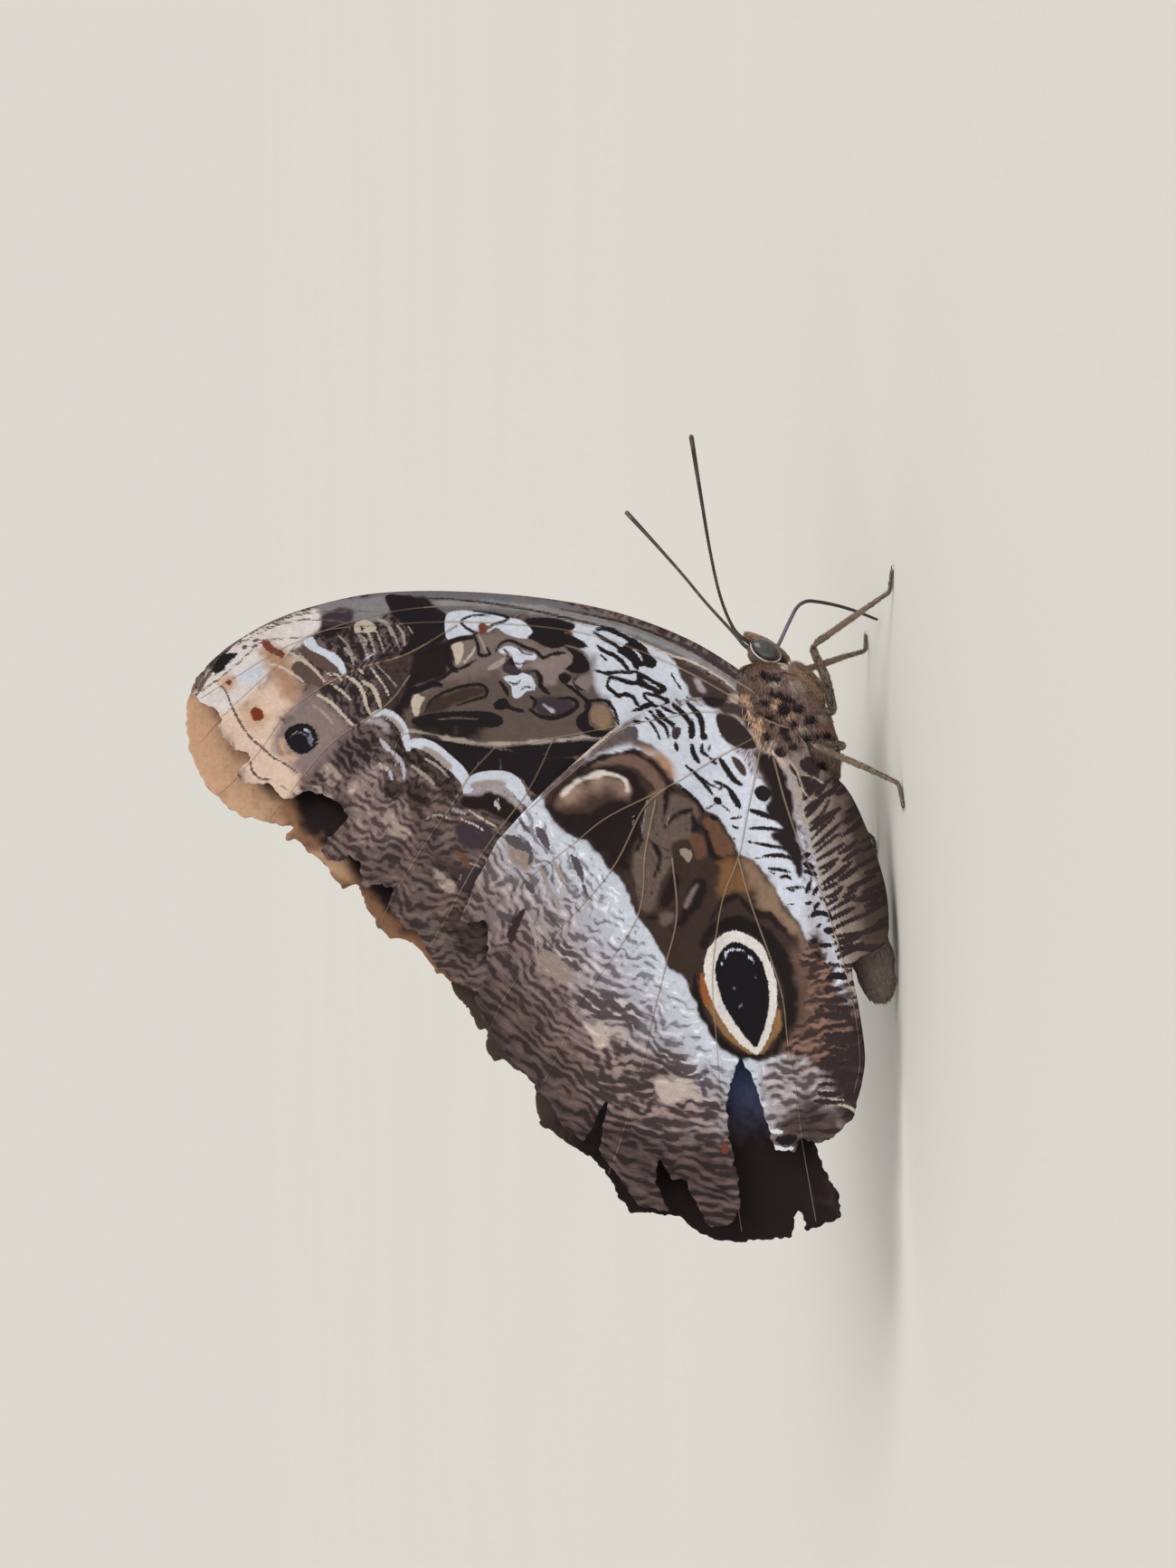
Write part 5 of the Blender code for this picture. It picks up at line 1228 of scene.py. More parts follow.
FOREWING_MARKS = marks(
    (Ink.DARK_BROWN_INK, (0.35, (24.4, 45.5), (23.4, 40.5), (22.1, 35.5), (20.2, 30.5), (18, 25.5),
      (15.6, 21.8), (13.5, 19.1))),
    (Ink.CREAM, (0.3, (22.9, 45.5), (22, 41.1), (20.6, 36.8), (19.4, 33.6), (18.1, 30.5), (16.8, 26.8),
      (14.5, 23), (12.4, 20.5))),
    (Ink.PURPLE, (0.7, (20, 29.9), (18.5, 26.8), (16, 23), (14.5, 21.1))),
    (Ink.DARK_BROWN_INK, (0.35, (25.9, 64.2), (25.5, 58), (24.8, 53), (23.9, 48), (21.6, 38))),
    (Ink.BLACK, (0, (26.2, 69.9), (26.2, 67.2), (25.5, 64.8), (24.2, 64.4), (23.9, 61.8), (22.6, 61.5),
      (20.8, 61.5), (19.9, 62), (19.8, 63.2), (19.2, 64.9), (18.5, 66.1), (18, 67.1), (18, 68),
      (19.4, 66.8), (20.8, 66.4), (22, 67.2), (23, 68), (24.2, 69.2)),
     (0.72, (21.6, 40.5), (21.5, 38.8), (20.6, 36.8), (19.6, 34.9), (18.6, 33.5)),
     (0, (20, 35.9), (19.4, 34.5), (18.2, 33.2), (16.9, 32.1), (16.1, 32.8), (16.4, 34), (16, 35.2),
      (17, 35.8), (17.8, 36.8), (18.6, 37.8), (19.2, 36.8))),
    (Ink.SNOW, (0.3, (18.8, 35.5), (18.2, 34.8), (17.2, 34.2))),
    (Ink.BLACK, (0.59, (21.2, 41), (20.2, 39.5), (19.5, 38.2), (18.8, 37.2)),
     (0.65, (19.2, 40.4), (18.5, 39.5), (17.9, 38.1), (17, 37), (15.6, 35.9)),
     (0.55, (15.8, 40.8), (15.4, 39.2), (15.6, 37.4), (15.5, 35.8), (15.8, 34.8)),
     (0.65, (14.1, 39), (14.8, 38.6), (14.5, 37.2), (14, 35.5), (14.4, 34.4), (15.1, 34.8)),
     (0, (15.6, 34.8), (15.1, 33.5), (14.4, 32.5), (13.8, 31.1), (12.8, 30.8), (12.5, 32), (13.1, 33.2),
      (13.5, 34.5), (14.5, 35))),
    (Ink.SNOW, (0.22, (14.5, 34), (13.8, 32.8), (13.2, 31.8))),
    (Ink.BLACK, (0.65, (14.2, 39), (13.4, 39), (12.8, 38.2), (12.2, 37.5), (12.5, 36.5), (12, 35.5),
      (11.2, 35), (10.6, 34.4)),
     (0.59, (12, 33.8), (12.5, 34), (12.5, 33), (12.1, 31.8), (11.4, 30.6), (10.6, 31.5), (11.1, 32.8),
      (12, 33.8)),
     (0.65, (11, 31.1), (9.6, 29.9)),
     (0, (10.1, 35.8), (10.2, 34.2), (11, 32.5), (11.4, 33.5), (10.8, 34.5)),
     (0.65, (9.5, 33.9), (8.6, 33), (7.9, 31.8), (6.9, 31), (6, 30.8)),
     (0.85, (10.6, 32.1), (9.5, 31.5), (8.6, 30.5), (8.4, 29.4)),
     (0.65, (11.8, 29.5), (10.6, 28.9), (9.4, 27.9), (8.1, 27.1), (6.6, 27)),
     (0.72, (11.9, 28), (10.6, 26.9), (9.5, 25.6), (8.8, 24.4)),
     (0.65, (9.5, 26.5), (8.2, 25.8), (6.9, 26), (6.1, 25)),
     (0.52, (8, 33.6), (7, 32.8), (5.9, 31.9))),
    (Ink.PURPLE, (0, (7.2, 30.2), (8, 29.2), (7.2, 28.8), (6.1, 29.1), (6.4, 29.9))),
    (Ink.BLACK, (0.65, (11.6, 27), (11.6, 24.2), (10.4, 22.2)),
     (0.35, (15.5, 36.8), (15.6, 35.5)),
     (0.3, (18, 40), (17, 39)),
     (0.3, (15.5, 30.2), (14.2, 29.5), (13.2, 28.8))),
    (Ink.SNOW, (0, (23.6, 61.4), (24.1, 58), (23.2, 53), (22.8, 51.1), (21.9, 49.9), (20.9, 49.2),
      (20.2, 50.5), (20.8, 53), (21.8, 54.5), (21.2, 55.5), (20.8, 58), (20.5, 59.9), (20.2, 61.4))),
    (Ink.BLACK, (0.42, (24.1, 57.8), (23.9, 56), (23.6, 54.2), (23.1, 52.8), (22.6, 53.6), (22.2, 54.9),
      (21.8, 55.5), (21.1, 56.4), (21.1, 57.6), (21.9, 58.9), (22.6, 59.4), (23.2, 58.6), (23.5, 57.2),
      (23.4, 55.4))),
    (Ink.RUST, (0, (22, 57), (22.6, 56.4), (22, 55.8), (21.1, 55.9), (21.1, 56.8))),
    (Ink.GREY, (0.3, (20.9, 57), (19.5, 56.4), (18.2, 55.8))),
    (Ink.BLACK, (0, (23, 50.5), (23.2, 48), (22.9, 45.5), (22.1, 43.4), (21.5, 43.8), (21.1, 45.2),
      (20.5, 43.6), (19.8, 42.4), (19.1, 41.6), (18.9, 43), (19.4, 44.5), (18.9, 45.8), (19, 47.4),
      (19.8, 49), (20.4, 50.2), (21.1, 49.4), (22, 49.9)),
     (0, (19.2, 45.1), (18.5, 43), (17.2, 41.8), (16, 41.5), (15.4, 42.4), (15.5, 44), (16, 44.9),
      (16.8, 44), (18, 43.9)),
     (0.5, (18.4, 54.5), (19.2, 54.2), (19.9, 53.2), (19.8, 52), (19, 50.5), (18.5, 49), (17.5, 48),
      (18, 47), (18, 45.6))),
    (Ink.SNOW, (0, (18.5, 54.2), (19.2, 53), (18.8, 51.5), (18.2, 49.9), (18, 48.9), (17.2, 49.2),
      (17.2, 50.5), (16.1, 51.1), (16.6, 52), (17.6, 52.4), (18, 53.5))),
    (Ink.PURPLE, (0, (18, 53), (17.5, 52.2), (16.4, 51.8), (15.8, 51.1), (15.8, 49), (15, 50.8),
      (15.1, 52.4), (15.8, 53.6), (17, 53.4))),
    (Ink.GREY, (0.8, (16, 55.5), (16.8, 54), (17.6, 52.8))),
    (Ink.BLACK, (0.75, (15.8, 49), (14.8, 48.4), (13.5, 48.2), (12.5, 47.1))),
    (Ink.SNOW, (0, (14.8, 53.5), (15.1, 52.4), (15.1, 51.5), (15.5, 50.8), (14.8, 49.5), (13.6, 49),
      (13, 49.2), (12.9, 50.2), (12.2, 50.9), (11.8, 51.8), (12.2, 52.2), (13.5, 52.4), (14.2, 53))),
    (Ink.BLACK, (0.6, (14.2, 54), (13.2, 53.2), (12.2, 52.8)),
     (0, (15.1, 45.9), (15.5, 44.9), (14.8, 44), (13.9, 44.8), (14.2, 45.6)),
     (0.6, (13.9, 44.9), (13, 43.6), (12, 42.4), (11, 41.5), (10, 42), (9.4, 43)),
     (0.65, (10.4, 49.9), (9.5, 48.6), (9.1, 46.8), (9.6, 44.9), (10.4, 43.6), (11.2, 43.2), (11.9, 44.2),
      (11.8, 45.8)),
     (0, (11, 54.9), (11.8, 54), (11.8, 53), (10.8, 52.4), (10.4, 50.8), (9.9, 50.5), (10, 51.8),
      (10.4, 53), (10.2, 54.2)),
     (0.5, (12.2, 49.9), (11.5, 49), (10.2, 49.5))),
    (Ink.CREAM, (0, (12.6, 65.5), (12.2, 65), (12, 64.2), (11, 64.8), (9.5, 65.1), (9.2, 65.5), (9.9, 66),
      (11.4, 66.2), (12.2, 65.9))),
    (Ink.BLACK, (1, (11.4, 67.4), (12.6, 66.5), (13.2, 64.9), (13.9, 63), (13.6, 62)),
     (0.5, (13.8, 64.2), (14.8, 61.8), (15.8, 60.5), (16.2, 59), (17.2, 57.4))),
    (Ink.CREAM, (0, (19.2, 60.8), (19.8, 59.5), (19.2, 59), (17.6, 59.2), (16.4, 59.9), (17.2, 60.2),
      (18.5, 60.5))),
    (Ink.BLACK, (0.8, (18.9, 61.1), (18, 61.5), (16.4, 60.8), (15.6, 59.9)),
     (0.7, (19.8, 60.8), (20.2, 59.2), (20.4, 57.6)),
     (0.5, (20.8, 57.6), (19.2, 57), (17.9, 56.8), (18, 55.4), (18.9, 55.8))),
    (Ink.CREAM, (0.35, (16.8, 59), (17.9, 58), (19, 57.4))),
    (Ink.BLACK, (0.5, (9.9, 64.2), (11.4, 63.6), (12.6, 61.8), (13.5, 59.2), (13.8, 56.8), (13.2, 55.8),
      (12.2, 55.9), (11.5, 58), (10.9, 59.9)),
     (0, (8.9, 66.1), (9.8, 63), (10.1, 59.2), (10, 55.5), (9.2, 53.6), (8.4, 53.5), (7.8, 54.9), (7.9, 58),
      (8, 61.8), (7.8, 64.9))),
    (Ink.WARM_GREY, (0.3, (8.8, 63), (9.1, 60.5), (9, 56.8))),
    (Ink.BLACK, (0, (6.8, 64.8), (6.1, 62.4), (5.8, 60.5), (5, 55.5), (4.1, 50.5), (3.5, 48), (3.5, 43.5),
      (1.8, 44.8), (0.2, 46.8), (-1.5, 48.5), (-0.6, 49.9), (0.9, 51.1), (1.1, 53), (1.1, 55.5),
      (0.8, 57.8), (1.9, 59), (3.4, 60.5), (5, 62.4)),
     (0, (5.2, 53), (5.5, 48), (6, 41.1), (5.5, 40.5), (4, 43), (3.5, 48), (4.1, 51.1)),
     (0.5, (9.2, 41.8), (11, 42), (11.6, 40.8), (11.5, 39.2), (10, 38), (8.2, 37.5)),
     (0, (9.5, 43), (10.1, 41.8), (8.2, 41.5), (7.4, 39.9), (7.5, 37.5), (6.6, 37.9), (6.5, 41.1),
      (7.5, 42.8), (8.6, 43.5))),
    (Ink.GLINT_DIM, (0.25, (3.5, 53.9), (2, 53.8)),
     (0.2, (4.2, 48), (4, 47.2)),
     (0.2, (3.2, 56.8), (2.5, 57))),
    (Ink.BLACK, (0.3, (18.8, 53.5), (18, 52.8), (17.2, 53.2)),
     (0.28, (19, 51.5), (18.2, 50.8), (18, 49.5)),
     (0.26, (17, 52.2), (16.6, 51.2), (16.9, 50.1)),
     (0.28, (14.2, 52.8), (13.8, 51.8), (14.5, 51)),
     (0.28, (13, 51.2), (13.5, 50.2), (13.2, 49.4)),
     (0.4, (17.4, 47.8), (18.2, 46.4), (18.2, 44.9)),
     (0.35, (15.1, 43), (14.2, 43.8), (13.2, 43), (13, 41.8))),
    (Ink.GREY, (0.3, (22.2, 72.8), (20.5, 72), (18, 71.2)),
     (0.28, (22.5, 71.9), (20.5, 70.8), (18.2, 70)),
     (0.3, (22.8, 70), (21.1, 68.8), (19, 68)),
     (0.28, (20.8, 73.6), (19, 72.8), (17.2, 72.2)),
     (0.25, (20.8, 76.5), (19.2, 75), (17.2, 73.8))),
    (Ink.SNOW, (1.2, (9.5, 71.5), (9.9, 70), (9.1, 68.4), (7.5, 67.2), (6, 66.8), (4.8, 66.5)),
     (1.8, (5.5, 66.5), (5.6, 64.9), (4.8, 63), (3.2, 61.1), (1.8, 59.5), (0.5, 58.6), (-0.8, 58.2)),
     (2.1, (-0.8, 58.5), (0.4, 57.4), (0.8, 55.5), (0.8, 53.6), (0.4, 52.4), (-0.6, 51.4), (-2.2, 50.5)),
     (1.1, (-0.8, 51.4), (-2.2, 50.2), (-3.5, 49.5))),
    (Ink.GREY, (0.25, (-0.2, 57.5), (0.1, 55.5), (0, 53.5)),
     (0.22, (4.8, 64.2), (3.8, 62.5), (2.4, 60.9)),
     (0.2, (9.2, 70), (8.5, 68.5), (7.2, 67.5))),
    (Ink.CREAM, (0.3, (-3.6, 58.1), (-4.9, 56.1), (-6, 54.2)),
     (0.28, (-4.8, 59.2), (-5.5, 57.5), (-6.4, 56))),
    (Ink.GREY, (0.5, (-3.4, 60.5), (-4.1, 58.6))),
    (Ink.CREAM, (0.55, (-2.4, 54.5), (-3.4, 54))),
    (Ink.GREY, (0.4, (3.5, 64.2), (2.5, 62.5), (1, 61)),
     (0.5, (2.6, 66.1), (1.2, 64.2), (0, 63))),
    (Ink.LAVENDER, (0, (6.4, 70.5), (5.6, 69.5), (4.5, 68.6), (4.5, 69.4), (5.4, 70.2)),
     (0.5, (4.2, 68.2), (2.5, 67.2), (0.5, 67)),
     (0.5, (2.5, 70), (1.8, 69.1), (0.5, 68.6))),
    (Ink.PALE_FOLD, (0.5, (3, 70.5), (2, 70))),
    (Ink.LAVENDER, (0.4, (4.8, 69), (3.5, 68), (2.5, 68.2))),
    (Ink.GREY, (0.35, (-9.9, 56.1), (-11.1, 54.9), (-11.8, 53)),
     (0.3, (-10.8, 58), (-11.4, 56.5)),
     (0.3, (-4.9, 64.2), (-4.2, 62.4), (-4.9, 60.5))),
    (Ink.LAVENDER, (0.2, (-12.4, 59.2), (-13.5, 59.6)),
     (0.25, (-1.8, 54), (-2.8, 54.5))),
    (Ink.CREAM, (0, (22, 74.2), (22.6, 73.5), (22.8, 72.5), (22.1, 71.4), (21.4, 71.1), (20.9, 72.2),
      (21, 73.2), (20.8, 74))),
    (Ink.BLACK, (0.3, (22.1, 73.5), (21.6, 73), (21.1, 73.1))),
    (Ink.GREY, (0.55, (22.9, 70.9), (22.1, 69.5), (20.6, 68.9)),
     (0.4, (22.2, 68.4), (20.8, 67.4), (19.2, 67.2)),
     (0.3, (22, 66.8), (20.8, 66)),
     (0.4, (18.8, 75.5), (18, 74.6), (16.4, 74.2))),
    (Ink.LAVENDER, (0.3, (17, 72.8), (17.8, 72), (18.2, 71.2))),
    (Ink.GREY, (0.35, (20.5, 73.2), (19.8, 72.5), (19, 72.8))),
    (Ink.SNOW, (0, (20.5, 80.9), (20.4, 79.9), (19.1, 79), (18.5, 77.6), (17.8, 76.4), (16.6, 75.5),
      (15.1, 75.2), (15.4, 76.1), (16.6, 77.1), (17.6, 78.9), (18.6, 80.2), (19.4, 81.1))),
    (Ink.CREAM, (0.35, (15.5, 77.2), (14.9, 76.2), (14.2, 75.8)),
     (0.3, (15.6, 78.2), (15, 77.2))),
    (Ink.STRIPE, (0, (18.6, 81.8), (18.6, 80.8), (18, 79), (17, 77.4), (15.6, 76), (15.4, 77), (15.9, 78.5),
      (16.9, 80), (17.6, 81.1)),
     (0, (16.2, 82.8), (17.1, 81.5), (15.9, 79.9), (14.2, 78.4), (13.4, 79), (14.1, 80.5), (15, 82))),
    (Ink.CREAM, (0.5, (18.6, 84), (17.5, 81.8), (16, 79.8), (14.2, 78.2)),
     (0.4, (16.8, 86.2), (16.2, 84.2), (15.2, 82.5), (14.2, 81)),
     (0.5, (12.4, 79.2), (11.2, 77.2), (9.5, 75.5), (7.8, 73.9))),
    (Ink.GREY, (0.35, (11, 79.9), (9.8, 78.2), (8.2, 76.8))),
    (Ink.CREAM, (0.4, (13.8, 77.2), (12.9, 75.9), (11.6, 74.5)),
     (0.55, (14.8, 75), (13.9, 73.6), (12.5, 72.8), (11, 72.4), (9.8, 71.9)),
     (0.6, (14.2, 73), (13.4, 71.6), (11.9, 70.8), (10.6, 70.4)),
     (0.3, (16.2, 71.9), (15, 71), (13.5, 69.9), (12, 69.2))),
    (Ink.GREY, (0.2, (16.6, 71.2), (15.4, 69.9), (13.5, 68.2))),
    (Ink.CREAM, (0.35, (16, 73.5), (15.2, 72.8))),
    (Ink.MARGIN, (0.6, (9.2, 96.5), (12.8, 95.4), (16.2, 93.2), (19.1, 91.1), (21.4, 88), (23.2, 84.2),
      (25.1, 79.9), (26.2, 75.5)),
     (0.24, (19.2, 90.2), (21.1, 86.8), (22.5, 83), (22.8, 79.9), (22.5, 75.5)),
     (0.24, (20.1, 90.8), (22.2, 85.5), (23.5, 81.8), (23.9, 78), (24, 70.5)),
     (0.2, (18.9, 88.6), (19.9, 85.5), (20.2, 83), (20.5, 79.9)),
     (0.24, (12.1, 95.9), (14.2, 93), (16.5, 90.2), (19.2, 87.4), (20.1, 86))),
    (Ink.BLACK, (0, (15, 93.2), (16.8, 93.1), (17.8, 92.2), (18.1, 91), (18, 90.1), (16.9, 90.9),
      (15.9, 91.9))),
    (Ink.WHITE, (0.3, (17.9, 90), (16.8, 91.1), (15.5, 92))),
    (Ink.STRIPE, (0.5, (18.8, 89.5), (19.1, 88.8)),
     (0.4, (19.8, 88), (20, 87.2))),
    (Ink.RUST, (0, (19.9, 87), (19.8, 85.9), (19, 85.2), (18.5, 84.2), (17.8, 83.5), (17.4, 84.1),
      (18, 85.2), (18.5, 86.2)),
     (0.9, (14, 91.5), (14, 91))),
    (Ink.DEEP_RUST, (0, (9.6, 88.2), (10.5, 87.8), (10.4, 86.9), (9.5, 86.4), (8.8, 86.8), (8.6, 87.6))),
    (Ink.MARGIN, (0.32, (14.2, 93.2), (13, 91.8), (11, 90.9), (9.5, 90.2), (7.8, 89.2), (6.2, 88),
      (5, 86.5), (3.8, 85.2), (2.8, 83.5), (1.6, 81.6)),
     (0.3, (3.1, 88.1), (1.8, 87.8), (0.8, 86.8), (0.5, 85.1))),
    (Ink.GREY, (0.3, (-0.2, 83.9), (-0.8, 83))),
    (Ink.PUPIL, (0, (7.2, 83.4), (8.1, 82.4), (8.4, 81.2), (8.1, 80), (7.2, 79.2), (6.1, 78.9), (5.1, 79.2),
      (4.4, 80.1), (4.1, 81.2), (4.6, 82.4), (5.5, 83.1), (6.4, 83.5))),
    (Ink.WARM_GREY, (0.24, (8.4, 80.4), (7.8, 79.4), (6.6, 78.9), (5.4, 79), (4.4, 79.9), (4.1, 80.8))),
    (Ink.GLINT, (0.5, (7.5, 80.8), (7.2, 80.1))),
    (Ink.GLINT_DIM, (0.22, (6.4, 82.8), (7.1, 81.9), (6.9, 80.9), (6.4, 80.2)),
     (0.7, (6.8, 80), (5.5, 79.9))),
)


FOREWING_DORSAL = washes(
    (Ink.RICH_ORANGE, (3.0, 0, 0, (10, 92), (2, 92), (-6, 84), (-16, 74), (-27, 62), (-20, 56), (-6, 68),
      (4, 78))),
    (Ink.FAR_ORANGE, (2.5, 0, 0, (14, 99), (4, 99), (-4, 91), (-8, 86), (-3, 84), (4, 89), (12, 92))),
    (Ink.BLACK_BROWN, (1.4, 0, 0, (2, 86), (-2, 82), (-6, 80), (-9, 77), (-14, 72), (-19, 66), (-14, 60),
      (0, 68), (6, 80))),
    (Ink.FAR_ORANGE, (1.2, 0, 0, (-9, 79), (-12, 77), (-13, 74), (-10, 75))),
)
HINDWING_DORSAL = washes(
    (Ink.NAVY, (7.0, 0, 0, (6, 14), (10, 30), (-6, 44), (-28, 46), (-43, 36), (-46, 24), (-42, 14),
      (-20, 4), (0, 6))),
    (Ink.BLACK_BROWN, (5.0, 0, 0, (-48, 46), (-44, 34), (-44, 20), (-46, 8), (-66, 8), (-66, 40))),
)
FOLD_DASHES = (
    Dashes(
        Ink.DARK_BROWN_INK, (-0.5, 12.6), (-27.0, 7.4), 27, 9.6, (-40, -78), (2.2, 5.2), (0.5, 0.95), 21
    ),
    Dashes(
        Ink.DARK_BROWN_INK, (-29.5, 9.5), (-43.0, 11.0), 13, 9.0, (-80, -96), (2.0, 4.8), (0.45, 0.95), 22
    ),
)


class Painter:
    """Lays grounds and marks on the points of a wing and keeps what the wing's finish reads."""

    path_step = 0.5
    fade_step = 0.6
    fade_wobble = (1.2, 7.0, 31)  # height and size of the noise, and its seed
    wash_wobbles = ((0.14, 0.5, 1.5, 17), (0.1, 0.25, 0.6, 18))  # least, more by softness, size, seed
    thin_ends = 0.45
    ink_reach = 1.5
    ink_edge = (0.55, 0.2)

    def __init__(self, places: np.ndarray, ground: Ink, ripple: float) -> None:
        """Starts with one ground and no ink.

        Args:
            places: Picture places of the points, n by 2, in millimetres.
            ground: The colour all over.
            ripple: How dense the dark ripples of the ground are, from 0 to 1.
        """
        count = len(places)
        self.places = places
        self.colours = {key: np.tile(ground.light, (count, 1)) for key in ("ground", "pale", "dark")}
        self.to_pale = np.full(count, FAR)
        self.to_dark = np.full(count, FAR)
        self.ripple = np.full(count, ripple)

    def _near(self, points: Path2, width: float, margin: float) -> tuple[np.ndarray, np.ndarray]:
        """Which points lie near a patch or a stroke, and how far they lie from its edge.

        Args:
            points: The outline of a patch, or the middle line of a stroke.
            width: The stroke's width at its middle, from where it narrows to both ends, or 0.
            margin: How far out points still count as near.

        Returns:
            The numbers of these points, and their distances to the edge, below zero inside.
        """
        path = smooth_path(points, self.path_step, width == 0)
        low, high = path.min(0) - margin - width, path.max(0) + margin + width
        near = np.nonzero(np.all((self.places > low) & (self.places < high), axis=1))[0]
        if width == 0:
            return near, signed_distance(self.places[near], path)
        away, share = distance_to_path(self.places[near], path)
        taper = 1 - self.thin_ends * np.abs(2 * share - 1) ** 3
        return near, away - width / 2 * taper

    def fade(self, fade: Fade) -> None:
        """Sets the ground and its ripples by the uneven distance from a closed edge.

        Args:
            fade: The edge, and what lies at each distance from it.
        """
        away = signed_distance(self.places, smooth_path(fade.edge, self.fade_step, True))
        height, size, seed = self.fade_wobble
        away += height * value_noise(*self.places.T, size, seed) * smoothstep(1.0, 5.0, away)
        reach, inks, ripples = zip(*fade.stops)
        lights = np.array([ink.light for ink in inks])
        self.colours["ground"] = np.stack([np.interp(away, reach, part) for part in lights.T], axis=1)
        self.ripple = np.interp(away, reach, ripples)

    def wash(self, washes: Sequence[Wash]) -> None:
        """Blends soft patches and strokes into the ground, in order.

        The share of a wash is a smooth step over its softness on both sides of its edge, which two
        sizes of noise make uneven, the more so the softer it is.

        Args:
            washes: The patches and strokes.
        """
        for wash in washes:
            near, edge = self._near(wash.points, wash.width, 2 * wash.soft)
            for least, more, size, seed in self.wash_wobbles:
                height = least + more * wash.soft
                edge = edge + height * value_noise(*self.places[near].T, size, seed)
            share = smoothstep(wash.soft, -wash.soft, edge)
            ground = self.colours["ground"]
            ground[near] = laid(ground[near], wash.ink.light, share)
            self.ripple[near] += share * (wash.ripple - self.ripple[near])

    def ink(self, marks: Sequence[Mark]) -> None:
        """Lays edged marks in order: a dark one covers, a pale one also clears the dark under it.

        Args:
            marks: The patches and strokes.
        """
        for mark in marks:
            near, edge = self._near(mark.points, mark.width, self.ink_reach)
            layer = self.colours["pale" if mark.ink.pale else "dark"]
            layer[near] = laid(layer[near], mark.ink.light, smoothstep(*self.ink_edge, edge))
            if mark.ink.pale:
                self.to_pale[near] = np.minimum(self.to_pale[near], edge)
                self.to_dark[near] = np.maximum(self.to_dark[near], -edge)
            else:
                self.to_dark[near] = np.minimum(self.to_dark[near], edge)

    def vectors(self, pole: tuple[float, float]) -> dict[str, np.ndarray]:
        """The distances to the inks' edges, and the flow round a pole.

        The flow is the distance from the pole and the turn about it times a fixed radius, so that
        ripples lie across the veins, which spread from the pole.

        Args:
            pole: Where the veins spread from.

        Returns:
            The vectors of all points, by attribute name.
        """
        away = self.places - np.array(pole)
        turn = np.arctan2(away[:, 1], away[:, 0]) * FLOW_RADIUS
        flow = np.stack([np.hypot(*away.T), turn, np.zeros(len(away))], axis=1)
        return {"ink_edges": np.stack([self.to_pale, self.to_dark, self.ripple], axis=1), "flow": flow}


class Sight:
    """Turns side picture places into places on the butterfly, and back."""

    behind = math.radians(18.0)
    above = math.radians(5.0)
    across, along = math.sin(behind), math.cos(behind)
    down, level = math.sin(above), math.cos(above)

    @classmethod
    def place(cls, picture: np.ndarray, y: np.ndarray) -> np.ndarray:
        """The x and z of what shows at picture places and lies at those y.

        Args:
            picture: Picture places, n by 2.
            y: How far to the left each lies.

        Returns:
            The x and z of each.
        """
        x = (picture[:, 0] + y * cls.across) / cls.along
        z = (picture[:, 1] - x * cls.across * cls.down - y * cls.along * cls.down) / cls.level
        return np.stack([x, z], axis=1)

    @classmethod
    def picture(cls, points: np.ndarray) -> np.ndarray:
        """Where points show: (x cos - y sin, and the part along the picture's own up).

        Args:
            points: Points of the butterfly, n by 3.

        Returns:
            Their picture places, n by 2.
        """
        x, y, z = points.T
        up = z * cls.level + x * cls.across * cls.down + y * cls.along * cls.down
        return np.stack([x * cls.along - y * cls.across, up], axis=1)


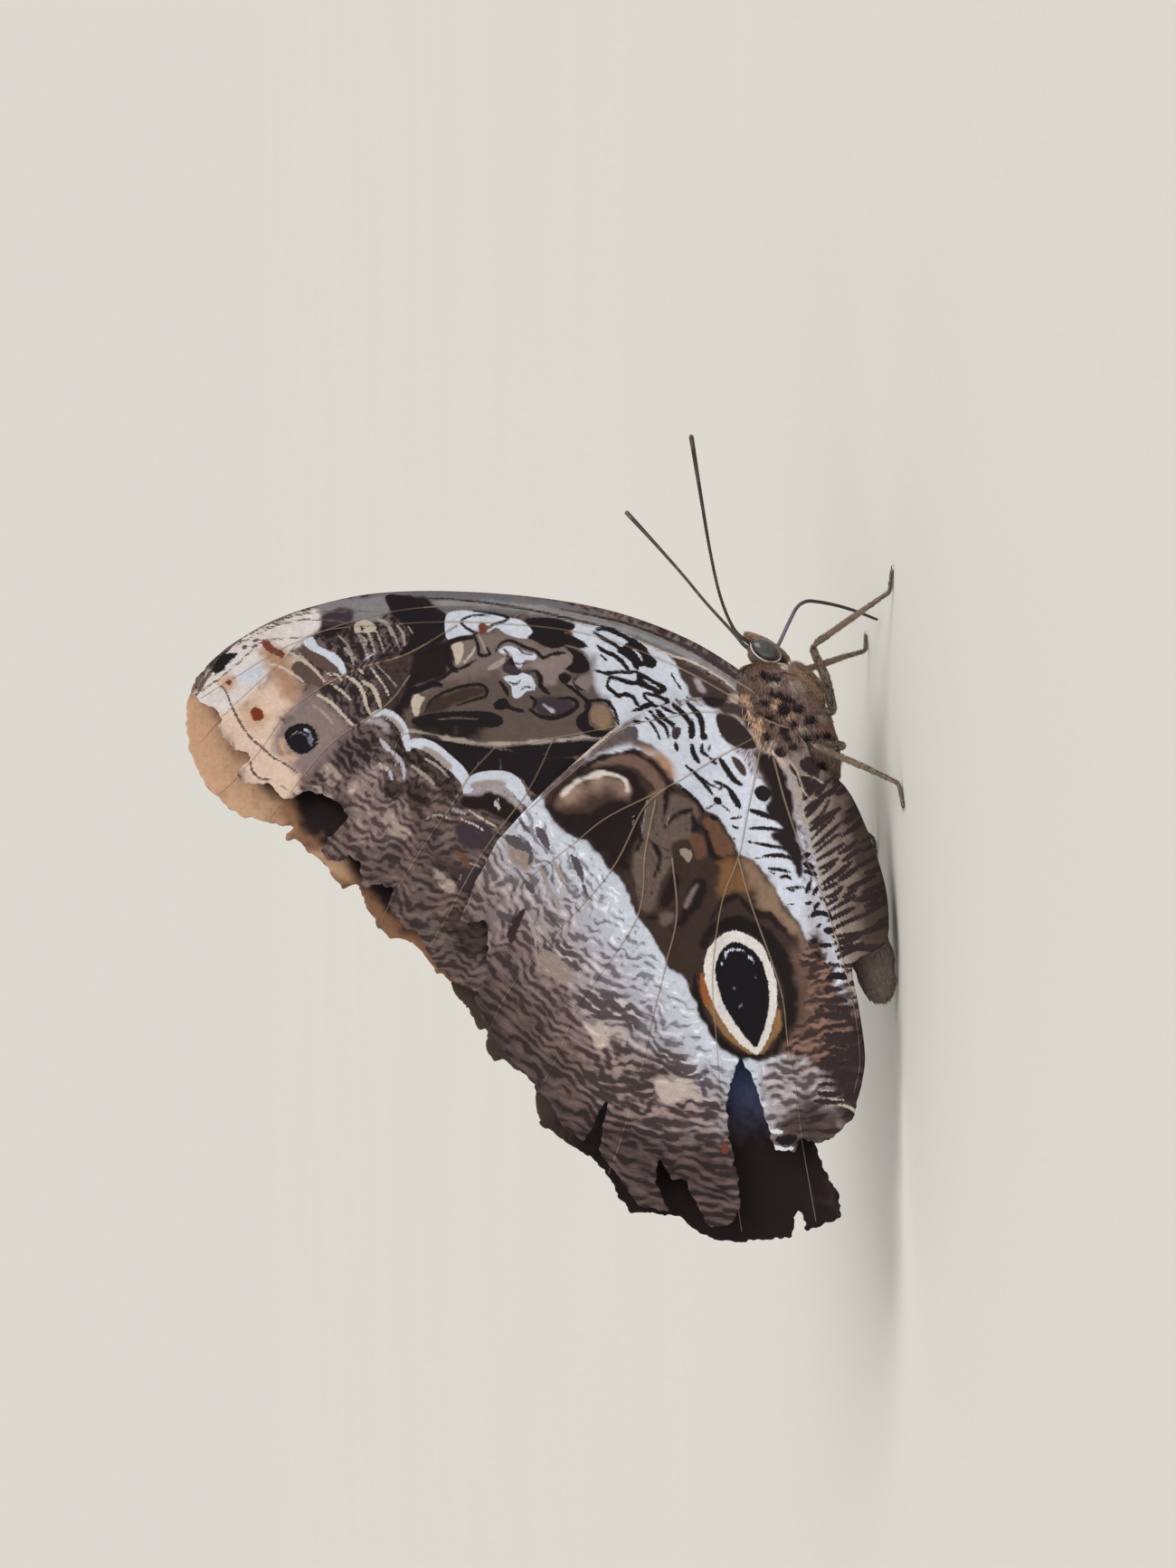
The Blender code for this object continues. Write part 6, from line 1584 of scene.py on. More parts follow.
@dataclass(frozen=True)
class WingForm:
    """The shape that the wings share: flat together, flaring round the body, slowly bent."""

    body_axis: Path2 = ((-31.8, 2.7), (-18.0, 5.2), (-6.0, 8.3), (1.0, 10.3), (9.8, 13.2), (17.6, 15.9))
    flare_inner: float = 3.0
    flare_outer: float = 15.0
    spread: float = 1.3
    curl: float = 0.85
    curl_end: float = 0.5
    reach: float = 85.0
    wave_depth: float = 0.45
    wave_length: float = 46.0
    wave_slant: float = 0.6
    near_body: float = 12.0

    def body_distance(self, flat: np.ndarray) -> tuple[np.ndarray, np.ndarray]:
        """How far points seen from the side lie from the body's axis.

        Args:
            flat: Places as x and z.

        Returns:
            The distances to the nearest run of the axis, and which places are below it there.
        """
        best = np.full(len(flat), np.inf)
        below = np.zeros(len(flat), bool)
        for a, b in zip(np.array(self.body_axis), np.array(self.body_axis[1:])):
            run = b - a
            t = np.clip(((flat - a) @ run) / (run @ run), 0, 1)
            near = a + t[:, None] * run
            away = np.hypot(*(flat - near).T)
            nearer = away < best
            best = np.where(nearer, away, best)
            below = np.where(nearer, flat[:, 1] < near[:, 1], below)
        return best, below

    def offset(self, flat: np.ndarray, layer: float, flare: float) -> np.ndarray:
        """How far a wing's middle surface stands from the plane between the wings.

        It is the wing's own layer, a flare that a smooth step ends away from the body, and a spread
        with the square of the distance. Below the body the wing curls in as a circle's edge does.

        Args:
            flat: Places as x and z.
            layer: How far the wing's flat part stands out.
            flare: How much further its root does.

        Returns:
            One distance for each place.
        """
        away, below = self.body_distance(flat)
        offset = layer + flare * (1 - smoothstep(self.flare_inner, self.flare_outer, away))
        offset += self.spread * (np.clip(away, 0, self.reach) / self.reach) ** 2
        curled = np.sqrt(np.clip((layer + flare) ** 2 - self.curl * away**2, self.curl_end, None))
        return np.where(below, np.minimum(offset, curled), offset)

    def wave(self, flat: np.ndarray) -> np.ndarray:
        """The slow sine bend that all four wings share, none of it at the body.

        Args:
            flat: Places as x and z.

        Returns:
            How far each is moved along Y.
        """
        away, _ = self.body_distance(flat)
        hold = np.clip((away - self.near_body) / (self.reach - self.near_body), 0, 1)
        along = flat[:, 0] + self.wave_slant * flat[:, 1]
        return self.wave_depth * hold * np.sin(along * math.tau / self.wave_length)


@dataclass
class Wing:
    """One wing: a thin double sheet with its pattern, and veins raised on both faces.

    Rough and frays are noises that are added up, each with its height, size and seed.
    """

    kind: str
    side: int
    leading: Path2
    worn: Path2
    trailing: Path2
    veins: tuple[Path2, ...]
    layer: float
    flare: float
    pole: tuple[float, float]
    fade: Optional[Fade]
    grounds: tuple[Wash, ...]
    marks: Sequence[Mark]
    dorsal: tuple[Wash, ...]
    step: float
    hairs: int
    thick_edge: float = 0.12
    thick_inside: float = 0.34
    thick_reach: float = 4.0
    relief_reach: float = 2.5
    rough: tuple[Point3, ...] = ((0.05, 4.0, 3), (0.018, 0.9, 5))
    trough_depth: float = 0.11
    trough_width: float = 1.3
    fray: float = 0.34
    frays: tuple[Point3, ...] = ((0.7, 1.6, 11), (0.6, 0.62, 12))
    vein_root: float = 0.17
    vein_tip: float = 0.06
    vein_sides: int = 6
    vein_sunk: float = 0.15
    vein_shares: tuple[tuple[str, float], ...] = (("ground", 0.5), ("pale", 0.6), ("dark", 0.25))
    margin: float = 1.5
    hair_low: tuple[float, float] = (-3.0, 6.0)
    hair_high: tuple[float, float] = (15.0, 21.0)
    hair_ahead: tuple[float, float] = (3.0, 7.5)
    hair_reach: tuple[float, float] = (7.2, 3.2)
    hair_lie: Point3 = (-1.0, 0.0, 0.12)
    hair_length: tuple[float, float] = (0.8, 1.7)
    hair_width: tuple[float, float] = (0.05, 0.09)
    hair_lift: tuple[float, float] = (0.1, 0.32)
    form: WingForm = WingForm()

    @property
    def name(self) -> str:
        """The wing's name, which is also its solid's."""
        return f"{self.kind}_{SIDE_NAMES[self.side]}"

    def _placed(self, picture: np.ndarray) -> np.ndarray:
        """Picture points as x and z, found by turns with the wing's distance from the middle.

        Args:
            picture: Picture places, n by 2.

        Returns:
            The x and z of each.
        """
        y = np.full(len(picture), self.side * self.layer)
        for _ in range(5):
            flat = Sight.place(picture, y)
            y = self.side * self.form.offset(flat, self.layer, self.flare)
        return flat

    def outline(self) -> np.ndarray:
        """The wing's edge as x and z: smooth in front and behind, and worn at the outer margin."""
        front, behind = (smooth_path(edge, 1.5) for edge in (self.leading, self.trailing))
        return self._placed(np.vstack([front, np.array(self.worn, float), behind]))

    def vein_paths(self, step: float) -> list[np.ndarray]:
        """The veins as x and z."""
        return [self._placed(smooth_path(vein, step)) for vein in self.veins]

    def _relief(self, flat: np.ndarray, inner: bool) -> np.ndarray:
        """How far a face stands out: shallow troughs between the veins and a fine unevenness.

        Args:
            flat: Places as x and z.
            inner: Whether the face looks inwards.

        Returns:
            One height for each place.
        """
        near = np.full(len(flat), np.inf)
        for path in self.vein_paths(2.0):
            near = np.minimum(near, distance_to_path(flat, path)[0])
        trough = self.trough_depth * np.exp(-((near / self.trough_width) ** 2))
        rough = sum(height * value_noise(*flat.T, size, seed) for height, size, seed in self.rough)
        return (-trough if inner else trough) + rough

    def surface(self, flat: np.ndarray, edge: np.ndarray, inner: bool) -> np.ndarray:
        """Points of one face at x and z.

        Args:
            flat: The places as x and z.
            edge: The signed distance of each to the wing's edge.
            inner: Whether it is the face towards the other wings.

        Returns:
            Points as x, y and z: the middle surface, half a thickness to one side, and relief.
        """
        swell = smoothstep(0, self.thick_reach, -edge)
        thick = self.thick_edge + (self.thick_inside - self.thick_edge) * swell
        offset = self.form.offset(flat, self.layer, self.flare)
        hold = smoothstep(0, self.relief_reach, -edge)
        offset = offset + (-thick / 2 if inner else thick / 2) + hold * self._relief(flat, inner)
        y = self.side * offset + self.form.wave(flat)
        return np.stack([flat[:, 0], y, flat[:, 1]], axis=1)

    def _lattice(self) -> tuple[np.ndarray, np.ndarray, np.ndarray]:
        """A square lattice over the wing, its points near the edge drawn on to the edge.

        A point moves against the slope of the edge distance, by that distance over the slope's
        square. Noise frays the distance along the worn margin.

        Returns:
            The places as x and z, their edge distances, and which of them the wing keeps.
        """
        outline = self.outline()
        worn = self._placed(np.array(self.worn, float))
        low, high = outline.min(0) - self.margin, outline.max(0) + self.margin
        xs = np.arange(low[0], high[0], self.step)
        zs = np.arange(low[1], high[1], self.step)
        grid = np.stack(np.meshgrid(xs, zs, indexing="ij"), axis=-1)
        flat = grid.reshape(-1, 2)
        edge = signed_distance(flat, outline)
        frayed = smoothstep(3.0, 1.0, distance_to_path(flat, worn)[0])
        frayed *= smoothstep(2.0, 0.6, np.abs(edge))
        noise = sum(height * value_noise(*flat.T, size, seed) for height, size, seed in self.frays)
        edge = (edge + self.fray * frayed * noise).reshape(grid.shape[:2])
        slope = np.stack(np.gradient(edge, self.step), axis=-1)
        pull = np.where(np.abs(edge) < self.step / 2, edge, 0)[..., None] * slope
        grid = grid - pull / np.maximum((slope**2).sum(-1, keepdims=True), 0.5)
        return grid, edge, edge < self.step / 2

    def sheet(self) -> tuple[Shape, int]:
        """The double sheet: two faces of one lattice, with a strip of quads round their rims.

        Each whole cell gives two triangles, and a cell with one corner outside gives one.

        Returns:
            The shape, and the number of points of one face.
        """
        grid, edge, kept = self._lattice()
        number = np.arange(edge.size).reshape(edge.shape)
        a, b, c, d = number[:-1, :-1], number[1:, :-1], number[1:, 1:], number[:-1, 1:]
        corners = np.stack([a, b, c, d], axis=-1).reshape(-1, 4)
        held = kept.ravel()[corners]
        full = corners[held.all(1)]
        triangles = [full[:, [0, 1, 2]], full[:, [0, 2, 3]]]
        for missing in range(4):
            three = corners[(held.sum(1) == 3) & ~held[:, missing]]
            triangles.append(np.delete(three, missing, axis=1))
        triangles = np.vstack(triangles)
        used, triangles = np.unique(triangles, return_inverse=True)
        triangles = triangles.reshape(-1, 3)
        flat, edge = grid.reshape(-1, 2)[used], np.minimum(edge.ravel()[used], 0)
        if self.side == LEFT:
            triangles = triangles[:, ::-1]
        count = len(flat)
        pairs = np.vstack([triangles[:, [0, 1]], triangles[:, [1, 2]], triangles[:, [2, 0]]])
        keys = pairs.min(1) * count + pairs.max(1)
        _, first, times = np.unique(keys, return_index=True, return_counts=True)
        rim = pairs[first[times == 1]]
        strips = np.stack([rim[:, 1], rim[:, 0], rim[:, 0] + count, rim[:, 1] + count], axis=1)
        points = np.vstack([self.surface(flat, edge, False), self.surface(flat, edge, True)])
        return Shape(points, [triangles, triangles[:, ::-1] + count, strips]), count

    def paint(self, points: np.ndarray, inner: np.ndarray) -> tuple[dict, dict]:
        """Colours and vectors of the pattern at points of the wing.

        Args:
            points: Places on the wing.
            inner: Which of them are on the face towards the other wings.

        Returns:
            Colours by attribute name, and vectors by attribute name.
        """
        own = points.copy()
        if self.side == LEFT:
            own[:, 1] *= -1
        places = Sight.picture(own)
        outer = Painter(places[~inner], Ink.DIM_TAUPE, 0.5)
        if self.fade:
            outer.fade(self.fade)
        outer.wash(self.grounds)
        outer.ink(self.marks)
        hidden = Painter(places[inner], Ink.BROWN, 0.1)
        hidden.wash(self.dorsal)
        colours, vectors = {}, {}
        for key in outer.colours:
            colours[key] = np.zeros((len(points), 3))
            colours[key][~inner], colours[key][inner] = outer.colours[key], hidden.colours[key]
        seen, unseen = outer.vectors(self.pole), hidden.vectors(self.pole)
        for key in seen:
            vectors[key] = np.zeros((len(points), 3))
            vectors[key][~inner], vectors[key][inner] = seen[key], unseen[key]
        return colours, vectors

    def vein_tubes(self) -> tuple[Shape, np.ndarray]:
        """Tapered tubes half sunk in both faces, each cut off where it leaves the wing.

        Returns:
            The tubes as one shape, and which of their points are on the inner face.
        """
        outline = self.outline()
        shapes, inner = [], []
        for path in self.vein_paths(0.7):
            outside = np.nonzero(signed_distance(path, outline) > -self.vein_sunk)[0]
            outside = outside[outside > 4]
            path = path[: outside[0]] if len(outside) else path
            edge = np.minimum(signed_distance(path, outline), 0)
            radii = np.linspace(self.vein_root, self.vein_tip, len(path))
            for face in (False, True):
                shapes.append(tube(self.surface(path, edge, face), radii, self.vein_sides))
                inner.append(np.full(len(shapes[-1].points), face))
        return Shape.joined(shapes), np.concatenate(inner)

    def root_hair(self, shop: Workshop, pattern: BodyPattern) -> None:
        """Hair like the thorax's, with its markings, where the wing leaves the body.

        Args:
            shop: Where the piece is made.
            pattern: The body's markings.
        """
        rng = np.random.default_rng(51)
        low, high = np.array(self.hair_low), np.array(self.hair_high)
        flat = rng.uniform(low, high, (self.hairs * 8, 2))
        away, _ = self.form.body_distance(flat)
        edge = signed_distance(flat, self.outline())
        dense = smoothstep(*self.hair_reach, away) * smoothstep(*self.hair_ahead, flat[:, 0])
        kept = (edge < -0.05) & (rng.uniform(0, 1, len(flat)) < dense)
        flat, edge = flat[kept][: self.hairs], edge[kept][: self.hairs]
        roots = self.surface(flat, edge, False)
        along = self.surface(flat + [0.1, 0], edge, False) - roots
        rise = self.surface(flat + [0, 0.1], edge, False) - roots
        normals = unit(np.cross(rise, along)) * self.side
        lie = np.array(self.hair_lie) + rng.normal(0, 0.2, roots.shape)
        lie = along_surface(lie, normals)
        length = rng.uniform(*self.hair_length, len(flat))
        width = rng.uniform(*self.hair_width, len(flat))
        lift = rng.uniform(*self.hair_lift, len(flat))
        shape, colours, corners = Coat(seed=52, sink=0.05).grow(
            roots, normals, lie, length, width, lift, pattern.tint(roots), (flat - low) / (high - low)
        )
        name = f"{self.name}_root_hair"
        shop.piece(name, shape, "body_fur", {"tint": colours}, corners=corners)

    def build(self, shop: Workshop) -> None:
        """Makes the sheet, and the veins with a share of their own colour in each layer.

        Args:
            shop: Where the pieces are made.
        """
        shape, count = self.sheet()
        inner = np.arange(len(shape.points)) >= count
        colours, vectors = self.paint(shape.points, inner)
        shop.piece(f"{self.name}_sheet", shape, "wing_scales", colours, vectors, [self.name])
        shape, inner = self.vein_tubes()
        colours, vectors = self.paint(shape.points, inner)
        for key, share in self.vein_shares:
            colours[key] = colours[key] * (1 - share) + Ink.VEIN.light * share
        shop.piece(f"{self.name}_veins", shape, "wing_scales", colours, vectors)


@dataclass(frozen=True)
class BodyForm:
    """The trunk of the body: upright oval sections along X, from the tail's tip to the face."""

    stations: tuple[tuple[float, float, float, float], ...] = (
        (-31.8, 2.6, 0.5, 0.8), (-30.6, 2.6, 1.4, 2.0), (-28.0, 2.85, 2.35, 3.0), (-24.0, 3.8, 3.1, 3.45),
        (-18.0, 5.2, 3.6, 3.75), (-12.0, 6.7, 3.75, 3.85), (-6.0, 8.3, 3.6, 3.8), (-1.5, 9.6, 3.2, 3.6),
        (0.7, 10.2, 2.9, 3.4), (2.0, 10.6, 3.5, 4.0), (4.0, 11.2, 4.4, 4.7), (6.6, 12.1, 5.1, 5.2),
        (9.8, 13.2, 5.2, 5.4), (12.8, 14.5, 4.8, 5.1), (15.4, 15.7, 3.9, 4.6), (17.0, 16.6, 2.6, 3.6),
        (17.8, 16.9, 1.5, 2.0),
    )
    head_centre: tuple[float, float] = (18.6, 16.7)
    head_reach: float = 1.903
    head_width: float = 2.3
    head_height: float = 1.915
    head_slope: float = 0.709
    sunk: float = 0.34
    neck: tuple[float, float] = (16.8, 17.9)
    rings: int = 7
    ring_span: tuple[float, float] = (-31.8, 0.7)
    ring_depth: float = 0.04
    tail: float = -31.5
    face: float = 20.46

    def section(self, x: np.ndarray) -> tuple[np.ndarray, np.ndarray, np.ndarray]:
        """Height of the centre, half width and half height of the skin at x.

        The trunk's own sections pass into those of the tilted oval head between the neck and the
        face, and all are sunk by the coat's depth.

        Args:
            x: Places along the body.

        Returns:
            The three measures at each place.
        """
        px, height, width, tall = (np.array(c, float) for c in zip(*self.stations))
        height, width, tall = (np.interp(x, px, smooth) for smooth in (height, width, tall))
        first, last = self.ring_span
        turn = (x - first) / (last - first) * self.rings * math.tau
        waist = 1 - self.ring_depth * np.cos(turn) * (x < last)
        away = np.clip((x - self.head_centre[0]) / self.head_reach, -0.999, 0.999)
        full = np.sqrt(1 - away**2)
        share = smoothstep(*self.neck, x)
        tilted = self.head_centre[1] + self.head_slope * (x - self.head_centre[0])
        height = height * (1 - share) + tilted * share
        width = width * waist * (1 - share) + self.head_width * full * share
        tall = tall * waist * (1 - share) + self.head_height * full * share
        return height, np.maximum(width - self.sunk, 0.05), np.maximum(tall - self.sunk, 0.05)

    def point(self, x: np.ndarray, turn: np.ndarray) -> np.ndarray:
        """Points of the skin at x and an angle round it, kept above the floor.

        Args:
            x: Places along the body.
            turn: Angles round it, from its left flank up.

        Returns:
            The points, along a last axis of 3.
        """
        height, width, tall = self.section(x)
        z = np.maximum(height + tall * np.sin(turn), self.sunk * 0.6)
        return np.stack([x, width * np.cos(turn), z], axis=-1)

    def frame(self, x: np.ndarray, turn: np.ndarray) -> tuple[np.ndarray, np.ndarray]:
        """Points of the skin and the directions straight out from it.

        Args:
            x: Places along the body.
            turn: Angles round it, from its left flank up.

        Returns:
            The points, and their directions at length one.
        """
        here = self.point(x, turn)
        ahead = self.point(x + 0.05, turn) - self.point(x - 0.05, turn)
        round_ = self.point(x, turn + 0.02) - self.point(x, turn - 0.02)
        return here, unit(np.cross(round_, ahead))


@dataclass(frozen=True)
class BodyPattern:
    """The body's markings, which the skin and the coat share.

    Spots, lights, roots and cheeks are round: forward, up and radius in the side picture.
    """

    trunk: Rgb = (138, 114, 107)
    back: Rgb = (116, 93, 82)
    breast: Rgb = (190, 146, 116)
    collar: Rgb = (122, 96, 82)
    crest: Rgb = (124, 104, 90)
    face: Rgb = (122, 106, 96)
    tail: Rgb = (122, 107, 101)
    root: Rgb = (204, 168, 140)
    cheek: Rgb = EYE_RIM
    spot: Rgb = (46, 34, 38)
    light: Rgb = (172, 156, 147)
    spots: Path3 = (
        (12.1, 17.4, 0.5), (11.0, 15.0, 0.75), (11.1, 12.9, 0.65), (13.3, 16.6, 0.42), (12.9, 15.6, 0.45),
        (12.5, 14.6, 0.45), (12.1, 13.8, 0.45), (15.6, 17.5, 0.5), (15.2, 16.6, 0.5), (15.0, 15.8, 0.4),
        (8.8, 16.1, 0.5), (9.9, 16.5, 0.4), (9.0, 13.6, 0.5), (7.9, 14.7, 0.65), (6.9, 14.1, 0.6),
        (5.9, 13.4, 0.55), (9.4, 11.4, 0.75), (6.9, 11.9, 0.75), (7.4, 10.4, 0.4), (7.5, 9.1, 0.4),
        (5.9, 9.0, 0.35), (5.6, 7.8, 0.35), (7.3, 17.0, 0.55), (10.1, 18.3, 0.4), (5.2, 15.3, 0.55),
        (3.6, 12.4, 0.6), (3.4, 9.6, 0.5), (1.6, 11.2, 0.5),
    )
    lights: Path3 = (
        (14.5, 16.0, 0.6), (14.2, 13.2, 1.0), (8.2, 12.3, 0.5), (6.2, 16.4, 0.6), (5.0, 12.0, 0.4),
        (9.8, 9.6, 0.6), (12.3, 17.6, 0.4),
    )
    roots: Path3 = (
        (11.6, 15.9, 0.5), (9.5, 18.6, 0.9), (7.8, 18.0, 0.8), (10.2, 13.9, 0.4), (5.2, 16.6, 0.5),
        (12.4, 20.0, 0.6), (11.2, 19.7, 0.8), (10.0, 19.3, 0.9), (8.6, 18.9, 0.9), (7.2, 18.6, 0.8),
        (6.0, 18.4, 0.6),
    )
    cheeks: Path3 = ((16.8, 14.7, 0.8), (17.2, 15.4, 0.5), (17.8, 14.9, 0.5))

    def tint(self, points: np.ndarray) -> np.ndarray:
        """The coat's colour at points, in linear light.

        Each region is a smooth step of x, z or a slanted line of both, laid over those before it.

        Args:
            points: Places on the skin or roots of hairs.

        Returns:
            Colours: regions that fade into one another, then round spots on both flanks.
        """
        x, y, z = points.T
        noise = value_noise(x, z + y, 1.1, 21)
        slant = smoothstep(1.4, 4.4, x - 0.9 * (z - 7.0) - 6.5)
        regions = (
            (self.tail, smoothstep(1.5, -1.5, x)),
            (self.back, smoothstep(2.5, 5.0, z - 9.8 - 0.32 * x) * smoothstep(-4, 2, x)),
            (self.breast, slant * smoothstep(4, 8, x)),
            (self.collar, smoothstep(1.1, 0.4, np.abs(x - 16.9 + 0.15 * noise))),
            (self.face, smoothstep(17.3, 18.2, x)),
            (self.crest, smoothstep(16.9, 18.3, z) * smoothstep(17.6, 18.4, x)),
        )
        tint = np.tile(linear(self.trunk), (len(points), 1))
        for colour, share in regions:
            tint = laid(tint, linear(colour), share)
        places = Sight.picture(np.stack([x, -np.abs(y), z], axis=1))
        flank = (np.abs(y) > 1.2) * (x < 17.0)
        families = ((self.root, self.roots), (self.light, self.lights), (self.spot, self.spots))
        for colour, spots in families:
            for forward, up, radius in spots:
                away = np.hypot(places[:, 0] - forward, (places[:, 1] - up) * 0.85) + 0.16 * noise
                share = smoothstep(radius + 0.2, radius - 0.15, away) * flank
                tint = laid(tint, linear(colour), share)
        for forward, up, radius in self.cheeks:
            away = np.hypot(places[:, 0] - forward, places[:, 1] - up) + 0.1 * noise
            share = smoothstep(radius + 0.15, radius - 0.15, away) * (np.abs(y) > 1.0)
            tint = laid(tint, linear(self.cheek), share)
        return tint


# A tuft has three points at its root, three halfway and one at its tip. These are its faces, how light
# each point is (painted shade darkens the root, deep in the coat, and painted light brightens the
# tip), and where each lies on the tuft's square patch of the unwrapped skin.
TUFT_FACES = (
    (0, 1, 4), (0, 4, 3), (1, 2, 5), (1, 5, 4), (2, 0, 3), (2, 3, 5),
    (3, 4, 6), (4, 5, 6), (5, 3, 6), (0, 2, 1),
)
TUFT_PAINTED_SHADE = (0.72, 0.72, 0.72, 1.0, 1.0, 1.0, 1.22)
TUFT_PATCH = ((0, 0), (1, 0), (0.5, 0.2), (0, 0.5), (1, 0.5), (0.5, 0.6), (0.5, 1))


@dataclass
class Coat:
    """Tufts of hair or long scales as one mesh: flat tapered locks that rise and lie along.

    A stage is a share of a tuft's length and the share of its width there.
    """

    seed: int
    sink: float = 0.12
    patch: float = 0.003
    stages: tuple[tuple[float, float], ...] = ((0.0, 0.85), (0.5, 0.8))
    keel: float = 0.7
    shades: tuple[float, float] = (0.78, 1.18)
    floor: float = 0.03

    def grow(
        self,
        roots: np.ndarray,
        normals: np.ndarray,
        lie: np.ndarray,
        length: np.ndarray,
        width: np.ndarray,
        lift: np.ndarray,
        tint: np.ndarray,
        unwrap: np.ndarray,
        droop: float = 0.55,
    ) -> tuple[Shape, np.ndarray, np.ndarray]:
        """The tufts' shape, colours and their patches on the unwrapped skin.

        A tuft's middle line is root + lie * length * t + normal * length * lift * (t - droop t^2),
        and three sides of it narrow to a tip.

        Args:
            roots: Places on the skin.
            normals: Directions straight out from it.
            lie: Directions along which the coat lies.
            length: Lengths of the tufts.
            width: Half widths at the root.
            lift: How steeply each one leaves the skin.
            tint: Colours.
            unwrap: Places of the roots on the unwrapped skin, 0 to 1.
            droop: How far a tuft falls back towards the skin at its tip.

        Returns:
            The shape, the colours of its points, and a place for each corner of each face.
        """
        count = len(roots)
        side = unit(np.cross(normals, lie))
        rng = np.random.default_rng(self.seed)
        rows = []
        for t, share in self.stages:
            middle = roots + lie * (length * t)[:, None]
            rise = length * lift * (t - droop * t * t) - self.sink * (t == 0)
            middle = middle + normals * rise[:, None]
            for across, out in ((-1.0, 0.0), (1.0, 0.0), (0.0, self.keel)):
                rows.append(middle + (side * across + normals * out) * (width * share)[:, None])
        tip = roots + lie * length[:, None] + normals * (length * lift * (1 - droop))[:, None]
        rows.append(tip)
        points = np.stack(rows, axis=1)
        points[..., 2] = np.maximum(points[..., 2], self.floor)
        pattern = np.array(TUFT_FACES)
        faces = (np.arange(count) * len(rows))[:, None, None] + pattern
        shade = rng.uniform(*self.shades, (count, 1, 1))
        # painted shade at each tuft's root and painted light at its tip
        painted_shading = np.array(TUFT_PAINTED_SHADE)[None, :, None]
        colours = np.clip(tint[:, None, :] * shade * painted_shading, 0, 1)
        local = np.array(TUFT_PATCH) - 0.5
        corners = unwrap[:, None, None, :] + local[pattern][None] * self.patch
        shape = Shape(points.reshape(-1, 3), [faces.reshape(-1, 3)])
        return shape, colours.reshape(-1, 3), corners.reshape(-1, 2)


@dataclass(frozen=True)
class CoatArea:
    """One piece of the coat: its name, where it grows and the size of its tufts."""

    name: str
    count: int
    span: tuple[float, float]
    turns: tuple[float, float]
    length: float
    spread: float
    width: float
    lift: float
    seed: int


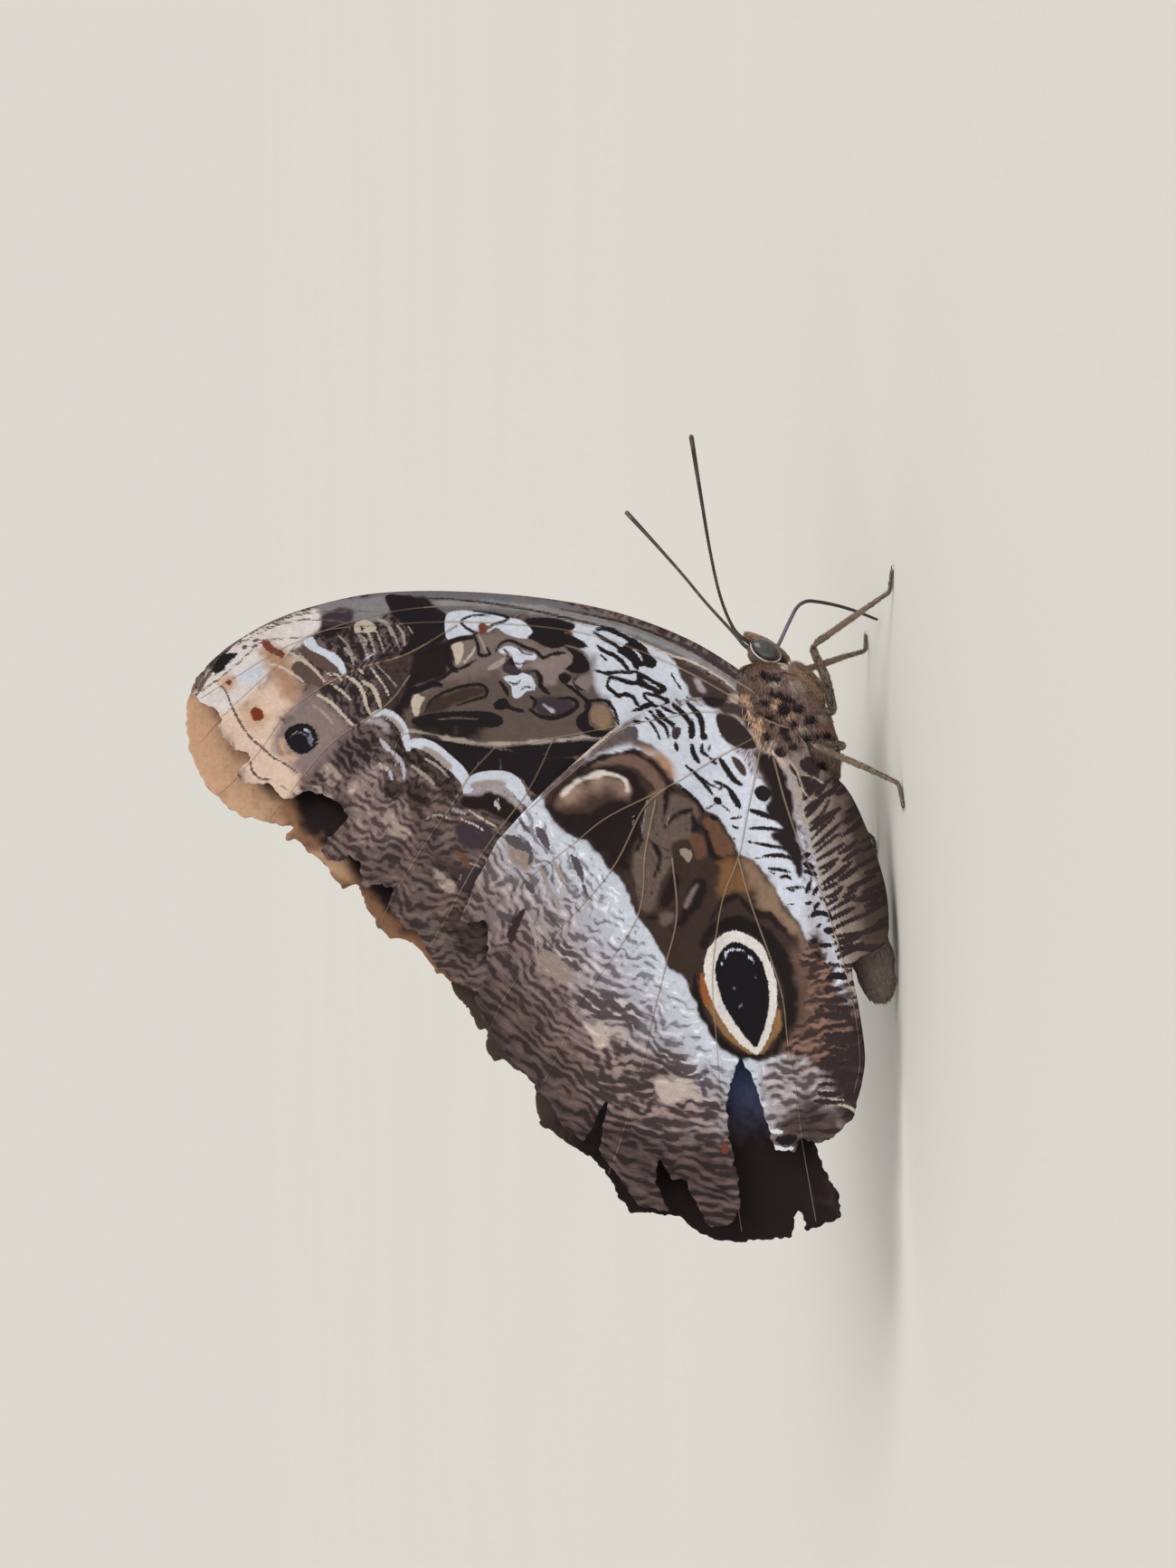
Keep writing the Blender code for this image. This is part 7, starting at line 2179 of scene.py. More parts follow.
@dataclass
class Body:
    """Skin and coat of the head, thorax and abdomen."""

    form: BodyForm = BodyForm()
    pattern: BodyPattern = BodyPattern()
    sides: int = 96
    head_from: float = 16.0
    body_step: float = 0.22
    head_step: float = 0.1
    # how much darker the skin is painted, as shade under the coat
    painted_skin_shade: float = 0.8
    eye_room: Point3 = (1.5, 1.3, 2.1)
    trunk_lie: Point3 = (-1.0, 0.0, -0.35)
    head_lie: Point3 = (0.35, 0.0, 0.75)
    lie_turn: tuple[float, float] = (17.0, 18.0)
    lie_spread: float = 0.16
    areas: tuple[CoatArea, ...] = (
        CoatArea("coat_thorax_right", 17000, (1.0, 16.9), (QUARTER, 3 * QUARTER), 1.3, 0.3, 0.075, 0.3, 31),
        CoatArea("coat_thorax_left", 17000, (1.0, 16.9), (-QUARTER, QUARTER), 1.3, 0.3, 0.075, 0.3, 32),
        CoatArea("coat_abdomen", 15000, (-31.2, 1.2), (0.0, math.tau), 0.8, 0.2, 0.085, 0.16, 33),
        CoatArea("coat_head", 12000, (16.7, 20.3), (0.0, math.tau), 0.55, 0.15, 0.05, 0.45, 34),
    )

    def skin(self, shop: Workshop) -> None:
        """One closed skin from the tail to the face, with rings closer together on the head.

        Args:
            shop: Where the pieces are made.
        """
        form = self.form
        trunk = np.arange(form.tail, self.head_from, self.body_step)
        x = np.concatenate([trunk, np.arange(self.head_from, form.face, self.head_step)])
        turn = np.arange(self.sides) * math.tau / self.sides
        rings = form.point(*np.meshgrid(x, turn, indexing="ij"))
        shape = round_surface(rings)
        # painted shade: the skin under the coat is darker than the coat
        tint = self.pattern.tint(shape.points) * self.painted_skin_shade
        solids = ["head", "thorax", "abdomen"]
        shop.piece("skin", shape, "body_fur", {"tint": tint}, replaces=solids)

    def _scatter(self, area: CoatArea) -> tuple[np.ndarray, np.ndarray]:
        """Places on the skin, evenly by area: draws are kept in proportion to the girth.

        Args:
            area: Where they lie and how many are wanted.

        Returns:
            Their x, and their turns round the body.
        """
        rng = np.random.default_rng(area.seed)
        x = rng.uniform(*area.span, area.count * 4)
        _, width, tall = self.form.section(x)
        kept = rng.uniform(0, 1, len(x)) < (width + tall) / (width + tall).max()
        x = x[kept][: area.count]
        start, stop = area.turns
        return x, start + (rng.uniform(0, math.tau, len(x)) / math.tau) * (stop - start)

    def _unwrap(self, x: np.ndarray, turn: np.ndarray) -> np.ndarray:
        """The skin unrolled: the turn across and the place along the body up, each 0 to 1."""
        along = (x - self.form.tail) / (self.form.face - self.form.tail)
        return np.stack([(turn / math.tau) % 1.0, along], axis=1)

    def _in_eye(self, points: np.ndarray) -> np.ndarray:
        """Which points lie in or close to an eye.

        Args:
            points: Points of the skin.

        Returns:
            One truth value for each.
        """
        x, y, z = EYE_CENTRE
        away = np.abs(points - [x, 0, z]) - [0, y, 0]
        return ((away / np.array(self.eye_room)) ** 2).sum(1) < 1

    def coat(self, shop: Workshop) -> None:
        """The coat's pieces: hair of the thorax, scales of the abdomen, short hair of the head.

        Tufts lie backwards and down on the trunk, and forwards and up on the head.

        Args:
            shop: Where the pieces are made.
        """
        for area in self.areas:
            x, turn = self._scatter(area)
            roots, normals = self.form.frame(x, turn)
            keep = ~self._in_eye(roots)
            x, turn, roots, normals = x[keep], turn[keep], roots[keep], normals[keep]
            rng = np.random.default_rng(area.seed + 100)
            head = smoothstep(*self.lie_turn, roots[:, 0])
            lie = laid(np.array(self.trunk_lie), np.array(self.head_lie), head)
            lie = along_surface(lie + rng.normal(0, self.lie_spread, (len(x), 3)), normals)
            mean = area.length
            length = np.clip(rng.normal(mean, area.spread, len(x)), 0.4 * mean, 1.8 * mean)
            width = area.width * rng.uniform(0.7, 1.2, len(x))
            lift = area.lift * rng.uniform(0.5, 1.5, len(x))
            shape, colours, corners = Coat(seed=area.seed).grow(
                roots, normals, lie, length, width, lift, self.pattern.tint(roots), self._unwrap(x, turn)
            )
            shop.piece(area.name, shape, "body_fur", {"tint": colours}, corners=corners)

    def build(self, shop: Workshop) -> None:
        """Makes the skin and the coat."""
        self.skin(shop)
        self.coat(shop)


@dataclass(frozen=True)
class Strand:
    """A smooth tapered line with a radius along it: a limb, a feeler or a bundle of hair."""

    path: np.ndarray
    radii: np.ndarray

    @staticmethod
    def through(points: np.ndarray, radii: Sequence[float], step: float) -> "Strand":
        """A strand on the smooth curve through points, with the radii read between them.

        Args:
            points: The points, n by 3.
            radii: The radius at each.
            step: The spacing of the strand's points.

        Returns:
            The strand.
        """
        path = smooth_path(points, step)
        knots = [float(np.argmin(np.linalg.norm(path - p, axis=1))) for p in points]
        return Strand(path, np.interp(np.arange(len(path)), knots, radii))

    @staticmethod
    def jointed(points: np.ndarray, radii: Sequence[float], bend: float, step: float) -> "Strand":
        """A strand of nearly straight runs, with a short bend round each joint.

        A bend is the quadratic curve from before the joint to after it, with the joint as its
        middle handle.

        Args:
            points: The joints, n by 3.
            radii: The radius at each.
            bend: The share of each run that the bend takes up.
            step: The spacing of the strand's points.

        Returns:
            The strand, its points evenly spaced.
        """
        path, sizes = [points[0]], [radii[0]]
        for i in range(1, len(points) - 1):
            entry = points[i] + (points[i - 1] - points[i]) * bend
            leave = points[i] + (points[i + 1] - points[i]) * bend
            for t in np.linspace(0, 1, 5):
                path.append((1 - t) ** 2 * entry + 2 * t * (1 - t) * points[i] + t * t * leave)
                sizes.append(radii[i])
        path, sizes = np.vstack([*path, points[-1:]]), np.array([*sizes, radii[-1]])
        along = np.concatenate([[0], np.cumsum(np.linalg.norm(np.diff(path, axis=0), axis=1))])
        places = np.linspace(0, along[-1], int(along[-1] / step) + 2)
        fine = np.stack([np.interp(places, along, part) for part in path.T], axis=1)
        return Strand(fine, np.interp(places, along, sizes))

    @property
    def length(self) -> float:
        """The length of the path."""
        return np.linalg.norm(np.diff(self.path, axis=0), axis=1).sum()

    @property
    def along(self) -> np.ndarray:
        """The share of the length at each point of the path."""
        run = np.concatenate([[0], np.cumsum(np.linalg.norm(np.diff(self.path, axis=0), axis=1))])
        return run / run[-1]

    def swollen(self, factors: np.ndarray) -> "Strand":
        """The same line with other radii."""
        return Strand(self.path, self.radii * factors)

    def skin(self, sides: int) -> Shape:
        """The strand's surface, nowhere under the floor.

        Args:
            sides: How many points go round it.

        Returns:
            The closed surface.
        """
        shape = tube(self.path, self.radii, sides)
        shape.points[:, 2] = np.maximum(shape.points[:, 2], 0.02)
        return shape

    def roots(
        self, count: int, seed: int, low: float, high: float
    ) -> tuple[np.ndarray, np.ndarray, np.ndarray, np.ndarray]:
        """Seeded places for hairs on the strand's surface.

        Args:
            count: How many.
            seed: Which draws.
            low: Where they start, as a share of the length.
            high: Where they end.

        Returns:
            Roots, directions out, directions along, and places on the unrolled surface.
        """
        rng = np.random.default_rng(seed)
        share, turn = rng.uniform(low, high, count), rng.uniform(0, math.tau, count)
        ahead = unit(np.gradient(self.path, axis=0))
        place = np.stack([np.interp(share, self.along, part) for part in self.path.T], axis=1)
        run = unit(np.stack([np.interp(share, self.along, part) for part in ahead.T], axis=1))
        across = unit(np.cross(run, np.array([0.03, 0.2, 1.0])))
        out = np.cos(turn)[:, None] * across + np.sin(turn)[:, None] * np.cross(across, run)
        radius = np.interp(share, self.along, self.radii)
        return place + out * radius[:, None], out, run, np.stack([turn / math.tau, share], axis=1)


@dataclass(frozen=True)
class Limbs:
    """Legs, folded forelegs, feelers, palps and tongue, by their joints."""

    middle: tuple[Path3, Path3] = (
        (
            (10.4, 2.0, 11.0), (9.4, 3.1, 7.7), (13.6, 5.8, 9.0), (17.4, 8.0, 11.1),
            (21.8, 11.0, 3.9), (23.8, 12.6, 0.5), (26.6, 13.8, 0.24),
        ),
        (
            (10.4, 2.0, 11.0), (9.8, 3.1, 7.8), (14.6, 5.7, 9.1), (19.2, 8.0, 10.8),
            (22.2, 10.6, 4.6), (24.0, 12.4, 0.5), (26.8, 13.6, 0.24),
        ),
    )
    hind: Path3 = (
        (5.6, 1.8, 10.0), (4.6, 3.0, 6.4), (3.6, 6.0, 9.6), (2.9, 9.0, 12.0), (-1.4, 11.3, 4.6),
        (-4.0, 12.6, 0.5), (-7.8, 13.8, 0.24),
    )
    leg_radii: tuple[float, ...] = (0.75, 0.62, 0.52, 0.44, 0.36, 0.29, 0.25)
    fore: Path3 = (
        (11.4, 1.8, 11.6), (10.9, 2.9, 9.3), (13.5, 3.4, 11.0), (15.6, 3.3, 13.0), (16.4, 2.9, 12.9),
        (16.1, 2.6, 11.7), (14.2, 2.4, 9.8), (12.7, 2.3, 8.7),
    )
    fore_radii: tuple[float, ...] = (0.55, 0.5, 0.48, 0.4, 0.32, 0.36, 0.38, 0.25)
    antenna: tuple[Path3, Path3] = (
        (
            (20.0, 0.8, 17.9), (20.7, 1.1, 19.3), (22.3, 1.8, 21.1), (26.3, 3.7, 23.0),
            (32.0, 6.9, 24.6), (39.5, 11.0, 26.2), (46.4, 14.0, 27.5),
        ),
        (
            (20.0, 0.8, 17.9), (20.7, 1.1, 19.2), (22.9, 2.0, 20.6), (28.2, 4.2, 24.1),
            (33.6, 7.2, 27.0), (39.9, 10.8, 30.6), (45.7, 14.0, 34.1),
        ),
    )
    antenna_radii: tuple[float, ...] = (0.34, 0.28, 0.23, 0.21, 0.21, 0.25, 0.34)
    palp: Path3 = (
        (17.7, 0.95, 13.3), (18.3, 0.95, 13.8), (19.4, 0.95, 14.9), (20.55, 0.95, 16.4),
        (21.4, 0.9, 18.1), (21.8, 0.85, 19.3),
    )
    palp_radii: tuple[float, ...] = (0.3, 0.38, 0.4, 0.37, 0.3, 0.12)
    tongue: Path3 = (
        (19.2, 0.0, 15.4), (20.7, 0.0, 14.5), (23.7, 0.0, 13.05), (26.0, 0.0, 11.8), (26.9, 0.0, 10.5),
        (26.9, 0.0, 9.0), (26.4, 0.0, 6.4), (25.6, 0.0, 3.8), (24.4, 0.0, 0.9), (24.2, 0.0, 0.45),
    )
    tongue_radii: tuple[float, ...] = (0.3, 0.29, 0.27, 0.26, 0.26, 0.25, 0.24, 0.23, 0.2, 0.16)
    bend: float = 0.16
    leg_sides: int = 14
    limb_sides: int = 16
    feeler_sides: int = 12
    feeler_ring: float = 0.52
    tongue_ring: float = 0.28
    thigh_swell: float = 0.28
    knee_pinch: tuple[float, float] = (0.3, 0.014)
    ankle_pinch: tuple[float, float] = (0.25, 0.012)
    knobs: int = 5
    knob_swell: float = 0.22
    knob_pinch: tuple[float, float] = (0.16, 0.12)
    leg_share: float = 0.92
    spine_ahead: float = 0.55
    spine_length: tuple[float, float] = (0.45, 0.62)
    spine_radii: tuple[float, ...] = (0.07, 0.055, 0.035, 0.008)
    claw_radii: tuple[float, float] = (0.09, 0.015)
    dark: Rgb = (58, 48, 44)
    pale: Rgb = (140, 124, 110)
    hair: Rgb = (150, 126, 106)
    tan: Rgb = (158, 124, 98)
    scale: Rgb = (116, 102, 94)
    horn: Rgb = (34, 26, 26)
    blue: Rgb = (96, 98, 112)
    bristle: Rgb = (150, 136, 126)
    brush: Rgb = (146, 126, 108)

    def _sided(self, points: Path3, side: int) -> np.ndarray:
        """Joints of one side, on that side."""
        return np.array(points, float) * [1, side, 1]

    def _shade(self, points: np.ndarray, first: Rgb, second: Rgb, share: np.ndarray) -> np.ndarray:
        """Two colours mixed by share, unevenly, at points."""
        mottle = 0.18 * value_noise(points[:, 0] + points[:, 1], points[:, 2], 0.6, 41)
        return laid(linear(first), linear(second), np.clip(share + mottle, 0, 1))

    def _along_points(self, strand: Strand, sides: int) -> np.ndarray:
        """The share of the length at every point of a strand's skin, its two ends included."""
        return np.concatenate([np.repeat(strand.along, sides), [0.0, 1.0]])

    def _hairs(
        self,
        strand: Strand,
        count: int,
        seed: int,
        size: Point3,
        span: tuple[float, float],
        colour: Rgb,
        second: Optional[Rgb] = None,
    ) -> tuple[Shape, np.ndarray, np.ndarray]:
        """Hairs along a strand.

        Args:
            strand: What they grow on.
            count: How many.
            seed: Which draws.
            size: Length, half width and lift.
            span: Where they start and end, as shares of the length.
            colour: The colour of most.
            second: The colour of some others.

        Returns:
            The shape, its colours and its corners on the unrolled strand.
        """
        roots, out, run, unwrap = strand.roots(count, seed, *span)
        rng = np.random.default_rng(seed + 7)
        length = size[0] * rng.uniform(0.6, 1.3, count)
        lift = size[2] * rng.uniform(0.5, 1.5, count)
        other = rng.uniform(0, 1, count) < 0.35 if second else np.zeros(count)
        tint = laid(linear(colour), linear(second or colour), other)
        coat = Coat(seed=seed, sink=0.04)
        return coat.grow(roots, out, run, length, np.full(count, size[1]), lift, tint, unwrap, 0.3)

    def _coat(self, shop: Workshop, name: str, groups: list) -> None:
        """Several groups of hairs as one piece.

        Args:
            shop: Where the pieces are made.
            name: The piece's name.
            groups: Shapes with their colours and corners.
        """
        shapes, tints, corners = zip(*groups)
        tint, corners = np.vstack(tints), np.vstack(corners)
        shop.piece(name, Shape.joined(shapes), "body_fur", {"tint": tint}, corners=corners)

    def _pinch(self, away: np.ndarray, form: tuple[float, float]) -> np.ndarray:
        """A bell curve of the distance from a joint, with its height and width given."""
        return form[0] * np.exp(-((away / form[1]) ** 2))

    def _leg_strand(self, joints: np.ndarray, coxa: float, knee: float, ankle: float) -> Strand:
        """A leg's line: swollen at the thigh, pinched at knee and ankle, five knobs on the foot.

        Args:
            joints: The leg's corners, from the body to the toe.
            coxa: The share of the length where the thigh starts.
            knee: Where the shin starts.
            ankle: Where the foot starts.

        Returns:
            The strand.
        """
        strand = Strand.jointed(joints, self.leg_radii, self.bend, 0.12)
        t = strand.along
        swell = self.thigh_swell * np.sin(math.pi * np.clip((t - coxa) / (knee - coxa), 0, 1))
        pinches = self._pinch(t - knee, self.knee_pinch) + self._pinch(t - ankle, self.ankle_pinch)
        foot = np.clip((t - ankle) / (1 - ankle), 0, 1)
        knob = (foot**0.85 * self.knobs) % 1.0
        knobs = self.knob_swell * knob**2 - self._pinch(knob, self.knob_pinch)
        knobs = 1 + np.where(foot > 0, knobs, 0)
        return strand.swollen((1 + swell) * (1 - pinches) * knobs * self.leg_share)

    def _spines(self, strand: Strand, knee: float, ankle: float, seed: int) -> list[Shape]:
        """Pairs of spines down the shin and the foot, and two spurs at the shin's end.

        Args:
            strand: The leg.
            knee: The share of the length where the shin starts.
            ankle: Where the foot starts.
            seed: Which draws.

        Returns:
            One straight tapered tube for each.
        """
        rng = np.random.default_rng(seed)
        ahead = unit(np.gradient(strand.path, axis=0))
        across = unit(np.cross(ahead, [0.0, 0.0, 1.0]))
        lines = []
        shin, foot = np.linspace(knee + 0.05, ankle - 0.02, 7), np.linspace(ankle + 0.03, 0.97, 10)
        for place in (*shin, *foot):
            i = int(np.searchsorted(strand.along, place))
            lean = [0, 0, -0.5 if place < ankle else 0.1]
            for around in (-1, 1):
                out = unit(across[i] * around + lean)
                end = strand.path[i] + ahead[i] * self.spine_ahead
                end = end + out * rng.uniform(*self.spine_length)
                lines.append((strand.path[i] + out * strand.radii[i] * 0.6, end))
        i = int(np.searchsorted(strand.along, ankle - 0.012))
        for around in (-1, 1):
            out = across[i] * around
            end = strand.path[i] + ahead[i] * 1.25 + out * 0.75
            lines.append((strand.path[i] + out * 0.2, end))
        share = np.linspace(0, 1, len(self.spine_radii))[:, None]
        radii = np.array(self.spine_radii)
        return [tube(start + (end - start) * share, radii, 5) for start, end in lines]

    def _claws(self, strand: Strand) -> list[Shape]:
        """Two claws at the end of the foot, bent apart and down to the floor.

        Args:
            strand: The leg.

        Returns:
            One curved tapered tube for each.
        """
        toe, ahead = strand.path[-1], unit(np.gradient(strand.path, axis=0))[-1]
        across = unit(np.cross(ahead, [0.0, 0.0, 1.0]))
        made = []
        for around in (-1, 1):
            side = across * around
            rise = toe + ahead * 0.35 + side * 0.18 + [0, 0, 0.12]
            tip = toe + ahead * 0.62 + side * 0.34 + [0, 0, -0.12]
            claw = smooth_path([toe, rise, tip], 0.08)
            claw[:, 2] = np.maximum(claw[:, 2], 0.08)
            made.append(tube(claw, np.linspace(*self.claw_radii, len(claw)), 6))
        return made

    def _leg(self, shop: Workshop, name: str, joints: np.ndarray, seed: int) -> None:
        """A walking leg: thigh, shin with spurs, five short foot joints, claws and hair.

        Args:
            shop: Where the pieces are made.
            name: The leg's name, which is also its solid's.
            joints: Its corners, from the body to the toe.
            seed: Which draws.
        """
        runs = np.linalg.norm(np.diff(joints, axis=0), axis=1)
        marks = np.concatenate([[0], np.cumsum(runs)]) / runs.sum()
        coxa, knee, ankle = marks[1], marks[3], marks[4]
        strand = self._leg_strand(joints, coxa, knee, ankle)
        skin = strand.skin(self.leg_sides)
        along = self._along_points(strand, self.leg_sides)
        height = strand.path[:, 2]
        middle = np.concatenate([np.repeat(height, self.leg_sides), height[[0, -1]]])
        under = smoothstep(0.1, -0.25, skin.points[:, 2] - middle)
        share = 0.25 + 0.5 * under * (along < knee) + 0.5 * (along > knee) - 0.35 * (along > ankle)
        tint = self._shade(skin.points, self.dark, self.pale, share)
        spines = self._spines(strand, knee, ankle, seed)
        whole = Shape.joined([skin, *spines, *self._claws(strand)])
        whole.points[:, 2] = np.maximum(whole.points[:, 2], 0.015)
        extra = np.tile(linear(self.horn), (len(whole.points) - len(skin.points), 1))
        tints = {"tint": np.vstack([tint, extra])}
        shop.piece(name, whole, "limb_cuticle", tints, replaces=[name])
        thigh, shin, foot = (coxa, knee), (knee, ankle), (ankle, 0.985)
        groups = [
            self._hairs(strand, 900, seed + 1, (0.55, 0.045, 0.3), thigh, self.dark, self.hair),
            self._hairs(strand, 900, seed + 2, (0.6, 0.045, 0.35), shin, self.pale, self.hair),
            self._hairs(strand, 500, seed + 3, (0.3, 0.035, 0.35), foot, self.hair, self.dark),
        ]
        self._coat(shop, f"{name}_hair", groups)

    def _furred(
        self, shop: Workshop, name: str, strand: Strand, first: Rgb, second: Rgb, share: float
    ) -> None:
        """The skin of a small limb that hair covers.

        Args:
            shop: Where the piece is made.
            name: The limb's name, which is also its solid's.
            strand: Its line and radii.
            first: One colour.
            second: The other colour.
            share: How much of the second there is.
        """
        skin = strand.skin(self.limb_sides)
        tint = self._shade(skin.points, first, second, np.full(len(skin.points), share))
        shop.piece(name, skin, "body_fur", {"tint": tint}, replaces=[name])

    def _palp(self, shop: Workshop, side: int) -> None:
        """A palp: a bent stem thick with hair, and pale bristles along its outer side.

        Args:
            shop: Where the pieces are made.
            side: Which side it is on.
        """
        name = f"palp_{SIDE_NAMES[side]}"
        strand = Strand.through(self._sided(self.palp, side), self.palp_radii, 0.1)
        self._furred(shop, name, strand, self.scale, self.tan, 0.6)
        line = Strand(strand.path + [0.12, side * 0.28, -0.05], strand.radii * 0.45)
        size, span = (0.55, 0.04, 0.28), (0.02, 0.97)
        groups = [
            self._hairs(strand, 3000, 61 + side, size, span, self.tan, self.scale),
            self._hairs(line, 500, 71 + side, (0.45, 0.045, 0.1), (0.1, 0.95), self.bristle),
        ]
        self._coat(shop, f"{name}_hair", groups)

    def _foreleg(self, shop: Workshop, side: int) -> None:
        """A foreleg: small, without a foot, folded on the breast and hairy like a brush.

        Args:
            shop: Where the pieces are made.
            side: Which side it is on.
        """
        name = f"foreleg_{SIDE_NAMES[side]}"
        strand = Strand.through(self._sided(self.fore, side), self.fore_radii, 0.15)
        self._furred(shop, name, strand, self.hair, self.tan, 0.3)
        size, span = (0.85, 0.05, 0.35), (0.1, 0.98)
        groups = [self._hairs(strand, 2400, 81 + side, size, span, self.brush, self.tan)]
        self._coat(shop, f"{name}_hair", groups)

    def _antenna(self, shop: Workshop, side: int) -> None:
        """A feeler: a stout first joint, many short rings, and a slender club.

        Each ring swells by the sine of its own length, and a pale line marks where it starts.

        Args:
            shop: Where the piece is made.
            side: Which side it is on.
        """
        name = f"antenna_{SIDE_NAMES[side]}"
        points = self._sided(self.antenna[0 if side == RIGHT else 1], side)
        strand = Strand.through(points, self.antenna_radii, 0.1)
        t, rings = strand.along, strand.length / self.feeler_ring
        form = 1 + 0.13 * np.sin(math.pi * ((t * rings) % 1.0)) ** 0.6 - 0.06
        form = form * (1 + 0.5 * smoothstep(0.035, 0.012, t)) * smoothstep(1.001, 0.988, t) ** 0.5
        strand = strand.swollen(np.maximum(form, 0.12))
        skin = strand.skin(self.feeler_sides)
        along = self._along_points(strand, self.feeler_sides)
        pale = 0.35 * (np.abs(((along * rings) % 1.0) - 0.08) < 0.1) * smoothstep(0.9, 0.3, along)
        share = 0.5 * pale + 0.25 * smoothstep(0.9, 1.0, along)
        tint = self._shade(skin.points, self.horn, self.hair, share)
        shop.piece(name, skin, "limb_cuticle", {"tint": tint}, replaces=[name])

    def _tongue(self, shop: Workshop) -> None:
        """The tongue: finely ringed, and bluish towards its root.

        Args:
            shop: Where the pieces are made.
        """
        strand = Strand.through(np.array(self.tongue), self.tongue_radii, 0.06)
        ring = (strand.along * strand.length / self.tongue_ring) % 1.0
        strand = strand.swollen(0.94 + 0.08 * np.sin(math.pi * ring))
        skin = strand.skin(self.limb_sides)
        share = smoothstep(0.55, 0.15, self._along_points(strand, self.limb_sides))
        tint = self._shade(skin.points, self.horn, self.blue, share)
        shop.piece("proboscis", skin, "limb_cuticle", {"tint": tint}, replaces=["proboscis"])

    def build(self, shop: Workshop) -> None:
        """Makes them all, side by side, and the tongue last.

        Args:
            shop: Where the pieces are made.
        """
        for index, side in enumerate((RIGHT, LEFT)):
            name = SIDE_NAMES[side]
            middle, hind = self._sided(self.middle[index], side), self._sided(self.hind, side)
            self._leg(shop, f"midleg_{name}", middle, 101 + index)
            self._leg(shop, f"hindleg_{name}", hind, 111 + index)
            self._foreleg(shop, side)
            self._antenna(shop, side)
            self._palp(shop, side)
        self._tongue(shop)


@dataclass(frozen=True)
class Eyes:
    """The two round many-faced eyes and the pale scales along their rims."""

    centre: Point3 = EYE_CENTRE
    radii: Point3 = (1.4, 1.25, 2.25)
    pitch: float = math.radians(35.0)
    rings: int = 36
    sides: int = 56
    rim_scales: int = 600
    cheek_scales: int = 500
    tint: Rgb = (70, 66, 63)
    deep: Rgb = (40, 35, 35)
    rim: Rgb = EYE_RIM

    def _surface(self, side: int, a: np.ndarray, b: np.ndarray) -> np.ndarray:
        """Points of an eye at angles round its level axis and from its outer pole."""
        return oval_points(self.centre, self.radii, self.pitch, a, b) * [1, side, 1]

    def ball(self, shop: Workshop, side: int) -> None:
        """The eye itself, with the two colours that its finish mixes.

        Args:
            shop: Where the pieces are made.
            side: Which side it is on.
        """
        name = f"eye_{SIDE_NAMES[side]}"
        x, y, z = self.centre
        shape = oval((x, side * y, z), self.radii, self.pitch, self.rings, self.sides)
        colours = {"tint": self.tint, "tint_deep": self.deep}
        tints = {key: np.tile(linear(rgb), (len(shape.points), 1)) for key, rgb in colours.items()}
        shop.piece(name, shape, "eye_lens", tints, replaces=[name])

    def scales(self, shop: Workshop, side: int) -> None:
        """Pale scales along the rim, and a wider patch of them on the cheek.

        Args:
            shop: Where the piece is made.
            side: Which eye it is.
        """
        rng = np.random.default_rng(91 + side)
        rim, cheek = self.rim_scales, self.cheek_scales
        count = rim + cheek
        a = np.radians(np.concatenate([rng.uniform(120, 285, rim), rng.uniform(248, 318, cheek)]))
        spread = np.where(np.arange(count) < rim, 16.0, 34.0)
        b = np.radians(81 + rng.uniform(0, 1, count) * spread)
        roots = self._surface(side, a, b)
        x, y, z = self.centre
        out = unit((roots - (x, side * y, z)) / np.array(self.radii) ** 2)
        lie = unit(self._surface(side, a + 0.02, b) - self._surface(side, a - 0.02, b))
        tint = np.tile(linear(self.rim), (count, 1))
        unwrap = np.stack([a / math.tau, b / math.pi], axis=1)
        length, width, lift = rng.uniform(0.3, 0.6, count), np.full(count, 0.06), np.full(count, 0.28)
        coat = Coat(seed=91 + side, sink=0.05)
        shape, tints, corners = coat.grow(roots, out, -lie, length, width, lift, tint, unwrap)
        name = f"eye_{SIDE_NAMES[side]}_rim"
        shop.piece(name, shape, "body_fur", {"tint": tints}, corners=corners)

    def build(self, shop: Workshop) -> None:
        """Makes both eyes and their rims.

        Args:
            shop: Where the pieces are made.
        """
        for side in (RIGHT, LEFT):
            self.ball(shop, side)
            self.scales(shop, side)


@dataclass(frozen=True)
class Lamp:
    """A soft light, the same all over the scene.

    It comes from so far right, up and back of the camera's own directions. Its size is in degrees.
    """

    name: str
    toward: Point3
    size: float
    power: float
    warm: Rgb

    def hang(self, axes: Sequence[Vector]) -> None:
        """Makes the light, by the camera's right, up and back directions.

        Args:
            axes: The camera's right, up and back directions.
        """
        lamp = bpy.data.lights.new(self.name, "SUN")
        lamp.angle, lamp.energy, lamp.color = math.radians(self.size), self.power, linear(self.warm)
        made = bpy.data.objects.new(self.name, lamp)
        toward = sum((axis * share for axis, share in zip(axes, self.toward)), Vector())
        made.rotation_euler = toward.to_track_quat("Z", "Y").to_euler()
        bpy.context.scene.collection.objects.link(made)


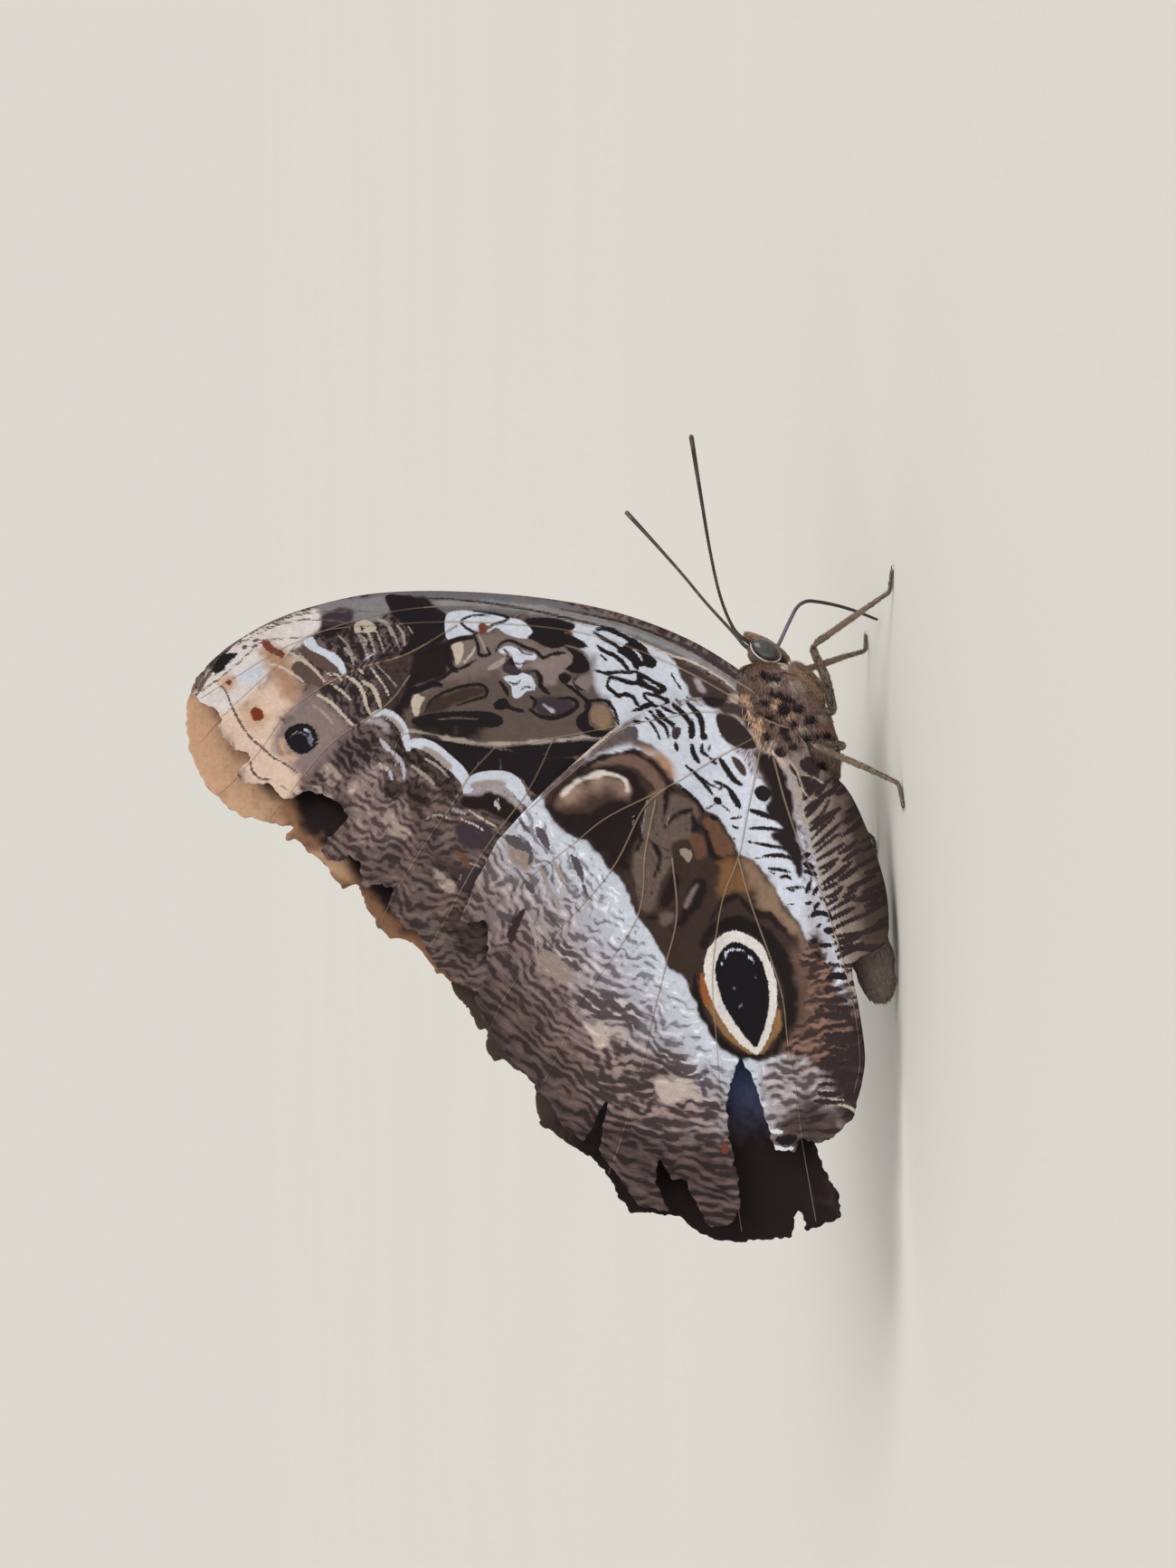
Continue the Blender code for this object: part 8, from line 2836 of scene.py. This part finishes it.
@dataclass(frozen=True)
class Studio:
    """A pale floor, soft lights and the camera of the side picture."""

    middle: Point3 = (0.0, 0.0, 41.9)
    distance: float = 722.0
    lens: float = 120.0
    sensor: float = 36.0
    floor_size: float = 6000.0
    floor_colour: Rgb = (206, 204, 200)
    sky: Point3 = (0.72, 0.695, 0.642)
    lamps: tuple[Lamp, ...] = (
        Lamp("key", (-1.0, 0.8, 0.8), 40, 1.7, (255, 251, 246)),
        Lamp("fill", (-0.6, -0.7, 0.8), 60, 0.52, (244, 248, 255)),
    )

    def _point(self, shift: float) -> Vector:
        """The middle of the picture in the frame, in metres."""
        return Vector((self.middle[0] + shift, self.middle[1], self.middle[2])) * MM

    def axes(self) -> tuple[Vector, Vector, Vector]:
        """The camera's own right, up and backward directions: the head is up in the picture.

        Returns:
            The three directions.
        """
        look = Vector((Sight.across * Sight.level, Sight.along * Sight.level, -Sight.down))
        up = Vector((Sight.along, -Sight.across, 0.0))
        return look.cross(up).normalized(), up, -look

    def floor(self) -> None:
        """One wide square at the height of the feet."""
        half = self.floor_size / 2 * MM
        mesh = bpy.data.meshes.new("floor")
        corners = [(-half, -half, 0), (half, -half, 0), (half, half, 0), (-half, half, 0)]
        mesh.from_pydata(corners, [], [(0, 1, 2, 3)])
        nodes = Nodes("floor_look", roughness=0.85)
        cloud = nodes.noise(nodes.place(), 6.0, 2.0) * 0.04 + 0.97
        mesh.materials.append(nodes.dress(nodes.toned((*linear(self.floor_colour), 1.0), cloud)))
        made = bpy.data.objects.new("floor", mesh)
        bpy.context.scene.collection.objects.link(made)

    def build(self, shift: float) -> None:
        """Makes the floor, the lights, the sky and the camera.

        Args:
            shift: How far the frame's origin is from the design's, along X in millimetres.
        """
        self.floor()
        right, up, back = self.axes()
        for lamp in self.lamps:
            lamp.hang((right, up, back))
        world = bpy.data.worlds.new("studio")
        world.use_nodes = True
        sky = world.node_tree.nodes["Background"]
        sky.inputs["Color"].default_value = (*self.sky, 1)
        sky.inputs["Strength"].default_value = 1.0
        bpy.context.scene.world = world
        bpy.context.scene.view_settings.view_transform = "Standard"
        eye = bpy.data.cameras.new("camera")
        eye.lens, eye.sensor_width, eye.sensor_fit = self.lens, self.sensor, "AUTO"
        eye.clip_start, eye.clip_end = 0.01, 20.0
        camera = bpy.data.objects.new("camera", eye)
        turned = Matrix([(right[i], up[i], back[i]) for i in range(3)]).to_4x4()
        place = self._point(shift) + back * self.distance * MM
        camera.matrix_world = Matrix.Translation(place) @ turned
        bpy.context.scene.collection.objects.link(camera)
        bpy.context.scene.camera = camera


FORE_LEADING = (
    (8.5, 13.0), (12.6, 16.6), (17.4, 23.0), (21.0, 29.5), (24.3, 39.0), (26.2, 50.0),
    (26.9, 62.0), (26.4, 72.0), (24.5, 80.2), (22.5, 85.5), (20.7, 88.7), (18.7, 91.7),
    (16.4, 94.2),
)
FORE_WORN = {
    RIGHT: (
        (14.4, 95.8), (12.6, 96.2), (11.2, 95.3), (10.4, 93.1),
        (9.1, 92.1), (8.1, 92.6), (6.2, 91.8), (4.8, 90.2), (4.6, 88.5), (3.8, 88.0), (1.6, 90.0),
        (0.2, 88.7), (0.0, 87.0), (0.5, 85.5), (-1.9, 83.4), (-1.0, 79.8), (-2.2, 76.0),
        (-4.8, 74.4), (-7.6, 77.2), (-9.3, 78.4), (-10.6, 77.3), (-10.9, 75.7), (-9.5, 74.6),
        (-11.2, 72.6), (-14.4, 72.6), (-13.8, 69.8), (-14.4, 68.2), (-16.5, 69.2), (-19.9, 66.3),
        (-19.8, 65.0), (-23.4, 63.5), (-25.3, 61.6), (-27.0, 59.4), (-28.4, 56.4),
    ),
    LEFT: (
        (14.2, 96.1), (12.0, 96.9), (9.3, 97.3), (7.0, 97.1), (4.5, 96.5),
        (2.0, 95.5), (-0.5, 94.1), (-2.7, 91.7), (-4.5, 88.8), (-5.0, 86.2), (-6.0, 83.6),
        (-5.2, 81.3), (-6.9, 83.2), (-7.7, 83.2), (-7.6, 81.8), (-10.4, 78.9), (-11.5, 77.4),
        (-14.5, 75.4), (-13.7, 73.2), (-16.1, 72.4), (-19.6, 70.5), (-20.9, 68.9), (-21.4, 66.6),
        (-22.6, 64.6), (-24.2, 63.6), (-25.6, 62.4), (-26.7, 60.6), (-28.4, 57.0),
    ),
}
FORE_TRAILING = ((-29.2, 53.5), (-25.5, 47.5), (-15.5, 38.0), (-5.0, 27.5), (4.6, 17.6), (5.6, 13.0))
HIND_LEADING = (
    (7.6, 13.4), (8.9, 17.0), (10.9, 20.6), (12.0, 25.8), (11.0, 31.1), (8.0, 37.6),
    (3.3, 43.2), (-2.0, 48.8), (-7.8, 54.2),
)
HIND_WORN = {
    RIGHT: (
        (-14.1, 57.4), (-18.9, 59.2), (-18.6, 55.7), (-22.4, 55.2), (-26.8, 55.7), (-28.8, 57.1),
        (-33.0, 55.4), (-37.0, 52.5), (-40.6, 48.9), (-43.0, 46.8), (-46.2, 45.2), (-48.1, 42.2),
        (-42.2, 39.0), (-49.3, 40.2), (-56.8, 34.6), (-57.2, 31.0), (-53.6, 32.6), (-50.8, 32.1),
        (-53.1, 30.2), (-53.2, 28.3), (-55.5, 27.7), (-59.8, 25.3), (-59.3, 22.9), (-56.8, 21.3),
        (-53.0, 21.5), (-47.4, 22.9), (-43.6, 23.0), (-40.5, 22.4), (-37.4, 21.0), (-39.5, 19.8),
        (-43.0, 18.3), (-46.1, 17.5), (-49.5, 16.4), (-49.7, 13.9), (-48.1, 13.0), (-48.6, 9.2),
        (-45.2, 5.8),
    ),
    LEFT: (
        (-14.0, 57.8), (-20.5, 60.0), (-26.0, 60.6), (-28.4, 60.1), (-30.1, 58.9), (-30.5, 57.8),
        (-32.7, 57.1), (-33.6, 56.4), (-33.3, 55.7), (-36.1, 55.6), (-37.8, 54.6), (-37.4, 53.3),
        (-38.5, 52.0), (-39.2, 50.6), (-40.8, 49.1), (-42.9, 48.7), (-46.1, 48.3), (-47.5, 46.3),
        (-48.8, 43.9), (-49.9, 42.3), (-52.1, 39.6), (-54.9, 38.0), (-57.9, 36.0), (-57.9, 32.4),
        (-58.2, 29.2), (-59.9, 27.7), (-61.4, 24.9), (-62.0, 21.8), (-61.6, 18.6), (-61.3, 14.3),
        (-57.4, 13.2), (-60.4, 12.4), (-58.9, 7.3), (-55.4, 7.9), (-51.8, 9.9), (-48.8, 11.0),
        (-46.4, 9.4), (-44.0, 6.6),
    ),
}
HIND_TRAILING = (
    (-41.0, 4.6), (-37.0, 4.1), (-30.4, 4.9), (-24.6, 5.7), (-23.0, 3.0), (-21.4, 0.9),
    (-18.0, 0.5), (-13.8, 0.9), (-9.4, 2.1), (-5.2, 3.7), (-1.6, 5.4), (0.8, 7.4), (2.6, 10.4),
    (5.6, 11.6),
)
FORE_VEINS = (
    (
        (12.5, 18.5), (17.5, 26.5), (22.0, 36.5), (24.4, 50.0), (24.7, 62.0), (23.2, 72.0),
        (19.4, 82.5), (14.6, 90.5), (11.8, 95.0),
    ),
    (
        (11.0, 20.0), (16.5, 30.0), (20.8, 42.0), (22.4, 56.0), (22.2, 68.0), (20.8, 79.6),
        (16.4, 84.6), (9.4, 92.0), (5.8, 95.2),
    ),
    ((22.0, 60.0), (18.0, 66.9), (15.4, 74.9), (10.4, 82.6), (5.0, 86.6), (1.0, 90.0), (-2.0, 93.2)),
    ((15.0, 66.4), (11.0, 69.5), (6.0, 76.6), (2.0, 80.2), (-1.2, 82.6), (-5.4, 86.0)),
    (
        (9.8, 18.6), (9.2, 30.0), (6.4, 45.5), (5.0, 54.5), (7.0, 66.5), (2.2, 68.9), (-2.5, 72.5),
        (-10.0, 77.6),
    ),
    ((5.0, 54.5), (1.0, 58.1), (-3.1, 60.5), (-7.4, 63.5), (-14.8, 68.0), (-21.0, 71.0)),
    ((6.2, 46.5), (-1.0, 50.0), (-10.0, 56.5), (-20.0, 62.0), (-26.0, 66.0)),
    ((7.4, 17.8), (-4.0, 30.0), (-14.0, 41.0), (-24.0, 52.5), (-30.0, 58.0)),
)
HIND_VEINS = (
    ((8.4, 18.4), (9.9, 25.0), (9.0, 31.5), (7.4, 37.2), (1.8, 43.6), (-4.6, 51.2), (-8.6, 55.6)),
    ((6.6, 18.2), (3.6, 23.8), (-0.5, 30.8), (-4.6, 39.0), (-8.2, 43.7), (-15.0, 52.7), (-19.6, 58.8)),
    ((-0.5, 30.8), (-3.6, 34.2), (-12.5, 39.0), (-23.2, 48.8), (-29.0, 53.0), (-33.5, 55.2), (-37.0, 57.0)),
    ((-2.2, 32.4), (-9.5, 33.9), (-18.4, 35.1), (-30.1, 42.9), (-37.0, 45.9), (-42.0, 48.6), (-46.6, 50.2)),
    (
        (-10.2, 30.2), (-18.0, 29.6), (-24.9, 31.2), (-31.8, 33.0), (-38.8, 34.5), (-47.0, 37.0),
        (-54.0, 39.4),
    ),
    (
        (5.4, 17.8), (3.4, 18.2), (-3.0, 19.6), (-10.2, 21.1), (-16.4, 23.4), (-25.8, 24.8),
        (-33.5, 24.4), (-42.1, 23.8), (-49.9, 22.6), (-60.5, 21.0),
    ),
    (
        (-10.2, 21.1), (-16.5, 19.4), (-28.0, 15.5), (-35.2, 14.6), (-40.9, 13.6), (-47.8, 12.8),
        (-60.0, 10.8),
    ),
    ((3.6, 16.2), (-2.6, 14.6), (-9.2, 12.4), (-14.9, 9.9), (-26.8, 6.3), (-36.8, 4.8), (-42.0, 5.6)),
)


def wings() -> list[Wing]:
    """The four wings, the nearer ones of the side picture on a finer lattice.

    Returns:
        The right pair, then the left pair.
    """
    fold = [mark for family in FOLD_DASHES for mark in family.marks()]
    made = []
    for side, step in ((RIGHT, 0.265), (LEFT, 0.33)):
        forewing = Wing(
            kind="forewing",
            side=side,
            leading=FORE_LEADING,
            worn=FORE_WORN[side],
            trailing=FORE_TRAILING,
            veins=FORE_VEINS,
            layer=0.5,
            flare=2.35,
            pole=(23.0, 53.0),
            fade=None,
            grounds=FOREWING_GROUNDS,
            marks=FOREWING_MARKS,
            dorsal=FOREWING_DORSAL,
            step=step,
            hairs=2600,
        )
        hindwing = Wing(
            kind="hindwing",
            side=side,
            leading=HIND_LEADING,
            worn=HIND_WORN[side],
            trailing=HIND_TRAILING,
            veins=HIND_VEINS,
            layer=1.5,
            flare=3.0,
            pole=(7.0, 18.25),
            fade=HINDWING_FADE,
            grounds=HINDWING_GROUNDS,
            marks=[*fold, *HINDWING_MARKS],
            dorsal=HINDWING_DORSAL,
            step=step,
            hairs=4200,
        )
        made += [forewing, hindwing]
    return made


def flat(box: tuple[Vector, Vector]) -> list[list[float]]:
    """A box's two corners as plain numbers."""
    return [[float(c) for c in corner] for corner in box]


def main() -> None:
    """Builds the finished butterfly over its solids, and its studio."""
    logging.basicConfig(level=logging.INFO)
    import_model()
    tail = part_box("abdomen")[0][0] / MM
    shift = tail - BodyForm().stations[0][0]
    shop = Workshop(shift)
    for wing in wings():
        wing.build(shop)
        wing.root_hair(shop, BodyPattern())
    Body().build(shop)
    Limbs().build(shop)
    Eyes().build(shop)
    Studio().build(shift)


if __name__ == "__main__":
    main()
